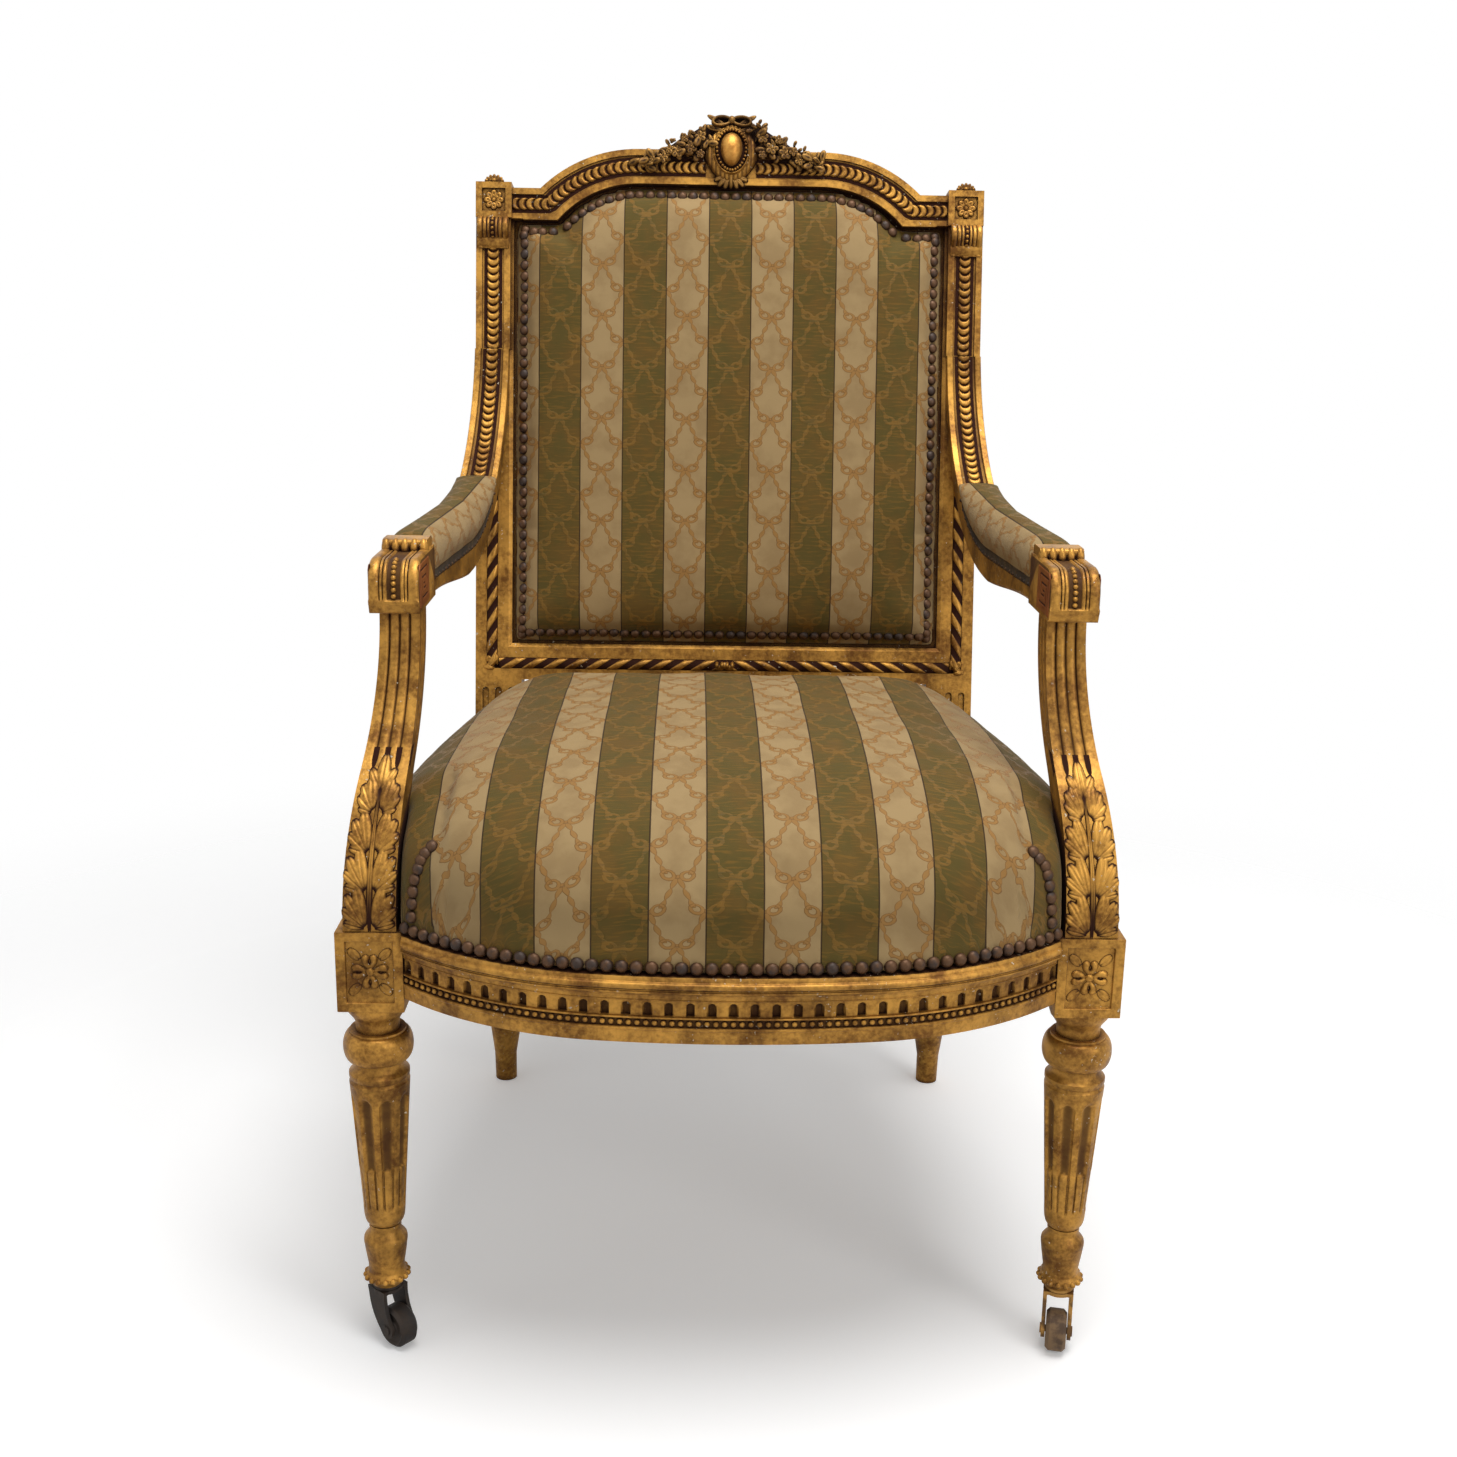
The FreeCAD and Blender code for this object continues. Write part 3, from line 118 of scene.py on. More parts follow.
def world(points: Array) -> Array:
    """Moves points from the drawing to the row frame.

    Args:
        points: an (n, 3) array in millimetres, in the drawing's frame.

    Returns:
        The same points in metres, in the row frame.
    """
    return (np.asarray(points, float) + (0.0, LEG_AXIS_DEPTH, 0.0)) * 0.001


def drawn(points: Array) -> Array:
    """Args: points: metres in the row frame. Returns: them in mm in the drawing's frame."""
    return np.asarray(points) / 0.001 - (0.0, LEG_AXIS_DEPTH, 0.0)


def spot_of(x: float, y: float, z: float) -> Vector:
    """Args: a place in mm in the drawing's frame. Returns: it in metres in the row frame."""
    return Vector(world(np.array([(x, y, z)]))[0])


def stack(x: Array, y: Array, z: Array) -> Array:
    """Args: three coordinate arrays or numbers. Returns: one (n, 3) array."""
    return np.stack(np.broadcast_arrays(x, y, z), axis=-1).astype(float)


def leaned(x: Array, depth: Array, rise: Array) -> Array:
    """Places points of the back's flat drawing on the leaning back.

    Args:
        x: across. depth: behind the back's front plane. rise: up the lean from its bottom edge.

    Returns:
        An (n, 3) array in the drawing's frame.
    """
    y = BACK_FRONT + np.asarray(depth) * math.cos(RAKE) + np.asarray(rise) * math.sin(RAKE)
    z = BACK_BOTTOM - np.asarray(depth) * math.sin(RAKE) + np.asarray(rise) * math.cos(RAKE)
    return stack(x, y, z)


def ramp(value: Array, low: float, high: float) -> Array:
    """A smooth step.

    Args:
        value: the numbers to ramp. low: where it leaves 0. high: where it reaches 1.

    Returns:
        Numbers from 0 to 1.
    """
    t = np.clip((np.asarray(value, float) - low) / (high - low), 0.0, 1.0)
    return t * t * (3.0 - 2.0 * t)


def wave_noise(points: Array, wave: float, seed: int) -> Array:
    """Soft, repeatable unevenness made of a few crossing waves.

    Args:
        points: (n, 3) places in millimetres. wave: the typical wavelength. seed: which pattern.

    Returns:
        One number per point, mostly between -1 and 1.
    """
    rng = np.random.default_rng(seed)
    total = np.zeros(len(points))
    for _ in range(7):
        way = rng.normal(size=3)
        way /= np.linalg.norm(way)
        phase = rng.uniform(0, 2 * math.pi)
        scale = 2 * math.pi / (wave * rng.uniform(0.7, 1.5))
        total += np.sin(points @ way * scale + phase)
    return total / 3.5


# Mesh tools


def deselect() -> None:
    """Clears the selection. Returns: nothing."""
    bpy.ops.object.select_all(action="DESELECT")


def pick(piece: Piece) -> None:
    """Selects one piece alone and makes it active. Args: piece. Returns: nothing."""
    deselect()
    piece.select_set(True)
    bpy.context.view_layer.objects.active = piece


def applied(piece: Piece, kind: str, **settings: object) -> None:
    """Args: piece: active. kind: a modifier, put on and applied. settings. Returns: nothing."""
    modifier = piece.modifiers.new(kind.lower(), kind)
    for key, value in settings.items():
        setattr(modifier, key, value)
    bpy.ops.object.modifier_apply(modifier=modifier.name)


def corners_of(mesh: bpy.types.Mesh) -> Array:
    """Args: mesh. Returns: the vertex that each face corner stands on."""
    corners = np.empty(len(mesh.loops), int)
    mesh.loops.foreach_get("vertex_index", corners)
    return corners


def face_mode(on: bool) -> None:
    """Args: on: select faces in edit mode, or else vertices. Returns: nothing."""
    bpy.context.tool_settings.mesh_select_mode = (not on, False, on)


def twin(piece: Piece, name: str) -> Piece:
    """Args: piece. name: the copy's name. Returns: a copy with its own mesh."""
    copy = piece.copy()
    copy.data = piece.data.copy()
    copy.name = name
    copy.data.name = name
    bpy.context.collection.objects.link(copy)
    return copy


def on_line(line: Array, step: Array) -> list[Array]:
    """Args: line: points in rows. step: places counted in rows. Returns: each column there."""
    return [np.interp(step, np.arange(len(line)), column) for column in line.T]


def mileage(line: Array) -> Array:
    """Args: line: (n, 2) points. Returns: how far along it each lies."""
    return np.concatenate(((0,), np.cumsum(np.hypot(*np.diff(line, axis=0).T))))


def drift(line: Array, steps: Array, at: Array, reach: float) -> list[Array]:
    """Args: line, its mileage and places on it. reach: half a step. Returns: its way there."""
    return [np.interp(at + reach, steps, column) - np.interp(at - reach, steps, column)
            for column in line.T]


def read_points(piece: Piece) -> Array:
    """Args: piece: a mesh object. Returns: its vertices as an (n, 3) array in metres."""
    flat = np.empty(len(piece.data.vertices) * 3)
    piece.data.vertices.foreach_get("co", flat)
    return flat.reshape(-1, 3)


def write_points(piece: Piece, points: Array) -> None:
    """Args: piece: a mesh object. points: (n, 3) metres. Returns: nothing."""
    piece.data.vertices.foreach_set("co", np.ascontiguousarray(points, float).ravel())
    piece.data.update()


def set_hollow(piece: Piece, values: Array) -> None:
    """Stores how deep in a carved hollow each vertex lies, where the gilt finish paints shade and
    dirt.

    Args:
        piece: a mesh object. values: 0 on top to 1 deep in a hollow, one per vertex.

    Returns:
        Nothing.
    """
    layer = piece.data.attributes.new("hollow", "FLOAT", "POINT")
    layer.data.foreach_set("value", np.clip(values, 0.0, 1.0).astype(np.float32))


def tidy_mesh(piece: Piece, merge: float, angle: float, caps: bool) -> None:
    """Joins the seams of a mapped grid, closes its ends and turns its faces outward.

    Args:
        piece: a mesh object. merge: joining distance in metres, or 0.
        angle: the sharpest angle still shaded smooth, in degrees. caps: fills open ends.

    Returns:
        Nothing.
    """
    pick(piece)
    bpy.ops.object.mode_set(mode="EDIT")
    bpy.ops.mesh.select_all(action="SELECT")
    if merge:
        bpy.ops.mesh.remove_doubles(threshold=merge)
    if caps:
        bpy.ops.mesh.fill_holes(sides=0)
        bpy.ops.mesh.select_all(action="SELECT")
    bpy.ops.mesh.normals_make_consistent(inside=False)
    bpy.ops.object.mode_set(mode="OBJECT")
    bpy.ops.object.shade_smooth_by_angle(angle=math.radians(angle))


def cut_away(piece: Piece, bare: Array) -> None:
    """Deletes the faces of a grid whose corners are all bare.

    Args:
        piece: a mesh of four-sided faces. bare: True for each vertex that carries nothing.

    Returns:
        Nothing.
    """
    faces = bare[corners_of(piece.data)].reshape(-1, 4).all(axis=1)
    pick(piece)
    face_mode(True)
    bpy.ops.object.mode_set(mode="EDIT")
    bpy.ops.mesh.select_all(action="DESELECT")
    bpy.ops.object.mode_set(mode="OBJECT")
    piece.data.polygons.foreach_set("select", faces)
    bpy.ops.object.mode_set(mode="EDIT")
    bpy.ops.mesh.delete(type="FACE")
    bpy.ops.object.mode_set(mode="OBJECT")
    face_mode(False)


def grid(name: str, columns: int, rows: int, surface: Surface) -> Piece:
    """Lays a flat grid over a surface.

    Args:
        name: the piece's name. columns, rows: faces each way.
        surface: gives points in mm and hollows for u and v from 0 to 1.

    Returns:
        The new object, at the origin.
    """
    deselect()
    bpy.ops.mesh.primitive_grid_add(x_subdivisions=columns, y_subdivisions=rows, size=1.0)
    piece = bpy.context.object
    piece.name = name
    piece.data.name = name
    flat = read_points(piece)
    points, hollow = surface(flat[:, 0] + 0.5, flat[:, 1] + 0.5)
    write_points(piece, world(points))
    hollow = np.broadcast_to(hollow, len(flat))
    set_hollow(piece, hollow)
    if hollow.max() > BARE / 2:
        cut_away(piece, hollow > BARE / 2)
    return piece


def loft(name: str, columns: int, rows: int, surface: Surface, angle: float = 40.0,
         caps: bool = True) -> Piece:
    """A closed body: u runs round the section and v along the body.

    Args:
        name: the piece's name. columns, rows: faces each way. surface: as in grid.
        angle: the sharpest smooth angle. caps: closes the two ends.

    Returns:
        The new object.
    """
    piece = grid(name, columns, rows, surface)
    tidy_mesh(piece, 2e-6, angle, caps)
    return piece


def relief(name: str, columns: int, rows: int, surface: Surface, outward: Sequence[float],
           angle: float = 60.0) -> Piece:
    """A carved sheet whose borders lie just under what carries it.

    Args:
        name: the piece's name. columns, rows: faces each way. surface: as in grid.
        outward: the way its face looks. angle: the sharpest smooth angle.

    Returns:
        The new object.
    """
    piece = grid(name, columns, rows, surface)
    mesh = piece.data
    normals = np.empty(len(mesh.polygons) * 3)
    mesh.polygons.foreach_get("normal", normals)
    facing = float((normals.reshape(-1, 3) @ np.asarray(outward, float)).mean())
    if facing < 0:
        mesh.flip_normals()
    pick(piece)
    bpy.ops.object.shade_smooth_by_angle(angle=math.radians(angle))
    return piece


def joined(pieces: Sequence[Piece], name: str) -> Piece:
    """Joins pieces into one object.

    Args:
        pieces: mesh objects. name: the joined piece's name.

    Returns:
        The joined object, at the origin.
    """
    deselect()
    for piece in pieces:
        piece.select_set(True)
    bpy.context.view_layer.objects.active = pieces[0]
    if len(pieces) > 1:
        bpy.ops.object.join()
    whole = bpy.context.view_layer.objects.active
    whole.name = name
    whole.data.name = name
    return whole


def stamped(master: Piece, places: Iterable[Matrix], name: str) -> Piece:
    """Copies one small ornament to many places and joins the copies.

    Args:
        master: the ornament, modelled at the origin in metres; it is used up.
        places: where each copy goes. name: the joined piece's name.

    Returns:
        The joined object.
    """
    copies = []
    for place in places:
        copy = twin(master, name)
        copy.data.transform(place)
        copies.append(copy)
    bpy.data.objects.remove(master)
    return joined(copies, name)


def mirrored(piece: Piece, name: str) -> Piece:
    """Args: piece: a right-hand piece. name: the copy's name. Returns: its left-hand copy."""
    copy = twin(piece, name)
    copy.data.transform(Matrix.Scale(-1, 4, (1, 0, 0)))
    copy.data.flip_normals()
    return copy


def facing(point: Sequence[float], normal: Sequence[float], turn: float = 0.0,
           scale: Sequence[float] = (1, 1, 1)) -> Matrix:
    """Where an ornament sits: its own z along the normal.

    Args:
        point: the foot in mm, in the drawing's frame. normal: the way it looks.
        turn: a turn about the normal in degrees. scale: its size along each own axis.

    Returns:
        The placing matrix, in metres.
    """
    foot = spot_of(*point)
    out = Vector(normal).normalized()
    up = Vector((0, 0, 1)) if abs(out.z) < 0.9 else Vector((0, 1, 0))
    right = up.cross(out).normalized()
    up = out.cross(right)
    axes = Matrix((right, up, out)).transposed().to_4x4()
    size = Matrix.Diagonal((*scale, 1.0))
    return Matrix.Translation(foot) @ axes @ Matrix.Rotation(math.radians(turn), 4, "Z") @ size


def bead(radius: float, height: float, segments: int = 12, rings: int = 4) -> Piece:
    """A low domed bead standing on the plane z=0.

    Args:
        radius: in mm. height: in mm. segments, rings: how finely it is divided.

    Returns:
        The bead, in metres at the origin.
    """
    deselect()
    bpy.ops.mesh.primitive_uv_sphere_add(segments=segments, ring_count=rings * 2,
                                         radius=radius * 0.001)
    piece = bpy.context.object
    bpy.ops.object.mode_set(mode="EDIT")
    bpy.ops.mesh.select_all(action="SELECT")
    bpy.ops.mesh.bisect(plane_co=(0, 0, -radius * 0.0002), plane_no=(0, 0, 1), clear_inner=True)
    bpy.ops.object.mode_set(mode="OBJECT")
    piece.data.transform(Matrix.Diagonal((1, 1, height / radius, 1)))
    bpy.ops.object.shade_smooth()
    return piece


def petal(length: float, width: float, height: float, cup: float = 0.35,
          segments: int = 12, rings: int = 8) -> Piece:
    """A cupped petal lying on z=0 with its foot at the origin and its tip along +y.

    Args:
        length, width, height: its size in mm. cup: how far its middle is hollowed, 0 to 1.
        segments, rings: how finely it is divided.

    Returns:
        The petal, in metres at the origin.
    """
    deselect()
    bpy.ops.mesh.primitive_uv_sphere_add(segments=segments, ring_count=rings, radius=1.0,
                                         rotation=(math.pi / 2, 0, 0))
    piece = bpy.context.object
    bpy.ops.object.transform_apply(rotation=True)
    points = read_points(piece)
    x, y, z = points.T
    along = (y + 1) / 2
    wide = 0.55 + 0.75 * along - 0.3 * along ** 3
    dish = cup * np.clip(1 - (x ** 2 + (y - 0.1) ** 2) / 0.55, 0, 1)
    top = np.where(z > 0, z - dish, z * 0.3)
    top = top + 0.25 * along ** 2
    write_points(piece, stack(x * wide * width / 2, along * length, top * height) * 0.001)
    set_hollow(piece, dish / max(cup, 0.01) * 0.75)
    bpy.ops.object.shade_smooth()
    return piece


# Carved height fields


@dataclass(frozen=True)
class Lobe:
    """One leaf-shaped swelling of a carving.

    x, y are its middle, turn its lean from +y towards +x in degrees, all in the carving's plane.
    """

    x: float
    y: float
    length: float
    width: float
    turn: float = 0.0
    rise: float = 3.0
    taper: float = 0.3
    vein: float = 0.0
    eye: float = 0.0

    def height(self, s: Array, t: Array) -> Array:
        """Args: s, t: places in the carving's plane. Returns: this lobe's height there."""
        angle = math.radians(self.turn)
        ds, dt = s - self.x, t - self.y
        along = (ds * math.sin(angle) + dt * math.cos(angle)) / (self.length / 2)
        across = (ds * math.cos(angle) - dt * math.sin(angle)) / (self.width / 2)
        across = across / np.clip(1 - self.taper * along, 0.2, 2.0)
        inside = np.clip(1 - along ** 2 - across ** 2, 0.0, 1.0)
        body = self.rise * inside ** 0.45 * (0.8 + 0.2 * along)
        body -= self.vein * np.exp(-(across / 0.16) ** 2) * (inside > 0)
        body -= self.eye * np.exp(-(along ** 2 + across ** 2) / 0.07) * (inside > 0)
        return np.where(inside > 0, np.maximum(body, 0.0), 0.0)

    def flipped(self) -> "Lobe":
        """Returns: the same lobe on the other side of the line x=0."""
        return Lobe(-self.x, self.y, self.length, self.width, -self.turn, self.rise,
                    self.taper, self.vein, self.eye)


def carve(lobes: Sequence[Lobe], s: Array, t: Array) -> Array:
    """Args: lobes: the carving. s, t: places. Returns: the height of the highest lobe there."""
    height = np.zeros(len(s))
    for lobe in lobes:
        height = np.maximum(height, lobe.height(s, t))
    return height


def rosette(petals: int, reach: float, width: float, rise: float, heart: float,
            eye: float = 1.2, start: float = 0.0) -> list[Lobe]:
    """A round flower of equal petals about a domed heart.

    Args:
        petals: how many. reach: their tips' radius. width: each petal's. rise: its height.
        heart: the heart's radius. eye: how deep each petal is drilled. start: first turn.

    Returns:
        The flower's lobes about the origin.
    """
    length = reach - heart * 0.8
    middle = heart * 0.8 + length / 2
    lobes = [Lobe(0, 0, heart * 2, heart * 2, 0, rise * 1.1, 0.0, 0.0, 0.5)]
    for k in range(petals):
        turn = start + 360 / petals * k
        angle = math.radians(turn)
        lobes.append(Lobe(middle * math.sin(angle), middle * math.cos(angle), length, width,
                          turn, rise, -0.25, 0.0, eye))
    return lobes


def acanthus_leaf(height: float, width: float) -> list[Lobe]:
    """An upright leaf: a stem, four tiers of fanned leaflets and a three-lobed tip.

    Args:
        height, width: the space it fills, from (0, 0) up.

    Returns:
        The leaf's lobes.
    """
    unit = width / 44
    lobes = [Lobe(0, height * 0.42, height * 0.9, 4.6 * unit, 0, 2.6, 0.35, 0.5)]
    fans = ((12, 34, 10, 4.2), (30, 31, 9.5, 4.0), (50, 25, 8.5, 3.6), (74, 18, 7.5, 3.0))
    for tier in range(4):
        foot = height * (0.0 + 0.225 * tier)
        shrink = (1.0, 0.98, 0.88, 0.68)[tier] * unit
        for turn, length, wide, rise in fans:
            angle = math.radians(turn)
            reach = length * shrink
            lobe = Lobe(3.4 * unit + reach / 2 * math.sin(angle),
                        foot + 3 + reach / 2 * math.cos(angle) + (90 - turn) * 0.02,
                        reach, wide * unit, turn, rise, -0.2, 0.9)
            lobes += [lobe, lobe.flipped()]
    top = height * 0.9
    lobes.append(Lobe(0, top, 26 * unit, 11 * unit, 0, 4.4, 0.1, 0.9))
    tip = Lobe(5.5 * unit, top - 4, 17 * unit, 8 * unit, 35, 3.6, 0.0, 0.7)
    return lobes + [tip, tip.flipped()]


# Paths


@dataclass(frozen=True)
class Arc:
    """A piece of a circle, from one angle to the other, in degrees; it runs either way."""

    centre: tuple[float, float]
    radius: float
    start: float
    end: float

    @property
    def length(self) -> float:
        """Returns: its length in mm."""
        return abs(math.radians(self.end - self.start)) * self.radius

    def at(self, share: Array) -> Mapped:
        """Args: share: 0 to 1 along it. Returns: points and outward normals, (n, 2) each."""
        angle = np.radians(self.start + (self.end - self.start) * share)
        out = np.stack((np.cos(angle), np.sin(angle)), -1)
        return np.asarray(self.centre) + self.radius * out, out


@dataclass(frozen=True)
class Run:
    """A straight piece of a path; its normal points to the left of its travel or the right."""

    start: tuple[float, float]
    end: tuple[float, float]
    normal: tuple[float, float]

    @property
    def length(self) -> float:
        """Returns: its length in mm."""
        return math.dist(self.start, self.end)

    def at(self, share: Array) -> Mapped:
        """Args: share: 0 to 1 along it. Returns: points and normals, (n, 2) each."""
        a, b = np.asarray(self.start), np.asarray(self.end)
        return a + (b - a) * share[:, None], np.broadcast_to(self.normal, (len(share), 2))


class Path:
    """Arcs and runs laid end to end."""

    def __init__(self, parts: Sequence[Arc | Run]) -> None:
        """Args: parts: the pieces in order."""
        self.parts = parts
        self.ends = np.cumsum([part.length for part in parts])

    @property
    def length(self) -> float:
        """Returns: the whole length in mm."""
        return float(self.ends[-1])

    def at(self, distance: Array) -> Mapped:
        """Args: distance: mm from the start. Returns: points and normals, (n, 2) each."""
        distance = np.atleast_1d(np.asarray(distance, float))
        points = np.zeros((len(distance), 2))
        normals = np.zeros((len(distance), 2))
        which = np.clip(np.searchsorted(self.ends, distance), 0, len(self.parts) - 1)
        for k, part in enumerate(self.parts):
            mine = which == k
            if mine.any():
                start = self.ends[k] - part.length
                points[mine], normals[mine] = part.at((distance[mine] - start) / part.length)
        return points, normals


def front_path(reach: float = 0.0) -> Path:
    """Args: reach: how far it runs on past the blocks, in degrees. Returns: the bowed front."""
    turn = math.degrees(FRONT_TURN)
    end = -math.degrees(math.acos((RAIL_HALF - END_X) / END_RADIUS))
    return Path((Arc((-END_X, END_Y), END_RADIUS, -180 - end - reach, -90 - turn),
                 Arc((0.0, FRONT_Y), FRONT_RADIUS, -90 - turn, -90 + turn),
                 Arc((END_X, END_Y), END_RADIUS, -90 + turn, end + reach)))


def side_path() -> Path:
    """Returns: the right side rail's outer face, front to back."""
    start, end = (math.degrees(math.asin((y - SIDE_Y) / SIDE_RADIUS))
                  for y in (BLOCK_HALF, POST_FRONT))
    return Path((Arc((SIDE_X, SIDE_Y), SIDE_RADIUS, start, end),))


def s_offset(share: Array, climb: float, run: float) -> Array:
    """How far an S of two equal arcs, upright at both ends, has gone sideways.

    Args:
        share: how far up it, 0 to 1. climb: its height. run: its whole sideways run.

    Returns:
        The sideways offset, 0 to run.
    """
    radius = (climb ** 2 + run ** 2) / (4 * abs(run))
    low = np.clip(share, 0, 0.5) * climb
    high = (1 - np.clip(share, 0.5, 1)) * climb
    first = radius - np.sqrt(radius ** 2 - low ** 2)
    second = abs(run) - (radius - np.sqrt(radius ** 2 - high ** 2))
    return math.copysign(1, run) * np.where(np.asarray(share) <= 0.5, first, second)


# Finishes


def rgb(red: int, green: int, blue: int) -> tuple[float, float, float, float]:
    """Args: an sRGB colour, 0 to 255. Returns: the linear colour a shader takes."""
    def linear(level: float) -> float:
        """Args: level: 0 to 255. Returns: the linear level."""
        level /= 255
        return level / 12.92 if level <= 0.04045 else ((level + 0.055) / 1.055) ** 2.4
    return (linear(red), linear(green), linear(blue), 1.0)


class Shader:
    """A node material being put together."""

    def __init__(self, name: str) -> None:
        """Args: name: the material's name."""
        self.material = bpy.data.materials.new(name)
        self.material.use_nodes = True
        self.tree = self.material.node_tree
        self.surface = self.tree.nodes["Principled BSDF"]
        self.place = self.add("ShaderNodeTexCoord").outputs["Object"]

    def add(self, kind: str, **settings: object) -> bpy.types.Node:
        """Args: kind: the node's type. settings: its properties. Returns: the new node."""
        node = self.tree.nodes.new(kind)
        for key, value in settings.items():
            setattr(node, key, value)
        return node

    def feed(self, socket: bpy.types.NodeSocket, value: object) -> None:
        """Args: socket: an input. value: an output socket or a constant. Returns: nothing."""
        if isinstance(value, bpy.types.NodeSocket):
            self.tree.links.new(value, socket)
        else:
            socket.default_value = value

    def set(self, **values: object) -> None:
        """Args: values: inputs of the surface shader, underscores for spaces. Returns: nothing."""
        for key, value in values.items():
            self.feed(self.surface.inputs[key.replace("_", " ")], value)

    def math(self, operation: str, *values: object, clamp: bool = False) -> bpy.types.NodeSocket:
        """Args: operation: what to do. values: its inputs. Returns: the result."""
        node = self.add("ShaderNodeMath", operation=operation, use_clamp=clamp)
        for socket, value in zip(node.inputs, values):
            self.feed(socket, value)
        return node.outputs[0]

    times = partialmethod(math, "MULTIPLY")
    plus = partialmethod(math, "ADD")
    less = partialmethod(math, "SUBTRACT")
    over = partialmethod(math, "DIVIDE")
    most = partialmethod(math, "MAXIMUM")
    least = partialmethod(math, "MINIMUM")
    size = partialmethod(math, "ABSOLUTE")
    root = partialmethod(math, "SQRT")
    fraction = partialmethod(math, "FRACT")
    sine = partialmethod(math, "SINE")

    def step(self, value: object, low: float, high: float) -> bpy.types.NodeSocket:
        """Args: value: a number. low, high: where the smooth ramp runs. Returns: 0 to 1."""
        node = self.add("ShaderNodeMapRange", interpolation_type="SMOOTHSTEP")
        for key, item in (("Value", value), ("From Min", low), ("From Max", high)):
            self.feed(node.inputs[key], item)
        return node.outputs["Result"]

    def mix(self, share: object, first: object, second: object,
            blend: str = "MIX") -> bpy.types.NodeSocket:
        """Args: share: how much of the second colour. Returns: the mixed colour."""
        node = self.add("ShaderNodeMix", data_type="RGBA", blend_type=blend)
        self.feed(node.inputs[0], share)
        self.feed(node.inputs[6], first)
        self.feed(node.inputs[7], second)
        return node.outputs[2]

    def noise(self, scale: float, detail: float = 3.0, stretch: Sequence[float] = (1, 1, 1),
              rough: float = 0.55) -> bpy.types.NodeSocket:
        """Args: scale: waves a metre. stretch: scale along each axis. Returns: 0 to 1."""
        node = self.add("ShaderNodeTexNoise")
        mapping = self.add("ShaderNodeMapping")
        self.feed(mapping.inputs["Vector"], self.place)
        mapping.inputs["Scale"].default_value = stretch
        self.feed(node.inputs["Vector"], mapping.outputs[0])
        node.inputs["Scale"].default_value = scale
        node.inputs["Detail"].default_value = detail
        node.inputs["Roughness"].default_value = rough
        return node.outputs[0]

    def wave(self, way: str, scale: float, distortion: float = 0.0) -> bpy.types.NodeSocket:
        """Args: way: the axis its bands cross. scale. distortion. Returns: 0 to 1."""
        node = self.add("ShaderNodeTexWave", bands_direction=way)
        self.feed(node.inputs["Vector"], self.place)
        node.inputs["Scale"].default_value = scale
        node.inputs["Distortion"].default_value = distortion
        return node.outputs["Fac"]

    def fixed(self, **values: float) -> None:
        """Args: values: constants of the surface shader. Returns: nothing."""
        for key, value in values.items():
            self.surface.inputs[key.replace("_", " ")].default_value = value

    def add_grey(self, value: object) -> bpy.types.NodeSocket:
        """Args: value: a number. Returns: it as a grey colour."""
        node = self.add("ShaderNodeCombineColor")
        for socket in node.inputs[:3]:
            self.feed(socket, value)
        return node.outputs[0]

    def attribute(self, name: str) -> bpy.types.NodeSocket:
        """Args: name: a stored number. Returns: its value."""
        return self.add("ShaderNodeAttribute", attribute_name=name).outputs["Fac"]

    def openness(self, reach: float) -> bpy.types.NodeSocket:
        """Args: reach: metres looked around. Returns: 1 in the open, 0 in a deep corner."""
        node = self.add("ShaderNodeAmbientOcclusion", samples=6)
        node.inputs["Distance"].default_value = reach
        return node.outputs["AO"]

    def bump(self, height: object, distance: float, strength: float = 1.0) -> None:
        """Args: height: a number. distance: metres it stands for. Returns: nothing."""
        node = self.add("ShaderNodeBump")
        node.inputs["Distance"].default_value = distance
        node.inputs["Strength"].default_value = strength
        self.feed(node.inputs["Height"], height)
        self.feed(self.surface.inputs["Normal"], node.outputs[0])


@dataclass(frozen=True)
class GiltWood:
    """Old leaf gold on carved wood, rubbed bright in patches; hollows and corners are turned brown
    as painted shade, with dirt.
    """

    name: str = "gilt_wood"
    bright: Colour = (198, 146, 66)
    middle: Colour = (104, 66, 26)
    # The colour of the painted shade and dirt in hollows and corners.
    hollow: Colour = (44, 17, 5)
    shine: float = 0.6
    chips: float = 0.67
    # Threshold of the painted shade and dirt in hollows and corners; lower spreads it further.
    dirt: float = 0.5

    def make(self) -> bpy.types.Material:
        """Returns: the material."""
        s = Shader(self.name)
        # Painted shade, with dirt: carved hollows and the corners that ambient occlusion finds are
        # darkened towards the hollow colour.
        carved = s.attribute("hollow")
        shut = s.less(1.0, s.step(s.openness(0.012), 0.30, 0.86))
        cloud = s.noise(28.0, 4.0)
        fleck = s.noise(240.0, 5.0, rough=0.65)
        rub = s.plus(s.times(cloud, 0.6), s.times(fleck, 0.4))
        gold = s.mix(s.step(rub, 0.34, 0.64), rgb(*self.middle), rgb(*self.bright))
        stain = s.mix(s.times(s.step(s.noise(17.0, 5.0), 0.45, 0.75), 0.45), gold,
                      rgb(*(int(c * 0.62) for c in self.middle)))
        deep = s.most(carved, s.times(shut, 0.92))
        ragged = s.plus(deep, s.times(s.less(fleck, 0.5), 0.35))
        # The painted shade and dirt are mixed in here.
        darkened = s.mix(s.step(ragged, self.dirt - 0.35, self.dirt + 0.3), stain, rgb(*self.hollow))
        chip = s.step(s.noise(330.0, 3.0, rough=0.5), self.chips, self.chips + 0.03)
        patch = s.step(s.noise(34.0, 2.0), 0.50, 0.60)
        worn = s.times(chip, patch)
        s.set(Base_Color=s.mix(worn, darkened, rgb(206, 192, 168)))
        open_gold = s.less(1.0, s.most(deep, worn), clamp=True)
        s.set(Metallic=s.times(open_gold, self.shine))
        matt = s.plus(s.times(fleck, 0.28), s.times(deep, 0.5))
        s.set(Roughness=s.plus(0.27, matt))
        s.fixed(Specular_IOR_Level=0.2)
        s.bump(s.plus(fleck, s.times(worn, -0.8)), 0.0004, 0.6)
        return s.material


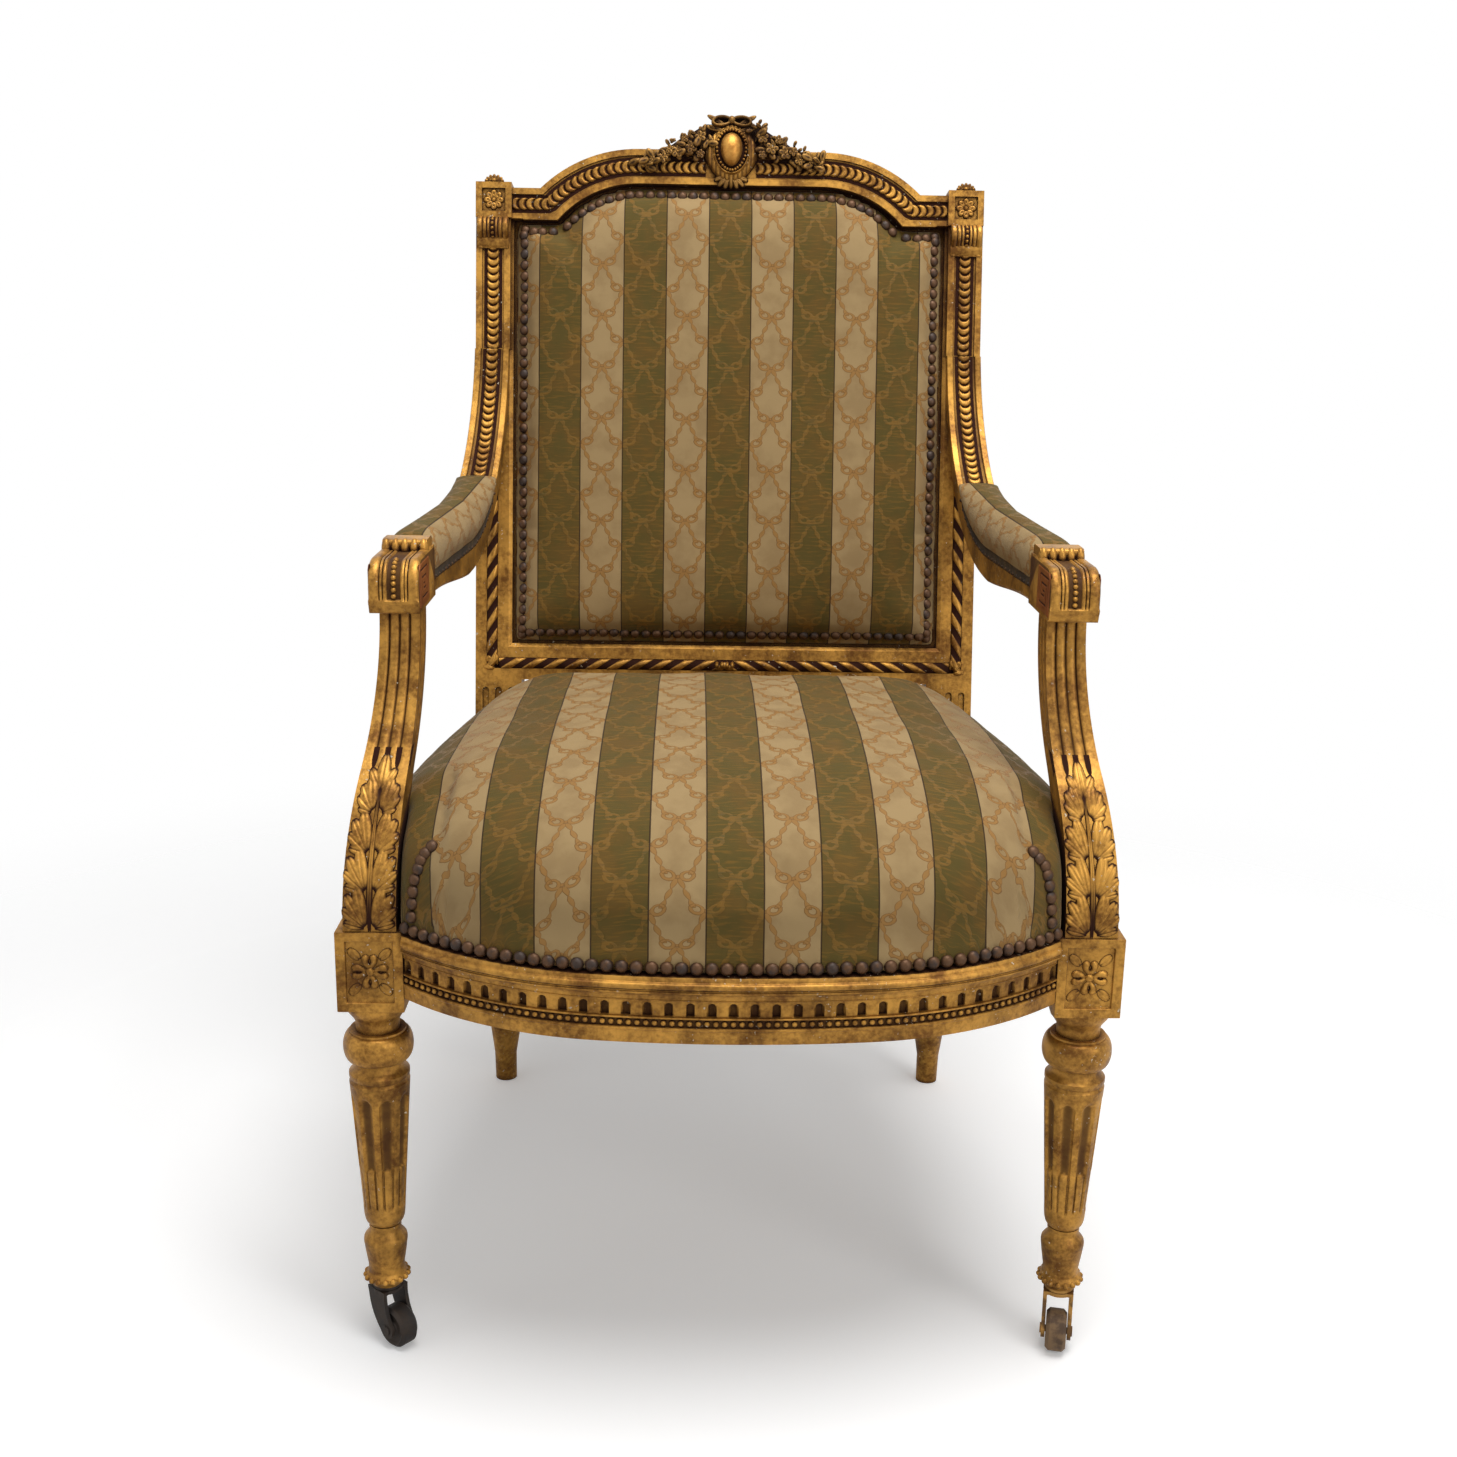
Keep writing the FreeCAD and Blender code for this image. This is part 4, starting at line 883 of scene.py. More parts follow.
@dataclass(frozen=True)
class PlainWood:
    """Bare or stained wood with its grain along one axis."""

    name: str = "plain_wood"
    light: Colour = (92, 60, 34)
    dark: Colour = (48, 27, 15)
    grain: tuple[float, float, float] = (1.0, 12.0, 12.0)

    def make(self) -> bpy.types.Material:
        """Returns: the material."""
        s = Shader(self.name)
        lines = s.noise(14.0, 6.0, self.grain, 0.6)
        pores = s.noise(180.0, 2.0, self.grain)
        tone = s.mix(s.step(lines, 0.35, 0.65), rgb(*self.dark), rgb(*self.light))
        s.set(Base_Color=s.mix(s.step(pores, 0.58, 0.72), tone, rgb(*self.dark)))
        s.set(Roughness=s.plus(0.5, s.times(lines, 0.25)))
        s.bump(s.plus(lines, pores), 0.0003, 0.5)
        return s.material


@dataclass(frozen=True)
class OldMetal:
    """Cast or turned metal with a patina in its corners and fine scratches."""

    name: str = "old_metal"
    bright: Colour = (140, 112, 78)
    dull: Colour = (72, 54, 36)
    metallic: float = 0.85
    rough: float = 0.36

    def make(self) -> bpy.types.Material:
        """Returns: the material."""
        s = Shader(self.name)
        cloud = s.noise(60.0, 5.0, rough=0.6)
        shut = s.less(1.0, s.step(s.openness(0.006), 0.35, 0.9))
        tarnish = s.plus(s.times(shut, 0.8), s.step(cloud, 0.45, 0.62),
                         clamp=True)
        s.set(Base_Color=s.mix(tarnish, rgb(*self.bright), rgb(*self.dull)))
        s.set(Metallic=s.less(self.metallic, s.times(tarnish, 0.3)))
        scratch = s.noise(700.0, 2.0, (1.0, 1.0, 9.0))
        s.set(Roughness=s.plus(self.rough, s.times(cloud, 0.25)))
        s.bump(s.plus(scratch, cloud), 0.0002, 0.4)
        return s.material


@dataclass(frozen=True)
class StripedSilk:
    """Woven stripes of green and cream with a trellis of ribbon bows.

    The cloth's own sideways and lengthwise places are its UV, in metres.
    """

    name: str = "striped_silk"
    stripe: float = 45.0
    repeat: float = 54.0
    green: Colour = (88, 74, 32)
    olive: Colour = (100, 76, 32)
    cream: Colour = (162, 136, 94)
    shade: Colour = (150, 124, 84)
    bow: Colour = (150, 106, 48)
    bow_edge: Colour = (104, 66, 26)
    gold: Colour = (128, 92, 34)
    line: Colour = (38, 22, 8)
    weft: float = 480.0
    warp: float = 380.0

    def cell(self, s: Shader, value: object, period: float, start: float) -> object:
        """Args: value: a place in mm. Returns: the place within its repeat, middle 0."""
        share = s.plus(s.over(value, period), 0.5 - start)
        return s.times(s.less(s.fraction(share), 0.5), period)

    def motif(self, s: Shader, across: object, along: object, fray: object,
              start: float) -> list[object]:
        """One lattice of bows.

        Args:
            across, along: places in mm. fray: noise for ragged edges.
            start: the lattice's shift, in repeats.

        Returns:
            How much motif and how much motif edge there is, 0 to 1.
        """
        x = s.size(self.cell(s, across, self.stripe, start))
        y = self.cell(s, along, self.repeat, start)
        lean = s.plus(y, s.times(x, -0.16))
        a = s.over(s.less(x, 7.6), 6.0)
        b = s.over(s.less(lean, 0.2), 4.3)
        round_ = s.root(s.plus(s.times(a, a), s.times(b, b)))
        ring = s.times(s.size(s.less(round_, 0.80)), 4.8)
        under = s.plus(ring, s.times(s.most(lean, 0.0), 0.10))
        drop = s.less(-0.5, y)
        path = s.times(drop, 0.50)
        leaf = s.size(s.sine(s.times(drop, 0.36)))
        side = s.size(s.less(s.less(x, path), 0.6))
        thick = s.plus(0.55, s.times(leaf, 1.95))
        ribbon = s.less(side, thick)
        reach = s.most(s.less(s.size(s.less(drop, 12.5)), 11.5), ribbon)
        knot = s.less(s.most(x, s.size(y)), 1.3)
        near = s.least(s.less(under, 1.35), s.least(reach, knot))
        near = s.plus(near, s.times(s.less(fray, 0.5), 1.1))
        body = s.less(1.0, s.step(near, -0.25, 0.25))
        edge = s.less(1.0, s.step(s.size(s.plus(near, 0.1)), 0.0, 0.45))
        return [body, edge]

    def make(self) -> bpy.types.Material:
        """Returns: the material."""
        s = Shader(self.name)
        cloth = s.add("ShaderNodeUVMap", uv_map="cloth").outputs[0]
        axes = s.add("ShaderNodeSeparateXYZ")
        s.feed(axes.inputs[0], cloth)
        across = s.times(axes.outputs[0], 1000.0)
        along = s.times(axes.outputs[1], 1000.0)
        s.place = cloth
        fray = s.noise(420.0, 3.0)
        first, first_edge = self.motif(s, across, along, fray, 0.0)
        second, second_edge = self.motif(s, across, along, fray, 0.5)
        bows = s.most(first, second)
        edges = s.most(first_edge, second_edge)
        lane = self.cell(s, across, self.stripe * 2, 0.0)
        off = s.less(s.size(lane), self.stripe / 2)
        creamy = s.step(off, -0.1, 0.1)
        cloud = s.noise(26.0, 4.0)
        slub = s.noise(150.0, 4.0, (0.35, 3.0, 1.0))
        cream = s.mix(s.step(cloud, 0.42, 0.62), rgb(*self.cream), rgb(*self.shade))
        cream = s.mix(s.times(bows, 0.78), cream, rgb(*self.bow))
        cream = s.mix(s.times(edges, 0.7), cream, rgb(*self.bow_edge))
        green = s.mix(s.step(cloud, 0.40, 0.66), rgb(*self.green), rgb(*self.olive))
        streak = s.times(s.step(slub, 0.50, 0.64), 0.45)
        ghost = s.times(s.most(bows, edges), s.step(slub, 0.34, 0.58))
        green = s.mix(s.most(streak, s.times(ghost, 0.8)), green, rgb(*self.gold))
        both = s.mix(creamy, green, cream)
        seam = s.less(1.0, s.step(s.size(off), 0.35, 0.8))
        weave = s.times(s.wave("Y", self.weft), s.wave("X", self.warp))
        dim = s.plus(0.93, s.times(weave, 0.12))
        shaded = s.mix(1.0, both, s.add_grey(dim), "MULTIPLY")
        s.set(Base_Color=s.mix(s.times(seam, 0.9), shaded, rgb(*self.line)))
        s.set(Roughness=s.less(0.78, s.times(bows, 0.22)))
        s.fixed(Sheen_Weight=0.06, Sheen_Roughness=0.45, Specular_IOR_Level=0.16)
        height = s.plus(weave, s.times(bows, 1.4))
        s.bump(s.less(height, s.times(seam, 1.5)), 0.00022, 0.7)
        return s.material


@dataclass(frozen=True)
class PlainCloth:
    """A plain woven cloth, webbing or gimp."""

    name: str = "plain_cloth"
    light: Colour = (112, 96, 66)
    dark: Colour = (70, 56, 36)
    threads: float = 900.0

    def make(self) -> bpy.types.Material:
        """Returns: the material."""
        s = Shader(self.name)
        first, second, third = (s.wave(way, self.threads / 3.14, 0.4) for way in "XYZ")
        mesh = s.most(first, s.most(second, third))
        tone = s.mix(s.step(s.noise(22.0, 4.0), 0.35, 0.65), rgb(*self.dark), rgb(*self.light))
        s.set(Base_Color=s.mix(s.step(mesh, 0.9, 0.6), tone, rgb(*self.dark)), Roughness=0.9)
        s.fixed(Sheen_Weight=0.05, Specular_IOR_Level=0.15)
        s.bump(mesh, 0.0003, 0.6)
        return s.material


@dataclass(frozen=True)
class Floor:
    """The pale floor: white to the eye, but taking the chair's shadow."""

    name: str = "pale_floor"
    near: float = 0.75
    far: float = 1.7
    lift: float = 0.22

    def make(self) -> bpy.types.Material:
        """Returns: the material."""
        s = Shader(self.name)
        away = s.add("ShaderNodeVectorMath", operation="LENGTH")
        s.feed(away.inputs[0], s.place)
        near = s.less(1.0, s.step(away.outputs["Value"], self.near, self.far))
        s.set(Roughness=0.9, Base_Color=(0.93, 0.93, 0.93, 1.0), Alpha=near)
        s.fixed(Specular_IOR_Level=0.1)
        seen = s.add("ShaderNodeLightPath").outputs["Is Camera Ray"]
        s.set(Emission_Color=rgb(255, 255, 255), Emission_Strength=s.times(seen, self.lift))
        return s.material


# Sub-assemblies


class Workshop:
    """Makes each finish once and fits finished pieces to the frame."""

    def __init__(self, nodes: dict[str, Piece]) -> None:
        """Args: nodes: the CAD nodes by name."""
        self.nodes = nodes
        self.made: dict[str, bpy.types.Material] = {}

    def finish(self, finish: object) -> bpy.types.Material:
        """Args: finish: one of the finishes. Returns: its material, made once."""
        if finish.name not in self.made:
            self.made[finish.name] = finish.make()
        return self.made[finish.name]

    def dress(self, node: str, finish: object) -> None:
        """Args: node: a CAD node that stays. finish: its new finish. Returns: nothing."""
        material = self.finish(finish)
        for slot in self.nodes[node].material_slots:
            slot.material = material

    def fit(self, piece: Piece, finish: object, replaces: Sequence[str] = ()) -> Piece:
        """Gives a piece its finish and fastens it to the chair.

        Args:
            piece: the piece. finish: its finish. replaces: the CAD nodes it stands for.

        Returns:
            The piece.
        """
        piece.data.materials.clear()
        piece.data.materials.append(self.finish(finish))
        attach(piece, "chair")
        if replaces:
            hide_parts(*replaces)
        log.info("%s: %d faces", piece.name, len(piece.data.polygons))
        return piece

    def pair(self, right: Piece, stem: str, finish: object, node: str = "") -> list[Piece]:
        """Fits a right-hand piece and its left-hand copy.

        Args:
            right: the piece. stem: how both names start. finish: their finish.
            node: how the names of the CAD nodes start that they stand for, if any.

        Returns:
            Both pieces, left first.
        """
        left = mirrored(right, f"{stem}_left")
        right.name = f"{stem}_right"
        right.data.name = right.name
        return [self.fit(piece, finish, [f"{node}_{side.tag}"] if node else [])
                for side, piece in zip(Side, (left, right))]


@dataclass(frozen=True)
class SeatRails:
    """The moulded front and side rails: plain foot, pearls, pierced frieze, cove and lip."""

    thickness: float = 34.0
    low: float = 340.0
    pitch: float = 17.0
    opening: float = 7.2
    pearl_pitch: float = 6.85
    pearl_radius: float = 2.7

    def outer_line(self) -> Array:
        """Returns: the moulding's points from the bottom up, as offset and height."""
        points = [(0, 340), (0.4, 341), (0.4, 350.5), (0.9, 351.2), (0.9, 352.8), (0.2, 353.4),
                  (-1.6, 353.8), (-1.6, 360.4), (0.6, 360.8), (1.0, 361.4), (0.4, 362.2)]
        points += [(-1.3, z) for z in np.linspace(362.6, 375.4, 22)]
        points += [(-0.2, 375.9), (0.2, 376.6)]
        for k in range(9):
            turn = math.pi / 2 * k / 8
            points.append((7.6 - 8.4 * math.cos(turn) + 0.6, 377.2 + 8.2 * math.sin(turn)))
        points += [(8.4, 386.6), (7.4, 387.2), (7.4, 388.0)]
        for k in range(9):
            turn = math.pi * k / 8
            points.append((6.6 + 2.4 * math.sin(turn), 391.0 - 2.8 * math.cos(turn)))
        points += [(5.6, 394.4), (5.2, 396.6), (4.2, 397.8), (3.0, 398.0)]
        return np.array(points)

    def rail(self, name: str, path: Path, clamp: Callable[[Array], Array],
             hand: float) -> Piece:
        """One rail, swept along its face.

        Args:
            name: its name. path: its face in plan. clamp: trims points at its joints.
            hand: 1, or -1 for a mirrored plan.

        Returns:
            The rail.
        """
        outer = self.outer_line()
        inner = np.array([(-self.thickness, 398), (-self.thickness, 340)])
        line = np.vstack((outer, inner, outer[:1]))
        count = len(line) - 1
        rows = int(path.length / 1.15)

        def surface(u: Array, v: Array) -> Mapped:
            """Args: u, v: 0 to 1. Returns: points in mm and hollows."""
            offset, z = on_line(line, u * count)
            along = v * path.length
            from_middle = np.abs(np.mod(along - path.length / 2 + self.pitch / 2, self.pitch)
                                 - self.pitch / 2)
            half = self.opening / 2 * (1 - 0.10 * (z - 362) / 12)
            head = 374.0 - half
            over = np.maximum(z - head, 0.0)
            away = np.hypot(from_middle, over) - half
            frieze = (u * count > 10.5) & (u * count < 32.5)
            sunk = np.where(frieze, 1 - ramp(away, -1.1, 0.1), 0.0)
            face = np.where((z < 362.9), 0.0, sunk)
            points, normals = path.at(along)
            moved = offset - 3.2 * face
            plan = points + normals * moved[:, None]
            # The frieze's sunk openings and the cove behind the pearls are marked hollow, which the
            # gilt paints dark as shade and dirt.
            hollow = face * 0.62
            hollow = np.maximum(hollow, np.where((z > 353.7) & (z < 360.5), 0.6, 0))
            return clamp(stack(plan[:, 0] * hand, plan[:, 1], z)), hollow

        return loft(name, count, rows, surface, 35.0)

    def pearls(self, name: str, path: Path, hand: float) -> Piece:
        """Args: name: its name. path: the face. hand: 1 or -1. Returns: the row of pearls."""
        count = int(path.length / self.pearl_pitch)
        along = (np.arange(count) + 0.5) / count * path.length
        points, normals = path.at(along)
        places = []
        for point, normal in zip(points, normals):
            foot = point - normal * 1.7
            places.append(facing((foot[0] * hand, foot[1], 357.1),
                                 (normal[0] * hand, normal[1], 0)))
        return stamped(bead(self.pearl_radius, 3.2, 8, 3), places, name)

    def build(self, shop: Workshop, gilt: GiltWood) -> None:
        """Args: shop: fits the pieces. gilt: the finish. Returns: nothing."""
        def between_blocks(points: Array) -> Array:
            """Args: points: mm. Returns: them, none beyond the blocks."""
            points[:, 0] = np.clip(points[:, 0], -RAIL_HALF, RAIL_HALF)
            return points

        def between_posts(points: Array) -> Array:
            """Args: points: mm. Returns: them, none beyond block and post."""
            points[:, 1] = np.clip(points[:, 1], BLOCK_HALF, POST_FRONT)
            return points

        front = self.rail("front_rail_carved", front_path(14.0), between_blocks, 1.0)
        shop.fit(front, gilt, ["front_rail"])
        shop.fit(self.pearls("front_rail_pearls", front_path(), 1.0), gilt)
        for side in Side:
            rail = self.rail(f"side_rail_carved_{side.tag}", side_path(), between_posts, side.value)
            shop.fit(rail, gilt, [f"side_rail_{side.tag}"])
            row = self.pearls(f"side_rail_pearls_{side.tag}", side_path(), side.value)
            shop.fit(row, gilt)
        shop.dress("rear_rail", PlainWood())


def swelled(piece: Piece, cap: Array, voxel: float, frames: int) -> None:
    """Lets a stuffed shape fill out as cloth under pressure, then keeps the result.

    Args:
        piece: the cushion, slightly small. cap: gives each point's greatest move in metres
        from an (n, 3) array in metres. voxel: remeshing size in metres. frames: how long.

    Returns:
        Nothing.
    """
    pick(piece)
    applied(piece, "REMESH", mode="VOXEL", voxel_size=voxel)
    start = read_points(piece)
    cloth = piece.modifiers.new("cloth", "CLOTH")
    cloth.settings.use_pressure = True
    cloth.settings.uniform_pressure_force = 4.0
    cloth.settings.effector_weights.gravity = 0.0
    scene = bpy.context.scene
    for frame in range(1, frames + 1):
        scene.frame_set(frame)
    bpy.ops.object.modifier_apply(modifier=cloth.name)
    scene.frame_set(1)
    moved = read_points(piece) - start
    length = np.linalg.norm(moved, axis=1)
    most = cap(start)
    share = np.where(length > 1e-9, np.minimum(most / np.maximum(length, 1e-9), 1.0), 0.0)
    write_points(piece, start + moved * share[:, None])


def lay_cloth(piece: Piece, place: Callable[[Array, Array], Array]) -> None:
    """Smooths a stuffed piece and lays the cloth on it, as the UV map named cloth.

    Args:
        piece: the mesh. place: gives (n, 2) metres on the cloth from points and normals.

    Returns:
        Nothing.
    """
    pick(piece)
    applied(piece, "SUBSURF", levels=1)
    mesh = piece.data
    normals = np.empty(len(mesh.vertices) * 3)
    mesh.vertices.foreach_get("normal", normals)
    spots = place(read_points(piece), normals.reshape(-1, 3))
    layer = mesh.uv_layers.new(name="cloth")
    layer.data.foreach_set("uv", spots[corners_of(mesh)].astype(np.float32).ravel())
    bpy.ops.object.shade_smooth()


def star(inside: Callable[[Array, Array], Array], centre: tuple[float, float],
         angle: Array) -> Array:
    """How far a star-shaped outline lies from its centre.

    Args:
        inside: True within the outline, for x and y. centre: a point within it.
        angle: the directions, in radians.

    Returns:
        The distance in each direction.
    """
    low, high = np.zeros(len(angle)), np.full(len(angle), 520.0)
    for _ in range(26):
        mid = (low + high) / 2
        within = inside(centre[0] + mid * np.cos(angle), centre[1] + mid * np.sin(angle))
        low, high = np.where(within, mid, low), np.where(within, high, mid)
    return low


@dataclass(frozen=True)
class Seat:
    """The domed, sprung seat, close nailed to the rails."""

    centre: tuple[float, float] = (0.0, 200.0)
    crown: float = 140.0
    shrink: float = 4.0
    nail_pitch: float = 11.6

    def inside(self, x: Array, y: Array, inset: Array, z: Array) -> Array:
        """Args: places, insets and heights. Returns: whether each lies in the seat's plan."""
        ax = np.abs(x)
        side = np.hypot(ax - SIDE_X, y - SIDE_Y) < SIDE_RADIUS - inset
        wedge = ax < (FRONT_Y - y) * math.tan(FRONT_TURN)
        middle = np.hypot(ax, y - FRONT_Y) < FRONT_RADIUS - inset
        end = (np.hypot(ax - END_X, y - END_Y) < END_RADIUS - inset) | (y > END_Y)
        front = np.where(wedge & (y < END_Y), middle, end)
        back = y < 490.0 - inset
        share = np.clip((z - SEAT_TOP) / 251.0, 0, 1)
        behind = 22.0 + s_offset(share, 251.0, 94.0) + 1.4
        notch = (ax > 274.0) & (y < behind)
        post = (ax > 220.0) & (y > 453.6)
        return side & front & back & ~notch & ~post

    def profile(self) -> Array:
        """Returns: insets and heights from the foot to the crown, finely divided."""
        stations = np.array([(0.6, 0.0), (-1.5, 0.06), (-3.6, 0.2), (-1.5, 0.33), (4.6, 0.47),
                             (13.5, 0.56), (29, 0.655), (48, 0.735), (74, 0.81), (108, 0.88),
                             (146, 0.932), (185, 0.97)])
        steps = np.linspace(0, len(stations) - 1, 46)
        inset, share = on_line(stations, steps)
        for _ in range(2):
            for row in (inset, share):
                row[1:-1] = np.convolve(row, (0.25, 0.5, 0.25), "valid")
        return np.stack((inset, SEAT_TOP + share * self.crown), -1)

    def shape(self) -> Piece:
        """Returns: the seat before it fills out."""
        line = self.profile()
        rings = 60

        def surface(u: Array, v: Array) -> Mapped:
            """Args: u, v: 0 to 1. Returns: points in mm and hollows."""
            step = v * rings
            inset, z = on_line(line, step)
            inward = np.clip((step - 45) / (rings - 45), 0, 1)
            small = self.shrink * ramp(z, 402.0, 430.0)
            angle = u * 2 * math.pi
            reach = star(lambda x, y: self.inside(x, y, inset + small, z), self.centre, angle)
            reach = reach * (1 - inward)
            z = z + (SEAT_TOP + self.crown - line[-1, 1]) * np.sin(inward * math.pi / 2) - small
            x = self.centre[0] + reach * np.cos(angle)
            y = self.centre[1] + reach * np.sin(angle)
            return stack(x, y, z), np.zeros(len(u))

        return loft("seat_upholstery", 420, rings, surface)

    def arc(self, height: Array) -> Array:
        """Args: height: z in mm. Returns: cloth used between that height and the crown, less
        the plan distance it covers."""
        line = self.profile()[::-1]
        plan = np.abs(np.diff(line[:, 0]))
        step = np.hypot(plan, np.diff(line[:, 1]))
        spare = np.concatenate(((0,), np.cumsum(step - plan)))
        return np.interp(-height, -line[:, 1], spare)

    def build(self, shop: Workshop, silk: StripedSilk) -> Piece:
        """Args: shop: fits the pieces. silk: the cover. Returns: the seat."""
        seat = self.shape()

        def cap(points: Array) -> Array:
            """Args: points: metres. Returns: how far each may move, in metres."""
            x, y, z = drawn(points).T
            free = ramp(z, 404.0, 440.0)
            beside = np.minimum(np.hypot(np.maximum(np.abs(x) - 268, 0), np.maximum(y - 30, 0)), 60)
            near_support = np.where((np.abs(x) > 235) & (y < 120), ramp(beside, 4, 40), 1.0)
            near_post = 1 - ramp(y, 410.0, 450.0) * (np.abs(x) > 190)
            return 0.009 * free * near_support * near_post

        swelled(seat, cap, 0.0055, 14)
        points = read_points(seat)
        mm = drawn(points)
        x, y, z = mm.T
        around = np.arctan2(y - 200, x) * 300
        low = np.exp(-((z - 408) / 9) ** 2)
        pull = low * np.cos(around * 2 * math.pi / self.nail_pitch) * 0.5
        soft = wave_noise(mm, 95.0, 7) * 1.1 * ramp(z, 410, 450) + wave_noise(mm, 28.0, 8) * 0.18
        outward = stack(x, y - 200, 0 * x)
        outward /= np.linalg.norm(outward, axis=1)[:, None] + 1e-9
        near = ((np.abs(x) > 255) & (y < 125)) | ((np.abs(x) > 205) & (y > 435)) | (z < 399)
        mm = mm + np.where(near, 0.0, 1.0)[:, None] * outward * (pull + soft * 0.5)[:, None]
        mm[:, 2] += np.where(near, 0.0, soft * ramp(z, 500, 530))
        write_points(seat, world(mm))

        def place(points: Array, normals: Array) -> Array:
            """Args: points, normals: in metres. Returns: places on the cloth, in metres."""
            px, py, pz = drawn(points).T
            flat = np.hypot(normals[:, 0], normals[:, 1]) + 1e-6
            sway = self.arc(pz)
            ahead = normals[:, 1] / flat
            aside = normals[:, 0] / flat
            v = py + sway * ahead * np.abs(ahead)
            u = px + sway * 0.55 * aside * np.abs(aside) ** 3
            return np.stack((u, v), -1) * 0.001

        lay_cloth(seat, place)
        shop.fit(seat, silk, ["seat_cover", "seat_stuffing"])
        return seat


@dataclass(frozen=True)
class Back:
    """The padded back inside its frame."""

    depth: float = 6.5
    swell: float = 32.5

    def inside(self, x: Array, rise: Array, inset: Array) -> Array:
        """Args: places in the back's drawing. Returns: whether each lies in the padding."""
        ax = np.abs(x)
        body = (ax < BACK_HALF - inset) & (rise > BACK_LOW + inset) & (rise < BACK_EAR - inset)
        arch = np.hypot(ax - ARCH_X, rise - ARCH_RISE) < ARCH_RADIUS - inset
        flat = (ax <= ARCH_X) & (rise < BACK_TOP - inset)
        return body | ((arch | flat) & (rise > ARCH_RISE))

    def shape(self) -> Piece:
        """Returns: the back's padding before it fills out."""
        stations = np.array([(0.0, 1.2), (0.15, 0.8), (0.23, 1.6), (0.27, 5.5), (0.30, 10.5),
                             (0.42, 12.5), (0.56, 16.0), (0.68, 22.0), (0.79, 31.0),
                             (0.88, 43.0), (0.95, 58.0), (1.0, 78.0)])
        share, inset = on_line(stations, np.linspace(0, len(stations) - 1, 34))
        rings = 48

        def surface(u: Array, v: Array) -> Mapped:
            """Args: u, v: 0 to 1. Returns: points in mm and hollows."""
            step = v * rings
            up = np.interp(step, np.arange(34), share)
            drawn = np.interp(step, np.arange(34), inset)
            inward = np.clip((step - 33) / (rings - 33), 0, 1)
            angle = u * 2 * math.pi
            reach = star(lambda x, y: self.inside(x, y, drawn + 1.0), BACK_MIDDLE, angle)
            reach = reach * (1 - inward)
            depth = self.depth - self.swell * up - 3.0 * np.sin(inward * math.pi / 2) + 3.0
            return leaned(reach * np.cos(angle), depth, 285.0 + reach * np.sin(angle)), 0 * u

        return loft("back_upholstery", 400, rings, surface)

    def build(self, shop: Workshop, silk: StripedSilk) -> Piece:
        """Args: shop: fits the pieces. silk: the cover. Returns: the back's padding."""
        back = self.shape()
        lean = np.array((0.0, math.cos(RAKE), -math.sin(RAKE)))
        climb = np.array((0.0, math.sin(RAKE), math.cos(RAKE)))
        origin = np.array((0.0, BACK_FRONT, BACK_BOTTOM))

        def drawing(points: Array) -> Array:
            """Args: points: metres. Returns: them as across, depth and rise, in mm."""
            mm = drawn(points) - origin
            return np.stack((mm[:, 0], mm @ lean, mm @ climb), -1)

        def cap(points: Array) -> Array:
            """Args: points: metres. Returns: how far each may move, in metres."""
            depth = drawing(points)[:, 1]
            return 0.006 * ramp(-depth, -2.0, 8.0)

        swelled(back, cap, 0.0055, 14)
        flat = drawing(read_points(back))
        mm = stack(*flat.T)
        soft = wave_noise(mm, 110.0, 3) * 1.2 + wave_noise(mm, 30.0, 4) * 0.2
        front = ramp(-flat[:, 1], -1.0, 14.0)
        flat[:, 1] -= soft * front
        write_points(back, world(leaned(flat[:, 0], flat[:, 1], flat[:, 2])))

        def place(points: Array, normals: Array) -> Array:
            """Args: points, normals: in metres. Returns: places on the cloth, in metres."""
            spot = drawing(points)
            return np.stack((spot[:, 0], spot[:, 2] - 12.0), -1) * 0.001

        lay_cloth(back, place)
        shop.fit(back, silk, ["back_cover", "back_stuffing"])
        return back


def strip(name: str, path: Path, half: float, base: Callable[..., Array],
          shape: Callable[[Array, Array], Mapped],
          outward: Sequence[float], fine: float = 0.8) -> Piece:
    """A carved band that follows a path on the back or another flat drawing.

    Args:
        name: its name. path: its middle line. half: half its width in mm.
        base: places (x, rise, height) arrays in the chair. shape: gives heights and hollows
        for places across and along the band. outward: the way it looks. fine: face size in mm.

    Returns:
        The band.
    """
    def surface(u: Array, v: Array) -> Mapped:
        """Args: u, v: 0 to 1. Returns: points in mm and hollows."""
        across, along = (u * 2 - 1) * half, v * path.length
        height, hollow = shape(across, along)
        points, normals = path.at(along)
        spot = points + normals * across[:, None]
        return base(spot[:, 0], spot[:, 1], height), hollow

    return relief(name, int(2 * half / fine), int(path.length / fine), surface, outward)


def scales(across: Array, along: Array) -> Mapped:
    """Crescent scales, one behind the other. Args: places in mm. Returns: heights, hollows."""
    pitch = 8.1
    height = np.zeros(len(across))
    for k in (0, 1, 2):
        ahead = along - (np.floor(along / pitch) + k - 0.5) * pitch
        rim = 6.5 - np.hypot(across, ahead)
        bite = np.hypot(across * 0.94, ahead - 4.6) - 4.75
        edge = np.minimum(rim, bite)
        crest = np.clip(edge / 2.3, 0.0, 1.0)
        height = np.maximum(height, 2.7 * np.sqrt(1 - (1 - crest) ** 2) * (edge > 0))
    border = ramp(9.6 - np.abs(across), 0.0, 1.2)
    height = height * border + 0.25 * (border > 0) - 0.3 * (border <= 0)
    return height, 1 - ramp(height, 0.4, 1.5)


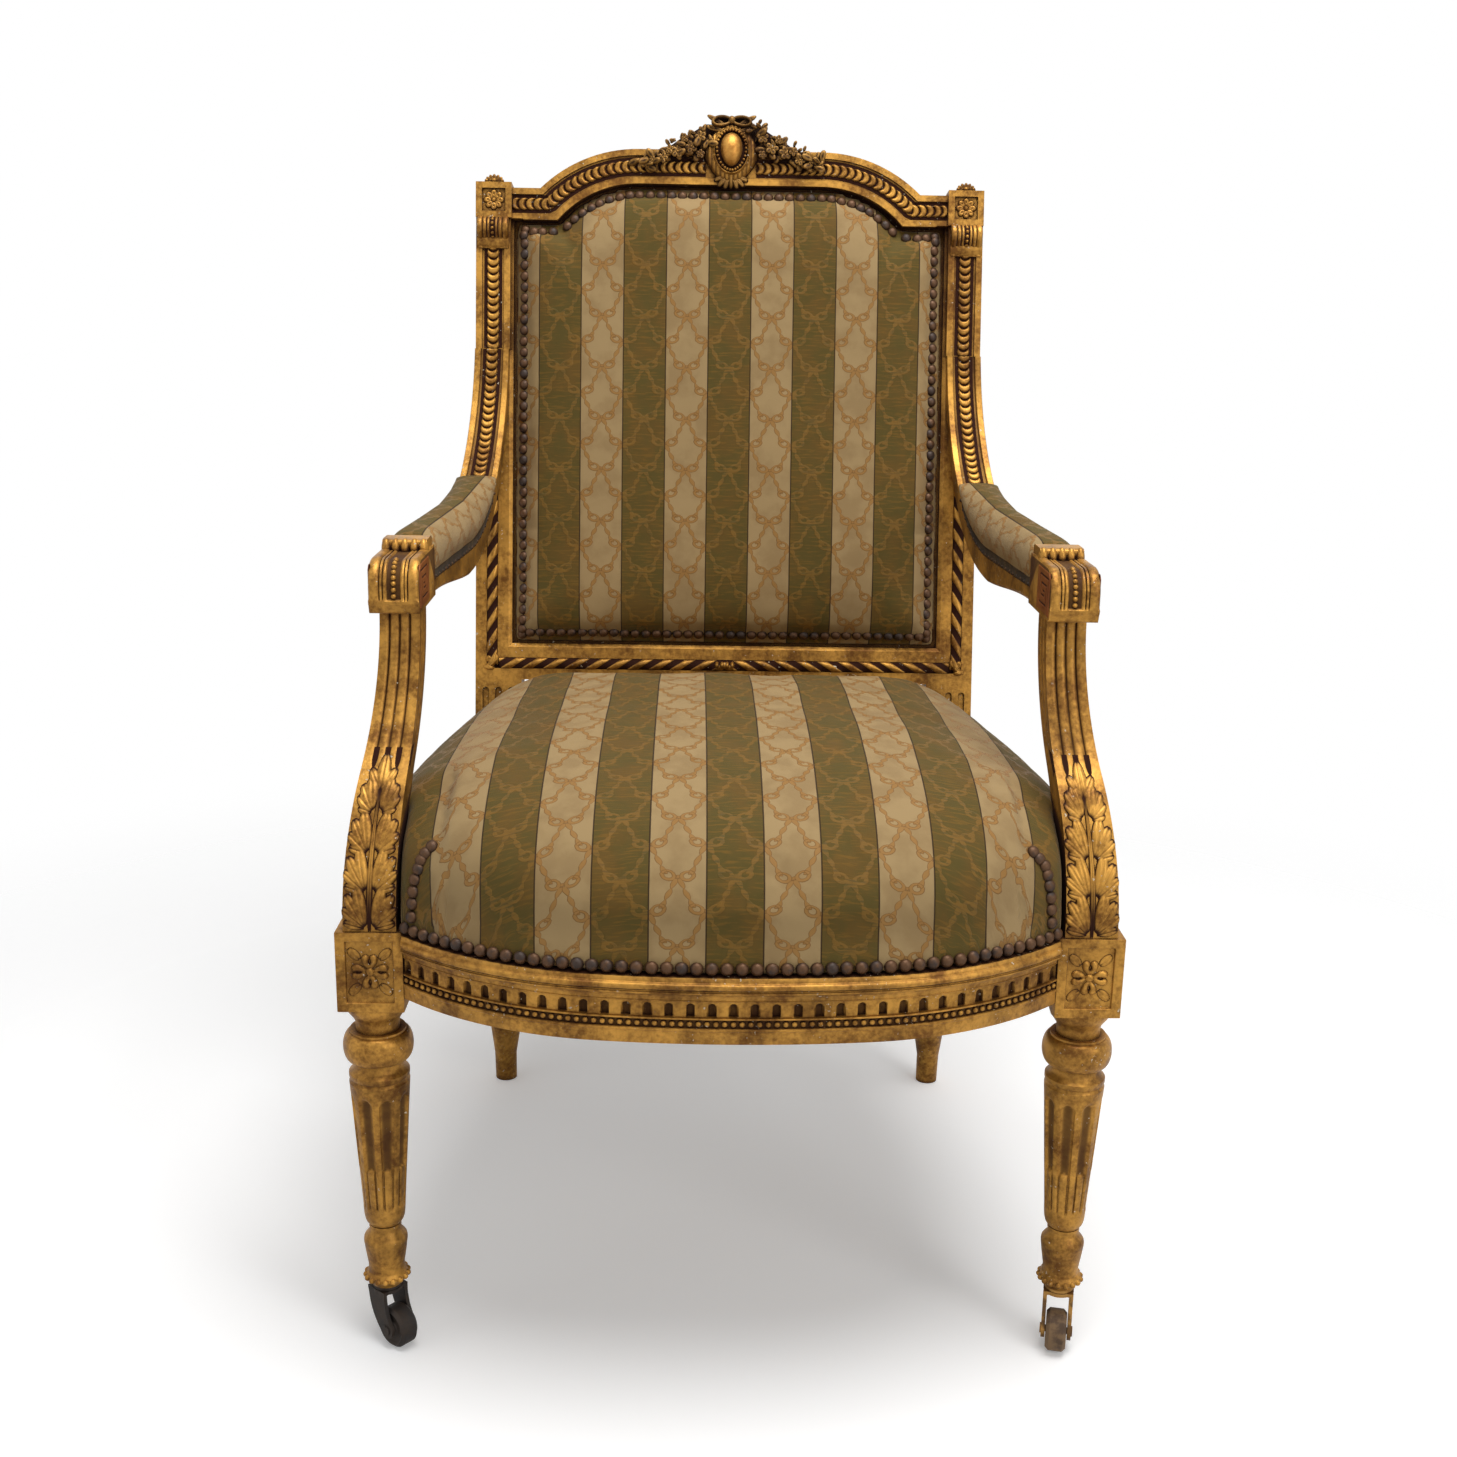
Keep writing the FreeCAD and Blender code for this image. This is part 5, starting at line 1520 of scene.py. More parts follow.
def rope(hand: float, middle: float | None = None) -> Callable:
    """A ribbon twist round a half-round rod.

    Args:
        hand: which way it turns. middle: where it changes hand, or None.

    Returns:
        Its heights and hollows, as strip wants them.
    """
    def shape(across: Array, along: Array) -> Mapped:
        """Args: across, along: mm. Returns: heights and hollows."""
        way = hand if middle is None else np.sign(along - middle) * hand
        phase = along / 23.0 + way * across / 15.0
        if middle is not None:
            phase = np.abs(along - middle) / 23.0 + hand * across / 15.0
        wave = np.cos(2 * math.pi * phase)
        strand = ramp(wave, -0.35, 0.35)
        groove = 0.35 * np.exp(-((np.mod(phase, 1.0) - 0.5) / 0.05) ** 2)
        radius = 5.9 + 1.5 * strand * (0.75 + 0.25 * wave)
        height = np.sqrt(np.clip(radius ** 2 - (across * 0.98) ** 2, 0.0, None)) - groove
        return np.where(np.abs(across) > 5.9, -0.4, height + 0.25), 0.95 * (1 - strand)

    return shape


@dataclass(frozen=True)
class BackFrame:
    """Carving of the back's frame: twist, scales, blocks, brackets and shells."""

    stile: float = 253.5
    floor: float = 3.0
    strip_floor: float = -5.5

    def on_floor(self, x: Array, rise: Array, height: Array) -> Array:
        """Args: drawing places and heights. Returns: points over the twist's floor."""
        return leaned(x, self.floor - height, rise)

    def on_strip(self, x: Array, rise: Array, height: Array) -> Array:
        """Args: drawing places and heights. Returns: points over the strips' floor."""
        return leaned(x, self.strip_floor - height, rise)

    def panel(self, name: str, x: float, rise: float, half: tuple[float, float], depth: float,
              lobes: Sequence[Lobe], fine: float = 0.6, trimmed: bool = False) -> Piece:
        """A carving on a flat of the back.

        Args:
            name: its name. x, rise: its middle. half: half its width and height.
            depth: the flat it stands on. lobes: what is carved. fine: face size in mm.
            trimmed: cuts the bare ground away.

        Returns:
            The carving.
        """
        def surface(u: Array, v: Array) -> Mapped:
            """Args: u, v: 0 to 1. Returns: points in mm and hollows."""
            s, t = (u * 2 - 1) * half[0], (v * 2 - 1) * half[1]
            height = carve(lobes, s, t)
            hollow = 1 - ramp(height, 0.3, 2.2)
            if trimmed:
                hollow = np.where(height <= 0, BARE, hollow)
            return leaned(x + s, depth + 0.15 - height, rise + t), hollow

        return relief(name, int(2 * half[0] / fine), int(2 * half[1] / fine), surface, LOOK)

    def bracket(self, side: Side) -> Piece:
        """Args: side. Returns: the reeds and the bead row over one scroll bracket."""
        profile = [(-8.0, 461.5), (-8.6, 466), (-10.5, 470.5), (-14.0, 474.2), (-17.2, 477.6)]
        for k in range(13):
            turn = math.radians(200 - 9.2 * k)
            profile.append((-8.0 + 10.6 * math.cos(turn), 483.0 + 10.2 * math.sin(turn)))
        line = np.array(profile)
        steps = mileage(line)

        def surface(u: Array, v: Array) -> Mapped:
            """Args: u, v: 0 to 1. Returns: points in mm and hollows."""
            s, t = (u * 2 - 1) * 16.6, v * steps[-1]
            depth = np.interp(t, steps, line[:, 0])
            rise = np.interp(t, steps, line[:, 1])
            ahead, climb = drift(line, steps, t, 0.5)
            size = np.hypot(ahead, climb) + 1e-9
            bands = ((13.6, 3.0, 1.7), (8.3, 1.9, 1.1), (4.2, 1.5, 0.8))
            height = np.full(len(s), 0.15)
            for middle, wide, high in bands:
                inside = np.clip(1 - ((np.abs(s) - middle) / wide) ** 2, 0, 1)
                height = np.maximum(height, high * np.sqrt(inside))
            hollow = 1 - ramp(height, 0.2, 0.9)
            out_depth = depth - height * climb / size
            out_rise = rise + height * ahead / size
            return leaned(side.value * POST_X + s, out_depth, out_rise), hollow

        body = relief(f"bracket_{side.tag}", 84, 60, surface, (0, -1, 0))
        places = []
        for share in 0.16 + 0.125 * np.arange(7):
            depth, rise = (np.interp(steps[-1] * share, steps, column) for column in line.T)
            places.append(facing(leaned(side.value * POST_X, depth + 0.3, rise), LOOK))
        beads = stamped(bead(2.0, 2.4, 8, 3), places, f"bracket_beads_{side.tag}")
        return joined([body, beads], f"bracket_carving_{side.tag}")

    def shell(self, side: Side) -> Piece:
        """Args: side. Returns: one small corner shell, a fan of ribs over a scroll."""
        foot = leaned(side.value * CORNER_X, -6.5, 530.6)
        ribs = [facing(foot + (2.0 * math.sin(math.radians(turn)), 0.6 * abs(turn) / 40, 0),
                       (0, -1, 0.35), -turn, (1, 1, 1)) for turn in range(-81, 82, 27)]
        fan = stamped(petal(8.6, 4.6, 3.2, 0.25, 10, 8), ribs, "shell_ribs")
        places = [facing(leaned(side.value * CORNER_X + x, -6.5, 532.2), (0, -1, 0.3), 0, size)
                  for x, size in ((0, (1.2, 1.0, 1.3)), (-8.2, (0.8, 0.8, 0.9)),
                                  (8.2, (0.8, 0.8, 0.9)))]
        knots = stamped(bead(2.6, 2.8, 10, 4), places, "shell_knots")
        behind = facing(leaned(side.value * CORNER_X, 2.0, 530.4), LOOK, 0, (1.25, 0.95, 1.4))
        back = stamped(bead(7.2, 6.0, 16, 5), [behind], "shell_back")
        return joined([fan, knots, back], f"shell_{side.tag}")

    def build(self, shop: Workshop, gilt: GiltWood) -> None:
        """Args: shop: fits the pieces. gilt: the finish. Returns: nothing."""
        up = (0.0, -1.0, 0.2)
        for side in Side:
            hand = side.value
            stile = Path((Run((hand * self.stile, 19.0), (hand * self.stile, 352.0), (hand, 0)),))
            twist = strip(f"stile_twist_{side.tag}", stile, 6.1, self.on_floor, rope(1.0), up)
            shop.fit(twist, gilt)
            upper = Path((Run((hand * POST_X, 356.0), (hand * POST_X, 462.0), (hand, 0)),))
            row = strip(f"stile_scales_{side.tag}", upper, 10.6, self.on_strip, scales, up, 0.6)
            shop.fit(row, gilt)
            start, end = (43.5, 90) if hand > 0 else (136.5, 90)
            crest = Path((Run((hand * 232.5, 508.5), (hand * 194.2, 508.5), (0, 1)),
                          Arc((hand * ARCH_X, ARCH_RISE), 133.0, start, end),
                          Run((hand * ARCH_X, 550.0), (hand * 27.0, 550.0), (0, 1))))
            row = strip(f"crest_scales_{side.tag}", crest, 10.6, self.on_strip, scales, up, 0.6)
            shop.fit(row, gilt)
            flower = rosette(8, 11.0, 6.2, 3.4, 2.3, 1.5)
            block = self.panel(f"block_flower_{side.tag}", hand * CORNER_X, 511.5, (12.2, 12.0),
                               -9.0, flower, 0.45)
            shop.fit(block, gilt)
            shop.fit(self.bracket(side), gilt)
            shop.fit(self.shell(side), gilt, [f"corner_shell_{side.tag}"])
            corner = [Lobe(0, 0, 22, 8, -45 * hand, 8.9, 0.0, 0.8),
                      Lobe(-5 * hand, 4, 14, 6.5, 10 * hand, 8.5, 0.0, 0.6),
                      Lobe(4 * hand, -5, 14, 6.5, -100 * hand, 8.5, 0.0, 0.6),
                      Lobe(3 * hand, 4, 9, 9, 0, 9.3, 0.0, 0.0, 1.0)]
            leaf = self.panel(f"corner_leaf_{side.tag}", hand * self.stile, 18.0, (11.5, 11.5),
                              self.floor, corner)
            shop.fit(leaf, gilt)
        foot = Path((Run((-self.stile + 8, 18.0), (self.stile - 8, 18.0), (0, 1)),))
        middle = foot.length / 2
        twist = strip("foot_twist", foot, 6.1, self.on_floor, rope(1.0, middle), up)
        shop.fit(twist, gilt)
        places = [facing(leaned(x, 1.0, 18.0), LOOK, 0, (1, 1.5, 1))
                  for x in (-8.4, -2.8, 2.8, 8.4)]
        shop.fit(stamped(bead(3.0, 7.6, 10, 4), places, "foot_beads"), gilt)


@dataclass(frozen=True)
class Crest:
    """The carved middle of the crest: boss in a beaded oval, scrolls, bow, drop and flowers."""

    face: float = -8.0
    middle: float = 565.0

    def boss(self) -> Piece:
        """Returns: the burnished egg."""
        def surface(u: Array, v: Array) -> Mapped:
            """Args: u, v: 0 to 1. Returns: points in mm and hollows."""
            angle, out = u * 2 * math.pi, np.sin(v * math.pi / 2)
            tall = np.sin(angle)
            wide = 11.6 * (1 + 0.10 * tall)
            x = out * np.cos(angle) * wide
            rise = self.middle + 2 + out * tall * 17.6
            lift = np.sqrt(np.clip(1 - out ** 2, 0, 1)) * 11.0
            return leaned(x, self.face - 7.0 - lift, rise), np.zeros(len(u))
        return loft("crest_boss", 48, 16, surface, 80.0, False)

    def shield(self) -> Piece:
        """Returns: the ground of the cartouche with its moulded rim and scrolls."""
        def surface(u: Array, v: Array) -> Mapped:
            """Args: u, v: 0 to 1. Returns: points in mm and hollows."""
            s, t = (u * 2 - 1) * 30.0, -33.0 + v * 66.0
            oval = np.hypot(s / 19.5, (t - 1.0) / 25.0)
            body = np.hypot(s / (26.5 + 2.0 * np.cos(t / 9)), (t - 0.0) / 31.0)
            height = 7.5 * np.sqrt(np.clip(1 - body ** 6, 0, 1))
            rim = np.exp(-((oval - 0.93) / 0.055) ** 2)
            height += 2.8 * rim * (t > -26)
            dish = ramp(0.86 - oval, 0.0, 0.06)
            height -= 1.6 * dish
            flute = 0.5 + 0.5 * np.cos(s * 1.35)
            height += 1.0 * flute * (oval > 1.02) * (body < 0.95)
            hollow = np.where((oval > 1.0) & (body < 1), 0.55 * (1 - flute), 0.75 * dish)
            hollow = np.where(height < 0.8, 0.8, hollow)
            hollow = np.where(body >= 1.0, BARE, hollow)
            return leaned(s, self.face + 0.4 - height, self.middle + t), hollow
        return relief("crest_shield", 100, 110, surface, (0, -1, 0))

    def drop(self) -> Piece:
        """Returns: the palmette under the boss, hanging over the lower fillet."""
        lobes = [Lobe(0, 0, 15, 4.6, 0, 7.0, 0.25)]
        fan = ((156, 17, 5.4), (134, 19, 5.6), (112, 19, 5.4), (88, 16, 4.8))
        for k, (turn, length, wide) in enumerate(fan):
            angle, reach = math.radians(turn), length / 2
            lobe = Lobe(reach * math.sin(angle) * 1.05, 8 + reach * math.cos(angle), length, wide,
                        turn, 5.0 - 0.4 * k, -0.25, 0.8)
            lobes += [lobe, lobe.flipped()]
        return BackFrame().panel("crest_drop", 0.0, self.middle - 30.0, (22.0, 13.0),
                                 self.face - 1.0, lobes, trimmed=True)

    def bow(self) -> Piece:
        """Returns: the ribbon bow over the boss: two loops, a knot and two tails."""
        parts = []
        for hand in (-1, 1):
            def surface(u: Array, v: Array, hand: int = hand) -> Mapped:
                """Args: u, v: 0 to 1. hand: its side. Returns: points in mm and hollows."""
                turn = v * 2 * math.pi
                ring_x = 10.5 - 9.5 * np.cos(turn)
                ring_z = 6.3 * np.sin(turn) * (0.75 + 0.25 * ring_x / 20)
                wide = 3.2 + 2.4 * np.sin(turn / 2) ** 2
                edge = u * 2 * math.pi
                x = hand * (ring_x + 1.9 * np.cos(edge) * -np.cos(turn))
                rise = 598.5 + ring_z * 0.8 + 1.9 * np.cos(edge) * np.sin(turn) - ring_x * 0.12
                depth = self.face - 3.5 - 2.0 * np.sin(turn / 2) + wide * np.sin(edge)
                return leaned(x, depth, np.minimum(rise, 606.0)), 0.35 * (1 + np.sin(turn)) * 0.5
            parts.append(loft(f"bow_loop_{hand}", 14, 44, surface, 60.0, False))
        knot = [facing(leaned(0, self.face - 4.0, 598.5), LOOK, 0, (1.0, 1.15, 1.0))]
        parts.append(stamped(bead(4.2, 5.0, 12, 4), knot, "bow_knot"))
        ribbons = []
        for hand in (-1, 1):
            for lift, turn in ((592.0, 62), (586.5, 78)):
                foot = leaned(hand * 5.0, self.face - 4.5, lift)
                ribbons.append(facing(foot, (0, -1, 0.25), -hand * turn))
        parts.append(stamped(petal(24.0, 6.4, 3.2, 0.5), ribbons, "bow_tails"))
        # Painted shade: two low domes behind the loops, marked almost fully hollow, so the gilt
        # paints them dark as the shade inside the loops.
        ground = bead(11.0, 4.0, 20, 5)
        set_hollow(ground, np.full(len(ground.data.vertices), 0.92))
        behind = [facing(leaned(hand * 9.5, self.face + 2.0, 596.5), LOOK, 0, (1.0, 0.62, 1.0))
                  for hand in (-1, 1)]
        parts.append(stamped(ground, behind, "bow_shade_ground"))
        return joined(parts, "crest_bow")

    def pearls(self) -> Piece:
        """Returns: the ring of small pearls round the boss."""
        places = []
        for k in range(32):
            angle = 2 * math.pi * (k + 0.5) / 32
            tall = math.sin(angle)
            x = 15.4 * math.cos(angle) * (1 + 0.08 * tall)
            foot = leaned(x, self.face - 8.3, self.middle + 1.5 + 21.0 * tall)
            places.append(facing(foot, LOOK))
        return stamped(bead(1.75, 2.6, 8, 3), places, "crest_pearls")

    def garland(self, side: Side) -> Piece:
        """Args: side. Returns: one garland of five-petalled flowers and pointed leaves."""
        rng = np.random.default_rng(40 + side.value)
        spine = np.array(((27, 589, 15), (36, 583, 16), (45, 578, 15), (55, 574, 14), (64, 569, 12),
                          (74, 564, 10), (84, 559.5, 7), (94, 557, 4)), float)
        leaves, flowers, hearts = [], [], []
        for x, rise, size in spine:
            for k in range(9 if size > 6 else 5):
                dx = rng.uniform(-5, 5)
                dz = rng.uniform(-1, 0.5) * size * 0.95 - 2
                turn = rng.uniform(0, 360)
                lift = rng.uniform(0.5, 4.5) + 3.0 * math.exp(-(dz / 9) ** 2)
                foot = leaned(side.value * (x + dx), self.face - lift, rise + dz)
                tilt = (rng.uniform(-0.5, 0.5), -1.0, rng.uniform(-0.2, 0.6))
                grow = rng.uniform(0.75, 1.25) * (0.68 if dz > 0 else 1.0)
                leaves.append(facing(foot, tilt, turn, (grow, grow, 1.2)))
        blooms = ((33, 580, 1.0), (43, 569, 1.1), (50, 578, 0.8), (57, 564, 1.1), (66, 566, 0.8),
                  (73, 557, 0.9), (33, 562, 0.75), (85, 557, 0.6))
        for x, rise, grow in blooms:
            centre = np.array(leaned(side.value * x, self.face - 8.0, rise))
            tilt = (side.value * 0.25 + rng.uniform(-0.2, 0.2), -1.0, 0.3)
            first = rng.uniform(0, 72)
            for k in range(5):
                flowers.append(facing(centre, tilt, first + 72 * k, (grow, grow, grow)))
            hearts.append(facing(centre + (0, -0.6, 0.1), tilt, 0, (grow, grow, grow)))
        parts = [stamped(petal(12.5, 7.0, 3.0, 0.3, 8, 6), leaves, "leaves"),
                 stamped(petal(6.6, 6.4, 2.4, 0.55, 8, 6), flowers, "petals"),
                 stamped(bead(1.7, 2.2, 7, 3), hearts, "hearts")]

        # Painted shade: a rod under the leaves and flowers, marked almost fully hollow, so the gilt
        # paints it dark as the shade between them.
        def ground(u: Array, v: Array) -> Mapped:
            """Args: u, v: 0 to 1. Returns: points in mm and hollows."""
            x = 17 + v * 79
            rise = np.interp(x, spine[:, 0], spine[:, 1]) - 5.5
            size = np.interp(x, spine[:, 0], spine[:, 2])
            angle = u * 2 * math.pi
            depth = self.face + 3.0 - (3.5 + 1.0 * np.sin(x * 1.1)) * np.cos(angle)
            spot = leaned(side.value * x, depth, rise + size * 0.82 * np.sin(angle))
            return spot, np.full(len(u), 0.95)

        parts.append(loft("garland_shade_ground", 24, 40, ground))
        return joined(parts, f"crest_flowers_{side.tag}")

    def build(self, shop: Workshop, gilt: GiltWood) -> None:
        """Args: shop: fits the pieces. gilt: the finish. Returns: nothing."""
        shop.fit(self.shield(), gilt, ["crest_cartouche"])
        burnished = GiltWood("gilt_burnished", (210, 158, 78), (160, 106, 46), (80, 40, 14),
                             0.8, 0.9, 0.7)
        shop.fit(self.boss(), burnished)
        # A darker copy of the gilt, whose painted shade and dirt spread further, for the drop, the
        # bow and the garlands.
        darkened = GiltWood("gilt_darker", (164, 122, 60), (84, 54, 22), (34, 14, 4), 0.5, 0.7, 0.42)
        shop.fit(self.pearls(), gilt)
        for piece in (self.drop(), self.bow()):
            shop.fit(piece, darkened)
        for side in Side:
            shop.fit(self.garland(side), darkened, [f"crest_garland_{side.tag}"])


@dataclass(frozen=True)
class FrontLegs:
    """The front legs: panelled block, fluted turning, block flowers and the ring of pearls."""

    flutes: int = 8
    flute_share: float = 0.66
    flute_depth: float = 3.2

    def turning(self) -> Piece:
        """Returns: the right leg's turning, from its foot to the block."""
        line = [(57, 13), (61.5, 15.75), (64.5, 18.3), (67.5, 18.3), (70.5, 15.75), (77, 15.75),
                (89, 17.6), (99, 18.9), (101, 19), (103.5, 18.6), (105, 17.6), (109, 14.2),
                (111.5, 13), (113.5, 13), (113.6, 14), (116.4, 14), (116.5, 13.2), (118, 14.8),
                (120.5, 16.4), (124, 17.4), (127.5, 17.8)]
        line += [(z, 17.8 + (z - 127.5) / 126.5 * 8.0) for z in np.arange(129.5, 254, 2.0)]
        line += [(254, 25.8), (255.5, 24.6), (257, 24.3), (259, 25.7), (262.6, 25.8), (263.4, 25),
                 (266, 22), (269, 20.8), (273.9, 20.5), (274, 23.6)]
        line += [(287 - 13 * math.cos(a), 23.75 + 6.0 * math.sin(a))
                 for a in np.linspace(0.12, math.pi - 0.12, 15)]
        line += [(300, 23.75), (302, 23.6), (302.1, 18.6), (308, 18.5), (311.5, 19.4), (315, 21.5),
                 (319, 24.6), (322.6, 25.8), (323.4, 26), (327.2, 26)]
        line = np.array(line, float)
        rows = len(line) - 1
        pitch = 2 * math.pi / self.flutes

        def surface(u: Array, v: Array) -> Mapped:
            """Args: u, v: 0 to 1. Returns: points in mm and hollows."""
            step, angle = v * rows, u * 2 * math.pi
            z, radius = on_line(line, step)
            off = np.abs(np.mod(angle, pitch) - pitch / 2) / (pitch * self.flute_share / 2)
            ends = ramp(z, 134.5, 137.5) * (1 - ramp(z + 5 * off ** 2, 241.0, 246.0))
            open_ = np.sqrt(np.clip(1 - off ** 2, 0, 1)) ** 0.7 * self.flute_depth
            cable = np.exp(-((off - 0.86) / 0.17) ** 2) * 2.0 + 0.5 * (off < 0.8)
            cabled = 1 - ramp(z + 4 * off ** 2, 173.5, 176.5)
            sunk = ends * (open_ * (1 - cabled) + cable * cabled)
            # The flutes are marked hollow, which the gilt paints dark as shade and dirt.
            hollow = 0.55 * ramp(sunk, 1.2, 3.2)
            radius = radius - sunk
            return stack(LEG_X + radius * np.cos(angle), radius * np.sin(angle), z), hollow

        return loft("leg_turning", 160, rows, surface, 35.0)

    def block(self) -> Piece:
        """Returns: the right leg's square block with its two sunk panels."""
        deselect()
        bpy.ops.mesh.primitive_cube_add(size=1.0)
        piece = bpy.context.object
        piece.data.transform(Matrix.Diagonal((0.056, 0.056, 0.071, 1.0)))
        centre = spot_of(LEG_X, 0.0, BLOCK_MIDDLE)
        piece.data.transform(Matrix.Translation(centre))
        face_mode(True)
        bpy.ops.object.mode_set(mode="EDIT")
        for way in (Vector((0, -1, 0)), Vector((1, 0, 0))):
            bpy.ops.mesh.select_all(action="DESELECT")
            body = bmesh.from_edit_mesh(piece.data)
            for face in body.faces:
                face.select_set(face.normal.dot(way) > 0.9 and face.calc_area() > 0.003)
            bmesh.update_edit_mesh(piece.data)
            bpy.ops.mesh.inset(thickness=0.008, depth=0.0)
            bpy.ops.mesh.inset(thickness=0.0006, depth=-0.003)
        bpy.ops.object.mode_set(mode="OBJECT")
        face_mode(False)
        applied(piece, "BEVEL", width=0.0008, segments=2, limit_method="ANGLE")
        set_hollow(piece, np.zeros(len(piece.data.vertices)))
        bpy.ops.object.shade_smooth_by_angle(angle=math.radians(35))
        return piece

    def flower(self, side: Side, outer: bool) -> Piece:
        """Args: side. outer: the outer face instead of the front. Returns: a block's flower."""
        lobes = [Lobe(0, 0, 7.4, 7.4, 0, 3.6, 0.0, 0.0, 1.0)]
        for k in range(4):
            for spread in (-1, 1):
                away = math.radians(90 * k + spread * 15)
                lobes.append(Lobe(9.4 * math.sin(away), 9.4 * math.cos(away), 12.5, 7.4,
                                  90 * k + spread * 17, 3.8, -0.2))
            corner = math.radians(90 * k + 45)
            lobes.append(Lobe(18 * math.sin(corner), 22 * math.cos(corner), 14, 8,
                              90 * k + 45, 2.0, 0.0, 0.5))
        x0, y0 = side.value * LEG_X, 0.0

        def surface(u: Array, v: Array) -> Mapped:
            """Args: u, v: 0 to 1. Returns: points in mm and hollows."""
            s, t = (u * 2 - 1) * 19.6, (v * 2 - 1) * 27.0
            height = carve(lobes, s, t)
            hollow = 0.8 * (1 - ramp(height, 0.1, 1.3))
            for way_s, way_t in ((0, 1), (1, 0), (0, -1), (-1, 0)):
                out_ = s * way_s + t * way_t - 9.2
                aside = s * way_t - t * way_s
                pit = np.exp(-(out_ / 3.1) ** 2 - (aside / 1.5) ** 2)
                height = height - 2.6 * pit * (height > 0.5)
                hollow = np.maximum(hollow, ramp(pit, 0.25, 0.7))
            out = BLOCK_HALF - 3.0 - 0.15 + height
            z = BLOCK_MIDDLE + t
            if outer:
                return stack(x0 + side.value * out, y0 + s, z), hollow
            return stack(x0 + s, y0 - out, z), hollow

        way = (side.value, 0, 0) if outer else (0, -1, 0)
        name = f"leg_flower_{'outer' if outer else 'front'}_{side.tag}"
        return relief(name, 66, 90, surface, way)

    def build(self, shop: Workshop, gilt: GiltWood) -> None:
        """Args: shop: fits the pieces. gilt: the finish. Returns: nothing."""
        leg = joined([self.turning(), self.block()], "front_leg_carved")
        shop.pair(leg, "front_leg_carved", gilt, "front_leg")
        for side in Side:
            for outer in (False, True):
                shop.fit(self.flower(side, outer), gilt)
            places = []
            for k in range(17):
                angle = 2 * math.pi * k / 17
                out = (math.cos(angle), math.sin(angle), -0.25)
                foot = (side.value * LEG_X + 17.4 * out[0], 17.4 * out[1], 65.6)
                places.append(facing(foot, out))
            ring = stamped(bead(3.0, 3.6, 10, 3), places, f"leg_pearls_{side.tag}")
            shop.fit(ring, gilt)


@dataclass(frozen=True)
class ArmSupport:
    """The swept, reeded support with its leaf."""

    low: float = 398.0
    climb: float = 251.0

    def edges(self, z: Array) -> tuple[Array, Array, Array, Array]:
        """Args: z: heights. Returns: the inner and outer x, front and back y there."""
        share = np.clip((z - self.low) / self.climb, 0, 1)
        inner = 277.0 + s_offset(share, self.climb, -10.0)
        outer = 321.0 + s_offset(share, self.climb, -20.0)
        front = -26.0 + s_offset(share, self.climb, 106.0)
        back = 22.0 + s_offset(share, self.climb, 94.0)
        return inner, outer, front, back

    def body(self) -> Piece:
        """Returns: the right support, reeded on its front and inner faces above the leaf."""
        corners = np.array((0.0, 0.46, 0.60, 0.76, 1.0))

        def surface(u: Array, v: Array) -> Mapped:
            """Args: u, v: 0 to 1. Returns: points in mm and hollows."""
            z = self.low + v * self.climb
            inner, outer, front, back = self.edges(z)
            a = np.interp(u, corners[:2], (0, 1))
            b = np.interp(u, corners[1:3], (0, 1))
            c = np.interp(u, corners[2:4], (0, 1))
            d = np.interp(u, corners[3:], (0, 1))
            x = inner + (outer - inner) * (a - c)
            y = front + (back - front) * (b - d)
            reeded = ramp(z, 520, 532) * (1 - ramp(z, 643, 648))
            slot = np.abs(np.mod(a * 4 + 0.5, 1.0) - 0.5)
            reed = 1 - np.sqrt(np.clip(1 - (1 - np.minimum(slot / 0.5, 1.0)) ** 2.4, 0, 1))
            on_front = (u < 0.46) & (a > 0.1) & (a < 0.9)
            groove = np.where(on_front, reed, 0.0) * reeded
            side_slot = np.abs(np.mod(d * 3 + 0.5, 1.0) - 0.5)
            side_reed = np.exp(-(side_slot / 0.075) ** 2) * (d > 0.15) * (d < 0.85)
            side_groove = np.where(u > 0.76, side_reed, 0.0) * reeded
            y = y + 3.2 * groove
            x = x + 1.6 * side_groove
            return stack(x, y, z), np.maximum(groove * 0.95, side_groove * 0.8)

        return loft("support_body", 150, 150, surface, 50.0)

    def leaf(self) -> Piece:
        """Returns: the right support's leaf."""
        lobes = acanthus_leaf(136.0, 46.0)

        def surface(u: Array, v: Array) -> Mapped:
            """Args: u, v: 0 to 1. Returns: points in mm and hollows."""
            t = v * 140.0
            z = self.low + t
            inner, outer, front, _ = self.edges(z)
            s = (u * 2 - 1) * 24.5
            middle = (inner + outer) / 2
            half = (outer - inner) / 2
            height = carve(lobes, s, t) * 1.15
            over = np.maximum(np.abs(s) - half, 0.0)
            x = middle + np.sign(s) * np.minimum(np.abs(s), half + 0.8 * ramp(height, 0.2, 2.0))
            y = front + 0.3 - height + over * 3.0
            hollow = 1 - ramp(height, 0.4, 3.0)
            return stack(x, y, z), hollow * (height < 3)

        return relief("support_leaf", 84, 230, surface, (0, -1, 0))

    def build(self, shop: Workshop, gilt: GiltWood) -> None:
        """Args: shop: fits the pieces. gilt: the finish. Returns: nothing."""
        body, leaf = self.body(), self.leaf()
        shop.pair(body, "support_reeds", gilt, "arm_support")
        shop.pair(leaf, "support_leaf", gilt)


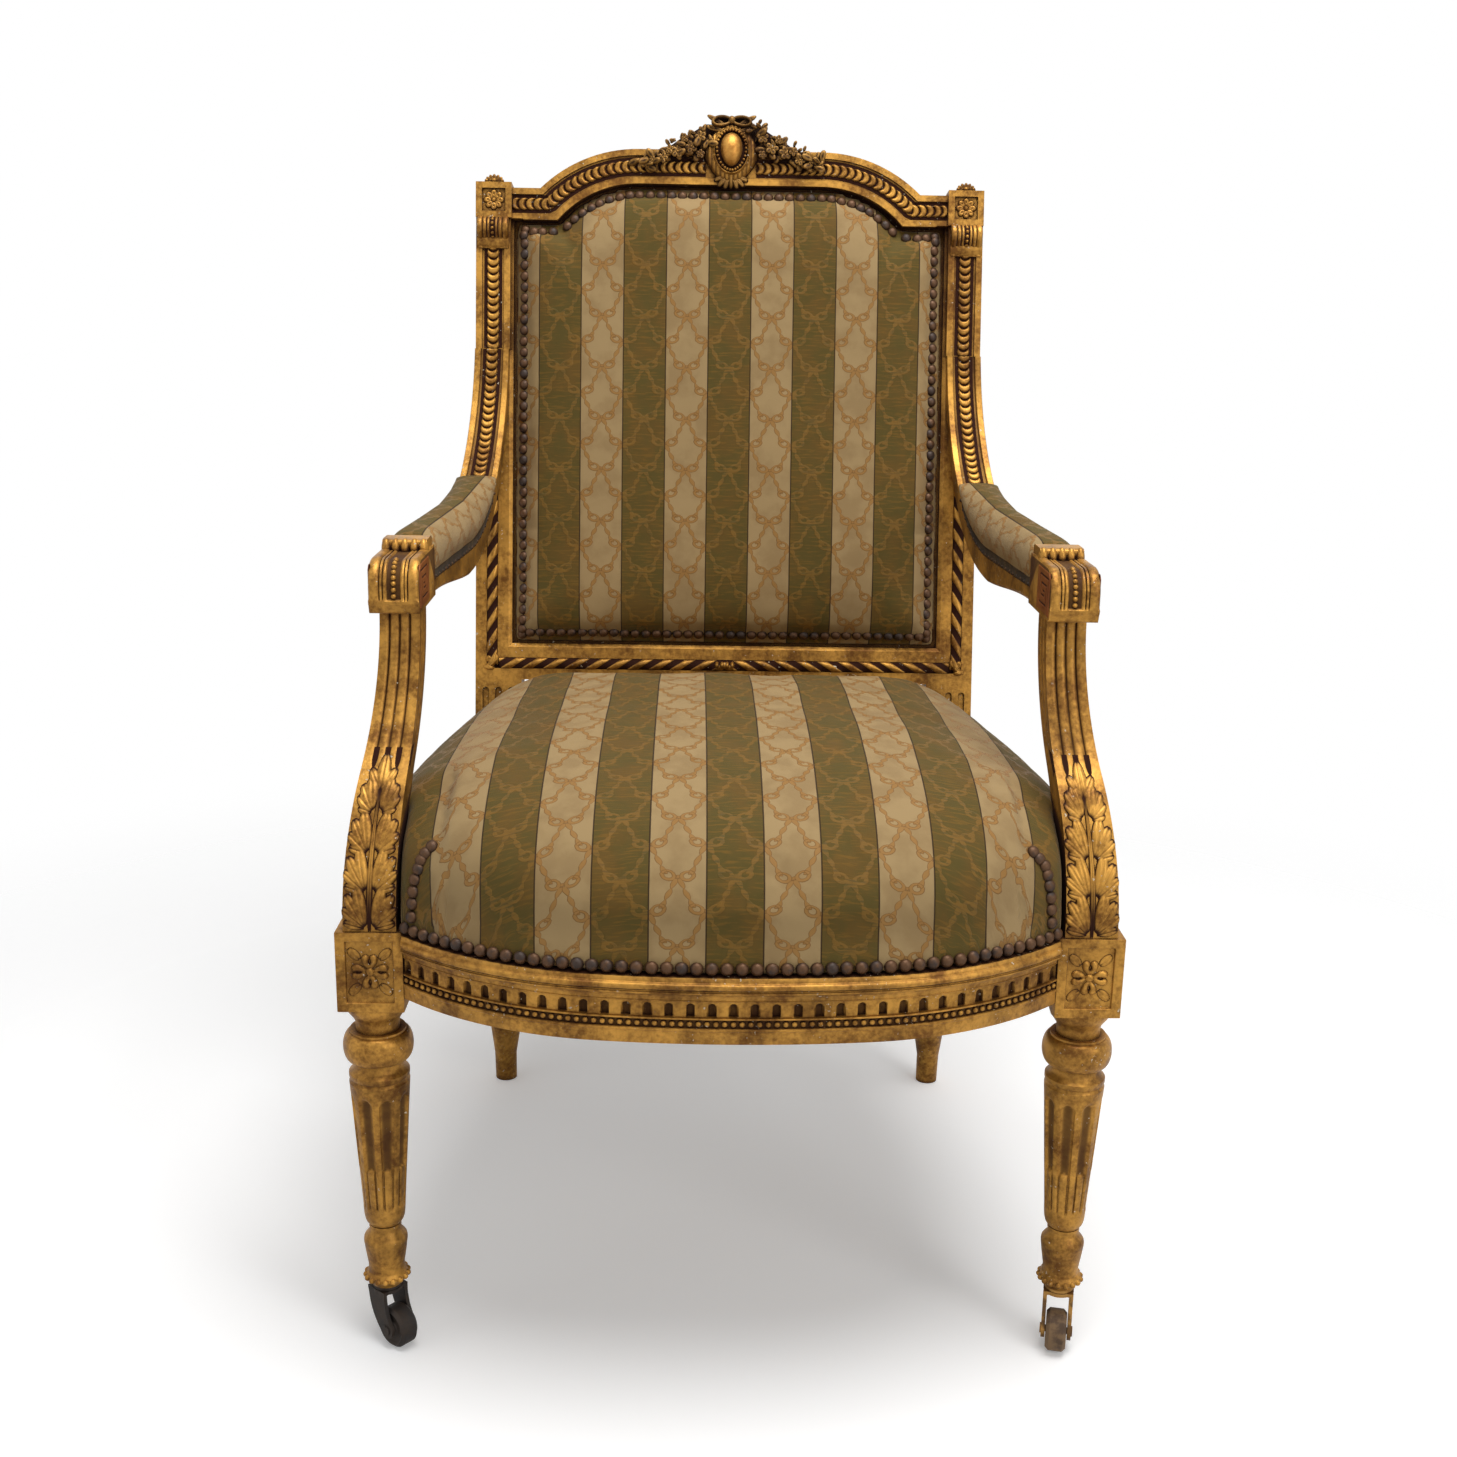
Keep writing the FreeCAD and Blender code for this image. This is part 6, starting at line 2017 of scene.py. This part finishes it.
@dataclass(frozen=True)
class Arm:
    """The arm: handle with reeds and pearls, gadrooned cap, rail and sweep to the stile."""

    middle: float = 284.0
    seat: float = 662.0
    curve: tuple[float, float] = (311.7, 888.7)
    radius: float = 226.6
    sweep_start: float = 143.0
    sweep_turn: float = math.radians(79.0)

    @property
    def level(self) -> float:
        """Returns: the length of the level rail, before the sweep."""
        return self.curve[0] - self.sweep_start

    @property
    def total(self) -> float:
        """Returns: the length of rail and sweep."""
        return self.level + self.radius * self.sweep_turn

    def top(self, y: Array) -> Array:
        """Args: y: depths. Returns: the height of the arm's top under the pad there."""
        ahead = np.maximum(y - self.curve[0], 0.0)
        return self.seat + self.radius - np.sqrt(self.radius ** 2 - ahead ** 2)

    def handle(self) -> Piece:
        """Returns: the handle, moulded round its front."""
        line = [(146, 694), (112, 694), (96, 694)]
        line += [(74 - 22 * math.sin(math.radians(a)), 672 + 22 * math.cos(math.radians(a)))
                 for a in range(0, 91, 6)]
        line += [(52, 668), (52, 661), (52.6, 659), (54.2, 654), (56, 649), (100, 649),
                 (146, 649), (146, 694)]
        line = np.array(line, float)
        steps = mileage(line)
        total = steps[-1]

        def surface(u: Array, v: Array) -> Mapped:
            """Args: u, v: 0 to 1. Returns: points in mm and hollows."""
            t = u * total
            y, z = np.interp(t, steps, line[:, 0]), np.interp(t, steps, line[:, 1])
            dy, dz = drift(line, steps, t, 0.8)
            size = np.hypot(dy, dz) + 1e-9
            xn = (v * 2 - 1) * 21.0
            ax = np.abs(xn)
            wide = 2.6 * np.sqrt(np.clip(1 - ((ax - 16.3) / 4.4) ** 2, 0, 1)) - 2.2
            fillet = np.where((ax > 9.6) & (ax < 11.4), -0.9, -3.0)
            small = 1.7 * np.sqrt(np.clip(1 - ((ax - 7.4) / 1.8) ** 2, 0, 1)) - 2.6
            form = np.maximum(np.maximum(wide, fillet), np.maximum(small, -3.0))
            end = np.interp(t, steps, np.arange(len(steps)))
            moulded = ramp(t, 4.0, 8.0) * (z > 660.2)
            cross = np.where((z <= 660.2) & (z > 656.0) & (y < 60), 0.5, 0.0)
            cross = np.where((z <= 661.2) & (z > 660.2) & (y < 60), -1.6, cross)
            r = np.where(moulded > 0, form * moulded, cross) * (end < len(steps) - 4)
            hollow = np.where(moulded > 0, ramp(-form, 1.6, 2.6), 0.0)
            return stack(self.middle + xn, y + r * dz / size, z - r * dy / size), hollow

        return loft("handle", 170, 96, surface, 45.0)

    def pearls(self) -> Piece:
        """Returns: the pearls in the handle's channel."""
        places = []
        for k in range(9):
            along = k * 5.4
            if along < 10:
                foot, out = (52.0 + 2.6, 664.0 + along), (-1.0, 0.0)
            else:
                turn = min((along - 8.0) / 22.0, 1.45)
                out = (-math.cos(turn), math.sin(turn))
                foot = (74 + 19.2 * out[0], 672 + 19.2 * out[1])
            places.append(facing((self.middle, foot[0], foot[1]), (0, out[0], out[1])))
        return stamped(bead(2.5, 3.0, 9, 3), places, "handle_pearls")

    def cap(self) -> Piece:
        """Returns: the gadrooned cap behind the handle."""
        places = [facing((self.middle + k * 8.0, 119.0, 694.0), (0, 0, 1), 0, (1.0, 1.5, 1.0))
                  for k in range(-2, 3)]
        lobes = stamped(bead(4.3, 9.0, 14, 5), places, "cap_lobes")

        def surface(u: Array, v: Array) -> Mapped:
            """Args: u, v: 0 to 1. Returns: points in mm and hollows."""
            angle = u * 2 * math.pi
            y = 131.0 + 15.0 * np.sign(np.cos(angle)) * np.abs(np.cos(angle)) ** 0.35
            z = 697.0 + 5.2 * np.sign(np.sin(angle)) * np.abs(np.sin(angle)) ** 0.5
            bulge = 20.6 - 1.5 * (np.abs(v * 2 - 1) > 0.96)
            return stack(self.middle + (v * 2 - 1) * bulge, y, z), np.zeros(len(u))

        return joined([lobes, loft("cap_body", 40, 24, surface, 45.0)], "handle_cap")

    def fret(self, inner: bool) -> Piece:
        """Args: inner: the inner side. Returns: a thin side panel with a cut square spiral."""
        side = -1 if inner else 1
        corners = [(62, 656), (62, 684), (98, 684), (98, 660), (70, 660), (70, 677), (91, 677),
                   (91, 667), (78, 667), (78, 671), (84, 671)]

        def surface(u: Array, v: Array) -> Mapped:
            """Args: u, v: 0 to 1. Returns: points in mm and hollows."""
            y, z = 58.0 + u * 50.0, 652.5 + v * 37.0
            near = np.full(len(u), 99.0)
            for (y0, z0), (y1, z1) in zip(corners, corners[1:]):
                run = np.array((y1 - y0, z1 - z0), float)
                share = np.clip(((y - y0) * run[0] + (z - z0) * run[1]) / (run @ run), 0, 1)
                near = np.minimum(near, np.hypot(y - y0 - share * run[0], z - z0 - share * run[1]))
            cut = 1 - ramp(near, 0.5, 1.3)
            border = np.minimum(np.minimum(u, 1 - u) * 50, np.minimum(v, 1 - v) * 37)
            round_ = np.hypot(np.maximum(74 - y, 0), np.maximum(z - 672, 0)) > 20.5
            height = 0.7 * ramp(border, 0.0, 0.5) - 0.65 * cut
            height = np.where(round_, -0.4, height)
            return stack(self.middle + side * (21.0 + height), y, z), cut * 0.9

        return relief("fret", 110, 84, surface, (side, 0, 0))

    def line(self, share: Array) -> tuple[Array, Array, Array, Array]:
        """Args: share: 0 to 1 along rail and sweep. Returns: y, z, lean and thickness there."""
        along = share * self.total
        flat = along < self.level
        angle = np.clip((along - self.level) / self.radius, 0, None)
        y = np.where(flat, self.sweep_start + along, self.curve[0] + self.radius * np.sin(angle))
        z = np.where(flat, self.seat, self.curve[1] - self.radius * np.cos(angle))
        thick = np.where(flat, 13.0 + 11.0 * ramp(y, 166.0, 330.0),
                         np.interp(angle, (0, 0.5, 1.0, 1.4), (24.0, 22.6, 17.5, 12.5)))
        return y, z, angle, thick

    def plan(self, y: Array) -> Mapped:
        """Args: y: depths. Returns: the arm's middle x and half width there."""
        joint = 541.97
        inner = np.interp(y, (146, 450, joint), (265.0, 243.25, 235.0))
        outer = np.interp(y, (146, 450, joint), (303.0, 282.75, 271.5))
        return (inner + outer) / 2, (outer - inner) / 2

    def sweep(self) -> Piece:
        """Returns: rail and sweep with a sunk channel along the top."""
        def surface(u: Array, v: Array) -> Mapped:
            """Args: u, v: 0 to 1. Returns: points in mm and hollows."""
            y, z, lean, thick = self.line(v)
            middle, half = self.plan(y)
            count = 15
            step = u * count
            inner = half - 6.5
            across = np.stack((-half, -half + 0.6, -inner - 0.6, -inner, -inner + 0.5,
                               inner - 0.5, inner, inner + 0.6, half - 0.6, half,
                               half, half - 2.5, -half + 2.5, -half, -half, -half), -1)
            flat = [np.full(len(u), rise) for rise in (-0.8, 0, 0, -0.5, -2.5)]
            low_side = [3.0 - thick, -thick, -thick, 3.0 - thick, 3.0 - thick]
            up = np.stack((*flat, *flat[::-1], *low_side, flat[0]), -1)
            low = np.clip(np.floor(step).astype(int), 0, count - 1)
            part = step - low
            row = np.arange(len(u))
            a = across[row, low] * (1 - part) + across[row, low + 1] * part
            b = up[row, low] * (1 - part) + up[row, low + 1] * part
            # The channel's floor is marked hollow, which the gilt paints dark as shade and dirt.
            hollow = np.where((b < -1.5) & (b > -2.8) & (np.abs(a) < inner), 0.45, 0.0)
            return stack(middle + a, y - b * np.sin(lean), z + b * np.cos(lean)), hollow

        return loft("sweep", 15 * 4, 110, surface, 35.0)

    def scales(self) -> Piece:
        """Returns: the scales in the sweep's channel, above the pad."""
        start, end = 0.60, 1.0

        def surface(u: Array, v: Array) -> Mapped:
            """Args: u, v: 0 to 1. Returns: points in mm and hollows."""
            share = start + (end - start) * v
            y, z, lean, _ = self.line(share)
            middle, _ = self.plan(y)
            across = (u * 2 - 1) * 10.6
            height, hollow = scales(across, share * self.total)
            b = height - 2.5
            return stack(middle + across, y - b * np.sin(lean), z + b * np.cos(lean)), hollow

        return relief("sweep_scales", 35, 320, surface, (0, -1, 1))

    def build(self, shop: Workshop, gilt: GiltWood) -> None:
        """Args: shop: fits the pieces. gilt: the finish. Returns: nothing."""
        body = joined([self.sweep(), self.handle(), self.cap()], "arm_carved")
        detail = joined([self.pearls(), self.scales()], "arm_detail")
        frets = joined([self.fret(True), self.fret(False)], "arm_frets")
        red = GiltWood("gilt_rubbed_red", (150, 88, 44), (112, 58, 26), (44, 16, 6), 0.25, 0.8, 0.6)
        shop.pair(body, "arm_carved", gilt, "arm")
        shop.pair(detail, "arm_detail", gilt)
        shop.pair(frets, "arm_frets", red)


@dataclass(frozen=True)
class ArmPad:
    """The padded rest on each arm, with its gimp and nails."""

    front: float = 147.5
    rear: float = 458.0

    def lift(self, share: Array) -> Array:
        """Args: share: 0 to 1 along the pad. Returns: how far its top climbs there."""
        return np.interp(share, (0, 0.08, 0.6, 0.92, 1.0), (-3, 0, 3, 12, 15))

    def shape(self) -> Piece:
        """Returns: the right pad before it fills out."""
        arm = Arm()

        def surface(u: Array, v: Array) -> Mapped:
            """Args: u, v: 0 to 1. Returns: points in mm and hollows."""
            y = self.front + (self.rear - self.front) * (0.5 - 0.5 * np.cos(v * math.pi))
            share = (y - self.front) / (self.rear - self.front)
            lift = self.lift(share)
            middle, _ = arm.plan(y)
            round_off = np.clip(np.minimum(v, 1 - v) / 0.14, 0, 1)
            full = np.sqrt(1 - (1 - round_off) ** 2)
            top = arm.seat + 43.0 + lift - 12.0 * (1 - full) * (share < 0.5) - 3.0 * (1 - full)
            floor = np.minimum(arm.top(y) + 0.4, top - 3.0)
            shoulder = floor + (top - floor) * 0.52
            angle = u * 2 * math.pi
            c, k = np.cos(angle), np.sin(angle)
            side = np.sign(c) * np.abs(c) ** 0.62
            half = (19.0 + 3.6 * (1 - np.abs(np.minimum(k, 0)))) * (0.80 + 0.20 * full)
            x = middle + side * half
            z = np.where(k > 0, shoulder + (top - shoulder) * np.abs(k) ** 0.85,
                         shoulder - (shoulder - floor) * np.abs(k) ** 0.5)
            return stack(x, y, z), np.zeros(len(u))

        return loft("arm_rest_pad", 64, 110, surface, 80.0)

    def gimp(self) -> Piece:
        """Returns: the dark braid round the right pad's foot."""
        arm = Arm()

        def surface(u: Array, v: Array) -> Mapped:
            """Args: u, v: 0 to 1. Returns: points in mm and hollows."""
            y = self.front + 1.5 + (self.rear - 30.0 - self.front) * v
            middle, half = arm.plan(y)
            angle = u * 2 * math.pi
            twist = 0.35 * np.sin(y * 2.1 + np.cos(angle) * 2)
            x = middle - half * 1.02 - 0.9 * np.cos(angle) + twist * 0.3
            z = arm.top(y) + 5.2 + (5.0 + twist) * np.sin(angle)
            return stack(x, y, z), np.zeros(len(u))

        inner = loft("gimp_inner", 12, 240, surface)
        outer = twin(inner, "gimp_outer")
        mm = drawn(read_points(outer))
        middle, _ = arm.plan(mm[:, 1])
        mm[:, 0] = 2 * middle - mm[:, 0]
        write_points(outer, world(mm))
        outer.data.flip_normals()
        return joined([inner, outer], "arm_gimp")

    def nails(self) -> Piece:
        """Returns: the small nails along the right pad's braid."""
        arm = Arm()
        places = []
        for y in np.arange(self.front + 6.0, self.rear - 20.0, 13.5):
            middle, half = arm.plan(np.array([y]))
            for hand in (-1, 1):
                foot = (float(middle[0] + hand * half[0] * 1.02), y, float(arm.top(y)) + 2.6)
                places.append(facing(foot, (hand, 0, 0.1)))
        return stamped(bead(1.9, 2.0, 8, 2), places, "arm_nails")

    def build(self, shop: Workshop, silk: StripedSilk, braid: PlainCloth, brass: OldMetal) -> None:
        """Args: shop: fits the pieces. silk, braid, brass: finishes. Returns: nothing."""
        pad = self.shape()

        def cap(points: Array) -> Array:
            """Args: points: metres. Returns: how far each may move, in metres."""
            _, y, z = drawn(points).T
            return 0.004 * ramp(z, 672.0, 690.0)

        swelled(pad, cap, 0.004, 10)
        arm = Arm()

        def place(points: Array, normals: Array) -> Array:
            """Args: points, normals: in metres. Returns: places on the cloth, in metres."""
            x, y, z = drawn(points).T
            middle, _ = arm.plan(y)
            side = x - middle
            share = (y - self.front) / (self.rear - self.front)
            down = np.maximum(700.0 + self.lift(share) - z, 0.0)
            u = side - 13.5 + np.where(side < 0, -1.0, 1.0) * down
            return np.stack((u, y + 11.0 + 0.4 * np.maximum(y - 330.0, 0.0)), -1) * 0.001

        lay_cloth(pad, place)
        gimp, nails = self.gimp(), self.nails()
        for item in shop.pair(pad, "arm_rest_pad", silk, "arm_pad"):
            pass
        shop.pair(gimp, "arm_gimp", braid)
        shop.pair(nails, "arm_nails", brass)


@dataclass(frozen=True)
class CoverNails:
    """Close nailing of the seat and the back."""

    radius: float = 5.6
    height: float = 4.6
    inset: float = 5.4

    def row(self, name: str, cover: Piece, targets: Sequence[Array],
            way: tuple[float, float, float]) -> Piece:
        """Sets a row of nails.

        Args:
            name: its name. cover: what they are driven into. targets: places before it.
            way: leans their heads that way.

        Returns:
            The nails.
        """
        places = []
        for target in targets:
            _, spot, normal, _ = cover.closest_point_on_mesh(spot_of(*target))
            mm = drawn(spot)
            out = np.array(normal) + way
            places.append(facing(mm + out / np.linalg.norm(out) * 0.6, out))
        return stamped(bead(self.radius, self.height, 12, 4), places, name)

    def back_line(self) -> Path:
        """Returns: the right half of the back's nail line, from the foot's middle up."""
        inset = self.inset
        side, low = BACK_HALF - inset, BACK_LOW + inset
        ear, top = BACK_EAR - inset, BACK_TOP - inset
        radius, climb = ARCH_RADIUS - inset, ear - ARCH_RISE
        cusp = ARCH_X + math.sqrt(radius ** 2 - climb ** 2)
        angle = math.degrees(math.asin(climb / radius))
        return Path((Run((0, low), (side, low), (0, 1)), Run((side, low), (side, ear), (1, 0)),
                     Run((side, ear), (cusp, ear), (0, 1)),
                     Arc((ARCH_X, ARCH_RISE), radius, angle, 90),
                     Run((ARCH_X, top), (0, top), (0, 1))))

    def build(self, shop: Workshop, seat: Piece, back: Piece,
              brass: OldMetal) -> None:
        """Args: shop. seat, back: the covers. brass: the finish. Returns: nothing."""
        half = self.back_line()
        count = round(half.length / 11.5)
        points, _ = half.at((np.arange(count) + 0.5) / count * half.length)
        targets = [leaned(hand * x, -12.0, rise) for x, rise in points for hand in (-1, 1)]
        shop.fit(self.row("back_nails", back, targets, (0.0, -2.0, 0.4)), brass, ())
        targets = []
        front = front_path()
        count = round(front.length / 11.7)
        points, normals = front.at((np.arange(count) + 0.5) / count * front.length)
        for point, normal in zip(points, normals):
            spot = point + normal * 3.0
            targets.append((spot[0], spot[1], 404.0))
        side = side_path()
        count = round((side.length - 14) / 11.7)
        points, normals = side.at(10 + (np.arange(count) + 0.5) / count * (side.length - 14))
        for point, normal in zip(points, normals):
            spot = point + normal * 3.0
            for hand in (-1, 1):
                targets.append((hand * spot[0], spot[1], 404.0))
        for k in range(8):
            z = 415.5 + 11.2 * k
            x = 269.0 - max(0.0, (k - 5)) * 4.0
            for hand in (-1, 1):
                targets.append((hand * x, -45.0 + 0.05 * k, z + 2.0))
        shop.fit(self.row("seat_nails", seat, targets, (0.0, -0.4, 0.0)), brass, ())


@dataclass(frozen=True)
class HiddenCloth:
    """The cloth on the rear of the back and the webbing under seat and back."""

    strap: float = 62.0
    thick: float = 1.4

    def outer(self) -> Piece:
        """Returns: the stretched sheet on the rear of the back."""
        back = Back()

        def surface(u: Array, v: Array) -> Mapped:
            """Args: u, v: 0 to 1. Returns: points in mm and hollows."""
            angle = u * 2 * math.pi
            reach = star(lambda x, rise: back.inside(x, rise, -1.2), BACK_MIDDLE, angle)
            inward = np.clip((v - 0.03) / 0.97, 0, 1)
            spread = reach * (1 - ramp(v, 0.03, 1.0) * 0.35 - 0.65 * inward)
            x, rise = spread * np.cos(angle), 285.0 + spread * np.sin(angle)
            dip = wave_noise(stack(x, 0 * x, rise), 130.0, 21) * 0.5 + 0.9 * np.sin(math.pi * v)
            depth = 36.4 + 2.2 * ramp(v, 0.0, 0.02) - dip * ramp(v, 0.02, 0.2)
            return leaned(x, depth, rise), 0 * u

        return loft("outer_back_sheet", 260, 60, surface, 60.0, False)

    def band(self, name: str, start: Array, end: Array, wide: Array,
             sag: float) -> Piece:
        """One strap.

        Args:
            name: its name. start, end: the middles of its ends. wide: its width as a vector.
            sag: how far its middle hangs, in mm.

        Returns:
            The strap.
        """
        along = (end - start) / np.linalg.norm(end - start)
        across = wide / np.linalg.norm(wide)
        up = np.cross(along, across)

        def surface(u: Array, v: Array) -> Mapped:
            """Args: u, v: 0 to 1. Returns: points in mm and hollows."""
            step = u * 26
            side = np.interp(step, (0, 12, 13, 25, 26), (-0.5, 0.5, 0.5, -0.5, -0.5))
            high = np.interp(step, (0, 12, 13, 25, 26), (-0.5, -0.5, 0.5, 0.5, -0.5))
            hang = -sag * np.sin(math.pi * v) * (1 - 0.4 * (2 * side) ** 2)
            spot = start + (end - start) * v[:, None] + side[:, None] * wide
            return spot + up * (high * self.thick + hang)[:, None], 0 * u

        return loft(name, 26, 60, surface, 40.0)

    def seat_straps(self) -> list[Piece]:
        """Returns: the eleven straps under the seat."""
        bands = []
        for k in range(6):
            x = (k - 2.5) * (self.strap + 12)
            edge = abs(x) + self.strap / 2
            front = -112.0
            if edge > 110:
                front = END_Y - math.sqrt(END_RADIUS ** 2 - (edge - END_X) ** 2)
            start, end = np.array((x, front + 12, 339.2)), np.array((x, 491.3, 339.2))
            bands.append(self.band(f"strap_{k}", start, end, np.array((self.strap, 0, 0)), -0.5))
        for k in range(5):
            y = 68 + (k + 0.5) * 71.46
            half = -1633.8 + math.sqrt(1941.2 ** 2 - (y + 42.2) ** 2)
            start, end = np.array((-half, y, 337.7)), np.array((half, y, 337.7))
            bands.append(self.band(f"strap_{k + 6}", start, end, np.array((0, self.strap, 0)), 0.8))
        return bands

    def back_straps(self) -> list[Piece]:
        """Returns: the five straps across the back."""
        bands = []
        for k in range(5):
            rise = 47.5 + (k + 0.5) * 87.9
            low, middle, high = (leaned(0, 7.25, rise + share * self.strap)
                                 for share in (-0.5, 0.0, 0.5))
            start, end = middle - (229.0, 0, 0), middle + (229.0, 0, 0)
            bands.append(self.band(f"back_strap_{k}", start, end, high - low, 0.3))
        return bands

    def build(self, shop: Workshop, cloth: PlainCloth, web: PlainCloth) -> None:
        """Args: shop: fits the pieces. cloth, web: finishes. Returns: nothing."""
        sheet = self.outer()
        shop.fit(sheet, cloth, ["outer_back"])
        for part, straps in (("seat", self.seat_straps()), ("back", self.back_straps())):
            shop.fit(joined(straps, f"{part}_straps"), web, [f"{part}_webbing"])


@dataclass(frozen=True)
class Studio:
    """The camera of the photograph, a pale floor and soft light."""

    lens: float = 42.458
    place: tuple[float, float, float] = (-0.03667, -1.605495, 0.92797)
    down: float = 14.84
    yaw: float = 1.32
    roll: float = 1.01

    def camera(self) -> None:
        """Sets the camera. Returns: nothing."""
        p, y, r = (math.radians(a) for a in (self.down, self.yaw, self.roll))
        ahead = Vector((math.sin(y) * math.cos(p), math.cos(y) * math.cos(p), -math.sin(p)))
        right = Vector((math.cos(y), -math.sin(y), 0.0))
        up = right.cross(ahead)
        across = math.cos(r) * right + math.sin(r) * up
        tall = -math.sin(r) * right + math.cos(r) * up
        axes = Matrix((across, tall, -ahead)).transposed().to_4x4()
        bpy.ops.object.camera_add()
        camera = bpy.context.object
        camera.name = "camera"
        camera.data.sensor_width = 36.0
        camera.data.sensor_fit = "HORIZONTAL"
        camera.data.lens = self.lens
        camera.matrix_world = Matrix.Translation(Vector(self.place)) @ axes
        bpy.context.scene.camera = camera

    def lamp(self, name: str, place: Sequence[float], aim: Sequence[float], size: float,
             power: float) -> None:
        """Args: name. place, aim: metres. size: metres. power: watts. Returns: nothing."""
        way = Vector(aim) - Vector(place)
        bpy.ops.object.light_add(type="AREA", location=place,
                                 rotation=way.to_track_quat("-Z", "Y").to_euler())
        light = bpy.context.object
        light.name = name
        light.data.shape = "DISK"
        light.data.size = size
        light.data.energy = power

    def build(self, shop: Workshop) -> None:
        """Args: shop: makes the floor's finish. Returns: nothing."""
        self.camera()
        bpy.ops.mesh.primitive_plane_add(size=30.0, location=(0, 0, -0.0005))
        floor = bpy.context.object
        floor.name = "floor"
        floor.data.materials.append(shop.finish(Floor()))
        self.lamp("high_light", (0.3, -0.5, 2.9), (0.0, 0.0, 0.5), 1.9, 66.0)
        self.lamp("front_light", (2.0, -2.3, 1.6), (0.0, 0.0, 0.5), 1.2, 20.0)
        self.lamp("left_light", (-2.6, -1.2, 1.5), (0.0, 0.0, 0.5), 1.6, 4.0)
        world_ = bpy.data.worlds.new("soft_white")
        bpy.context.scene.world = world_
        world_.use_nodes = True
        tree = world_.node_tree
        background = tree.nodes["Background"]
        rays = tree.nodes.new("ShaderNodeLightPath")
        seen = None
        for name in ("Is Glossy Ray", "Is Transmission Ray"):
            total = tree.nodes.new("ShaderNodeMath")
            total.operation = "ADD"
            total.use_clamp = True
            first = seen if seen is not None else rays.outputs["Is Camera Ray"]
            tree.links.new(first, total.inputs[0])
            tree.links.new(rays.outputs[name], total.inputs[1])
            seen = total.outputs[0]
        level = tree.nodes.new("ShaderNodeMapRange")
        tree.links.new(seen, level.inputs["Value"])
        level.inputs["To Min"].default_value = 0.3
        level.inputs["To Max"].default_value = 1.0
        background.inputs["Color"].default_value = (1.0, 1.0, 1.0, 1.0)
        tree.links.new(level.outputs["Result"], background.inputs["Strength"])
        bpy.context.scene.view_settings.view_transform = "Standard"


def main() -> None:
    """Builds every sub-assembly. Returns: nothing."""
    logging.basicConfig(level=logging.INFO, format="%(name)s: %(message)s")
    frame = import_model()
    shop = Workshop(frame["nodes"])
    gilt = GiltWood()
    silk = StripedSilk()
    for node in frame["nodes"]:
        shop.dress(node, gilt)
    for node in ("corner_braces", "rear_rail"):
        shop.dress(node, PlainWood())
    shop.dress("seat_springs", OldMetal("spring_steel", (96, 82, 70), (58, 42, 30)))
    dark = OldMetal("castor_dark", (52, 42, 34), (28, 21, 16), 0.45, 0.5)
    brass = OldMetal("castor_brass", (168, 126, 66), (96, 68, 36))
    tread = OldMetal("castor_tread", (116, 90, 60), (74, 54, 36), 0.1, 0.6)
    for part in ("plate", "fork", "axle", "wheel"):
        shop.dress(f"castor_{part}_left", dark)
        shop.dress(f"castor_{part}_right", tread if part == "wheel" else brass)
    SeatRails().build(shop, gilt)
    FrontLegs().build(shop, gilt)
    ArmSupport().build(shop, gilt)
    Arm().build(shop, gilt)
    BackFrame().build(shop, gilt)
    Crest().build(shop, gilt)
    nail = OldMetal("nail_bronze", (84, 56, 32), (42, 25, 13), 0.55, 0.36)
    seat = Seat().build(shop, silk)
    back = Back().build(shop, silk)
    braid = PlainCloth("gimp_braid", (70, 52, 24), (38, 26, 11), 700.0)
    ArmPad().build(shop, silk, braid, nail)
    CoverNails().build(shop, seat, back, nail)
    HiddenCloth().build(shop, PlainCloth("outer_cloth", (100, 86, 46), (80, 66, 34), 1100.0),
                        PlainCloth("webbing", (150, 122, 82), (96, 74, 46), 700.0))
    Studio().build(shop)


if __name__ == "__main__":
    main()
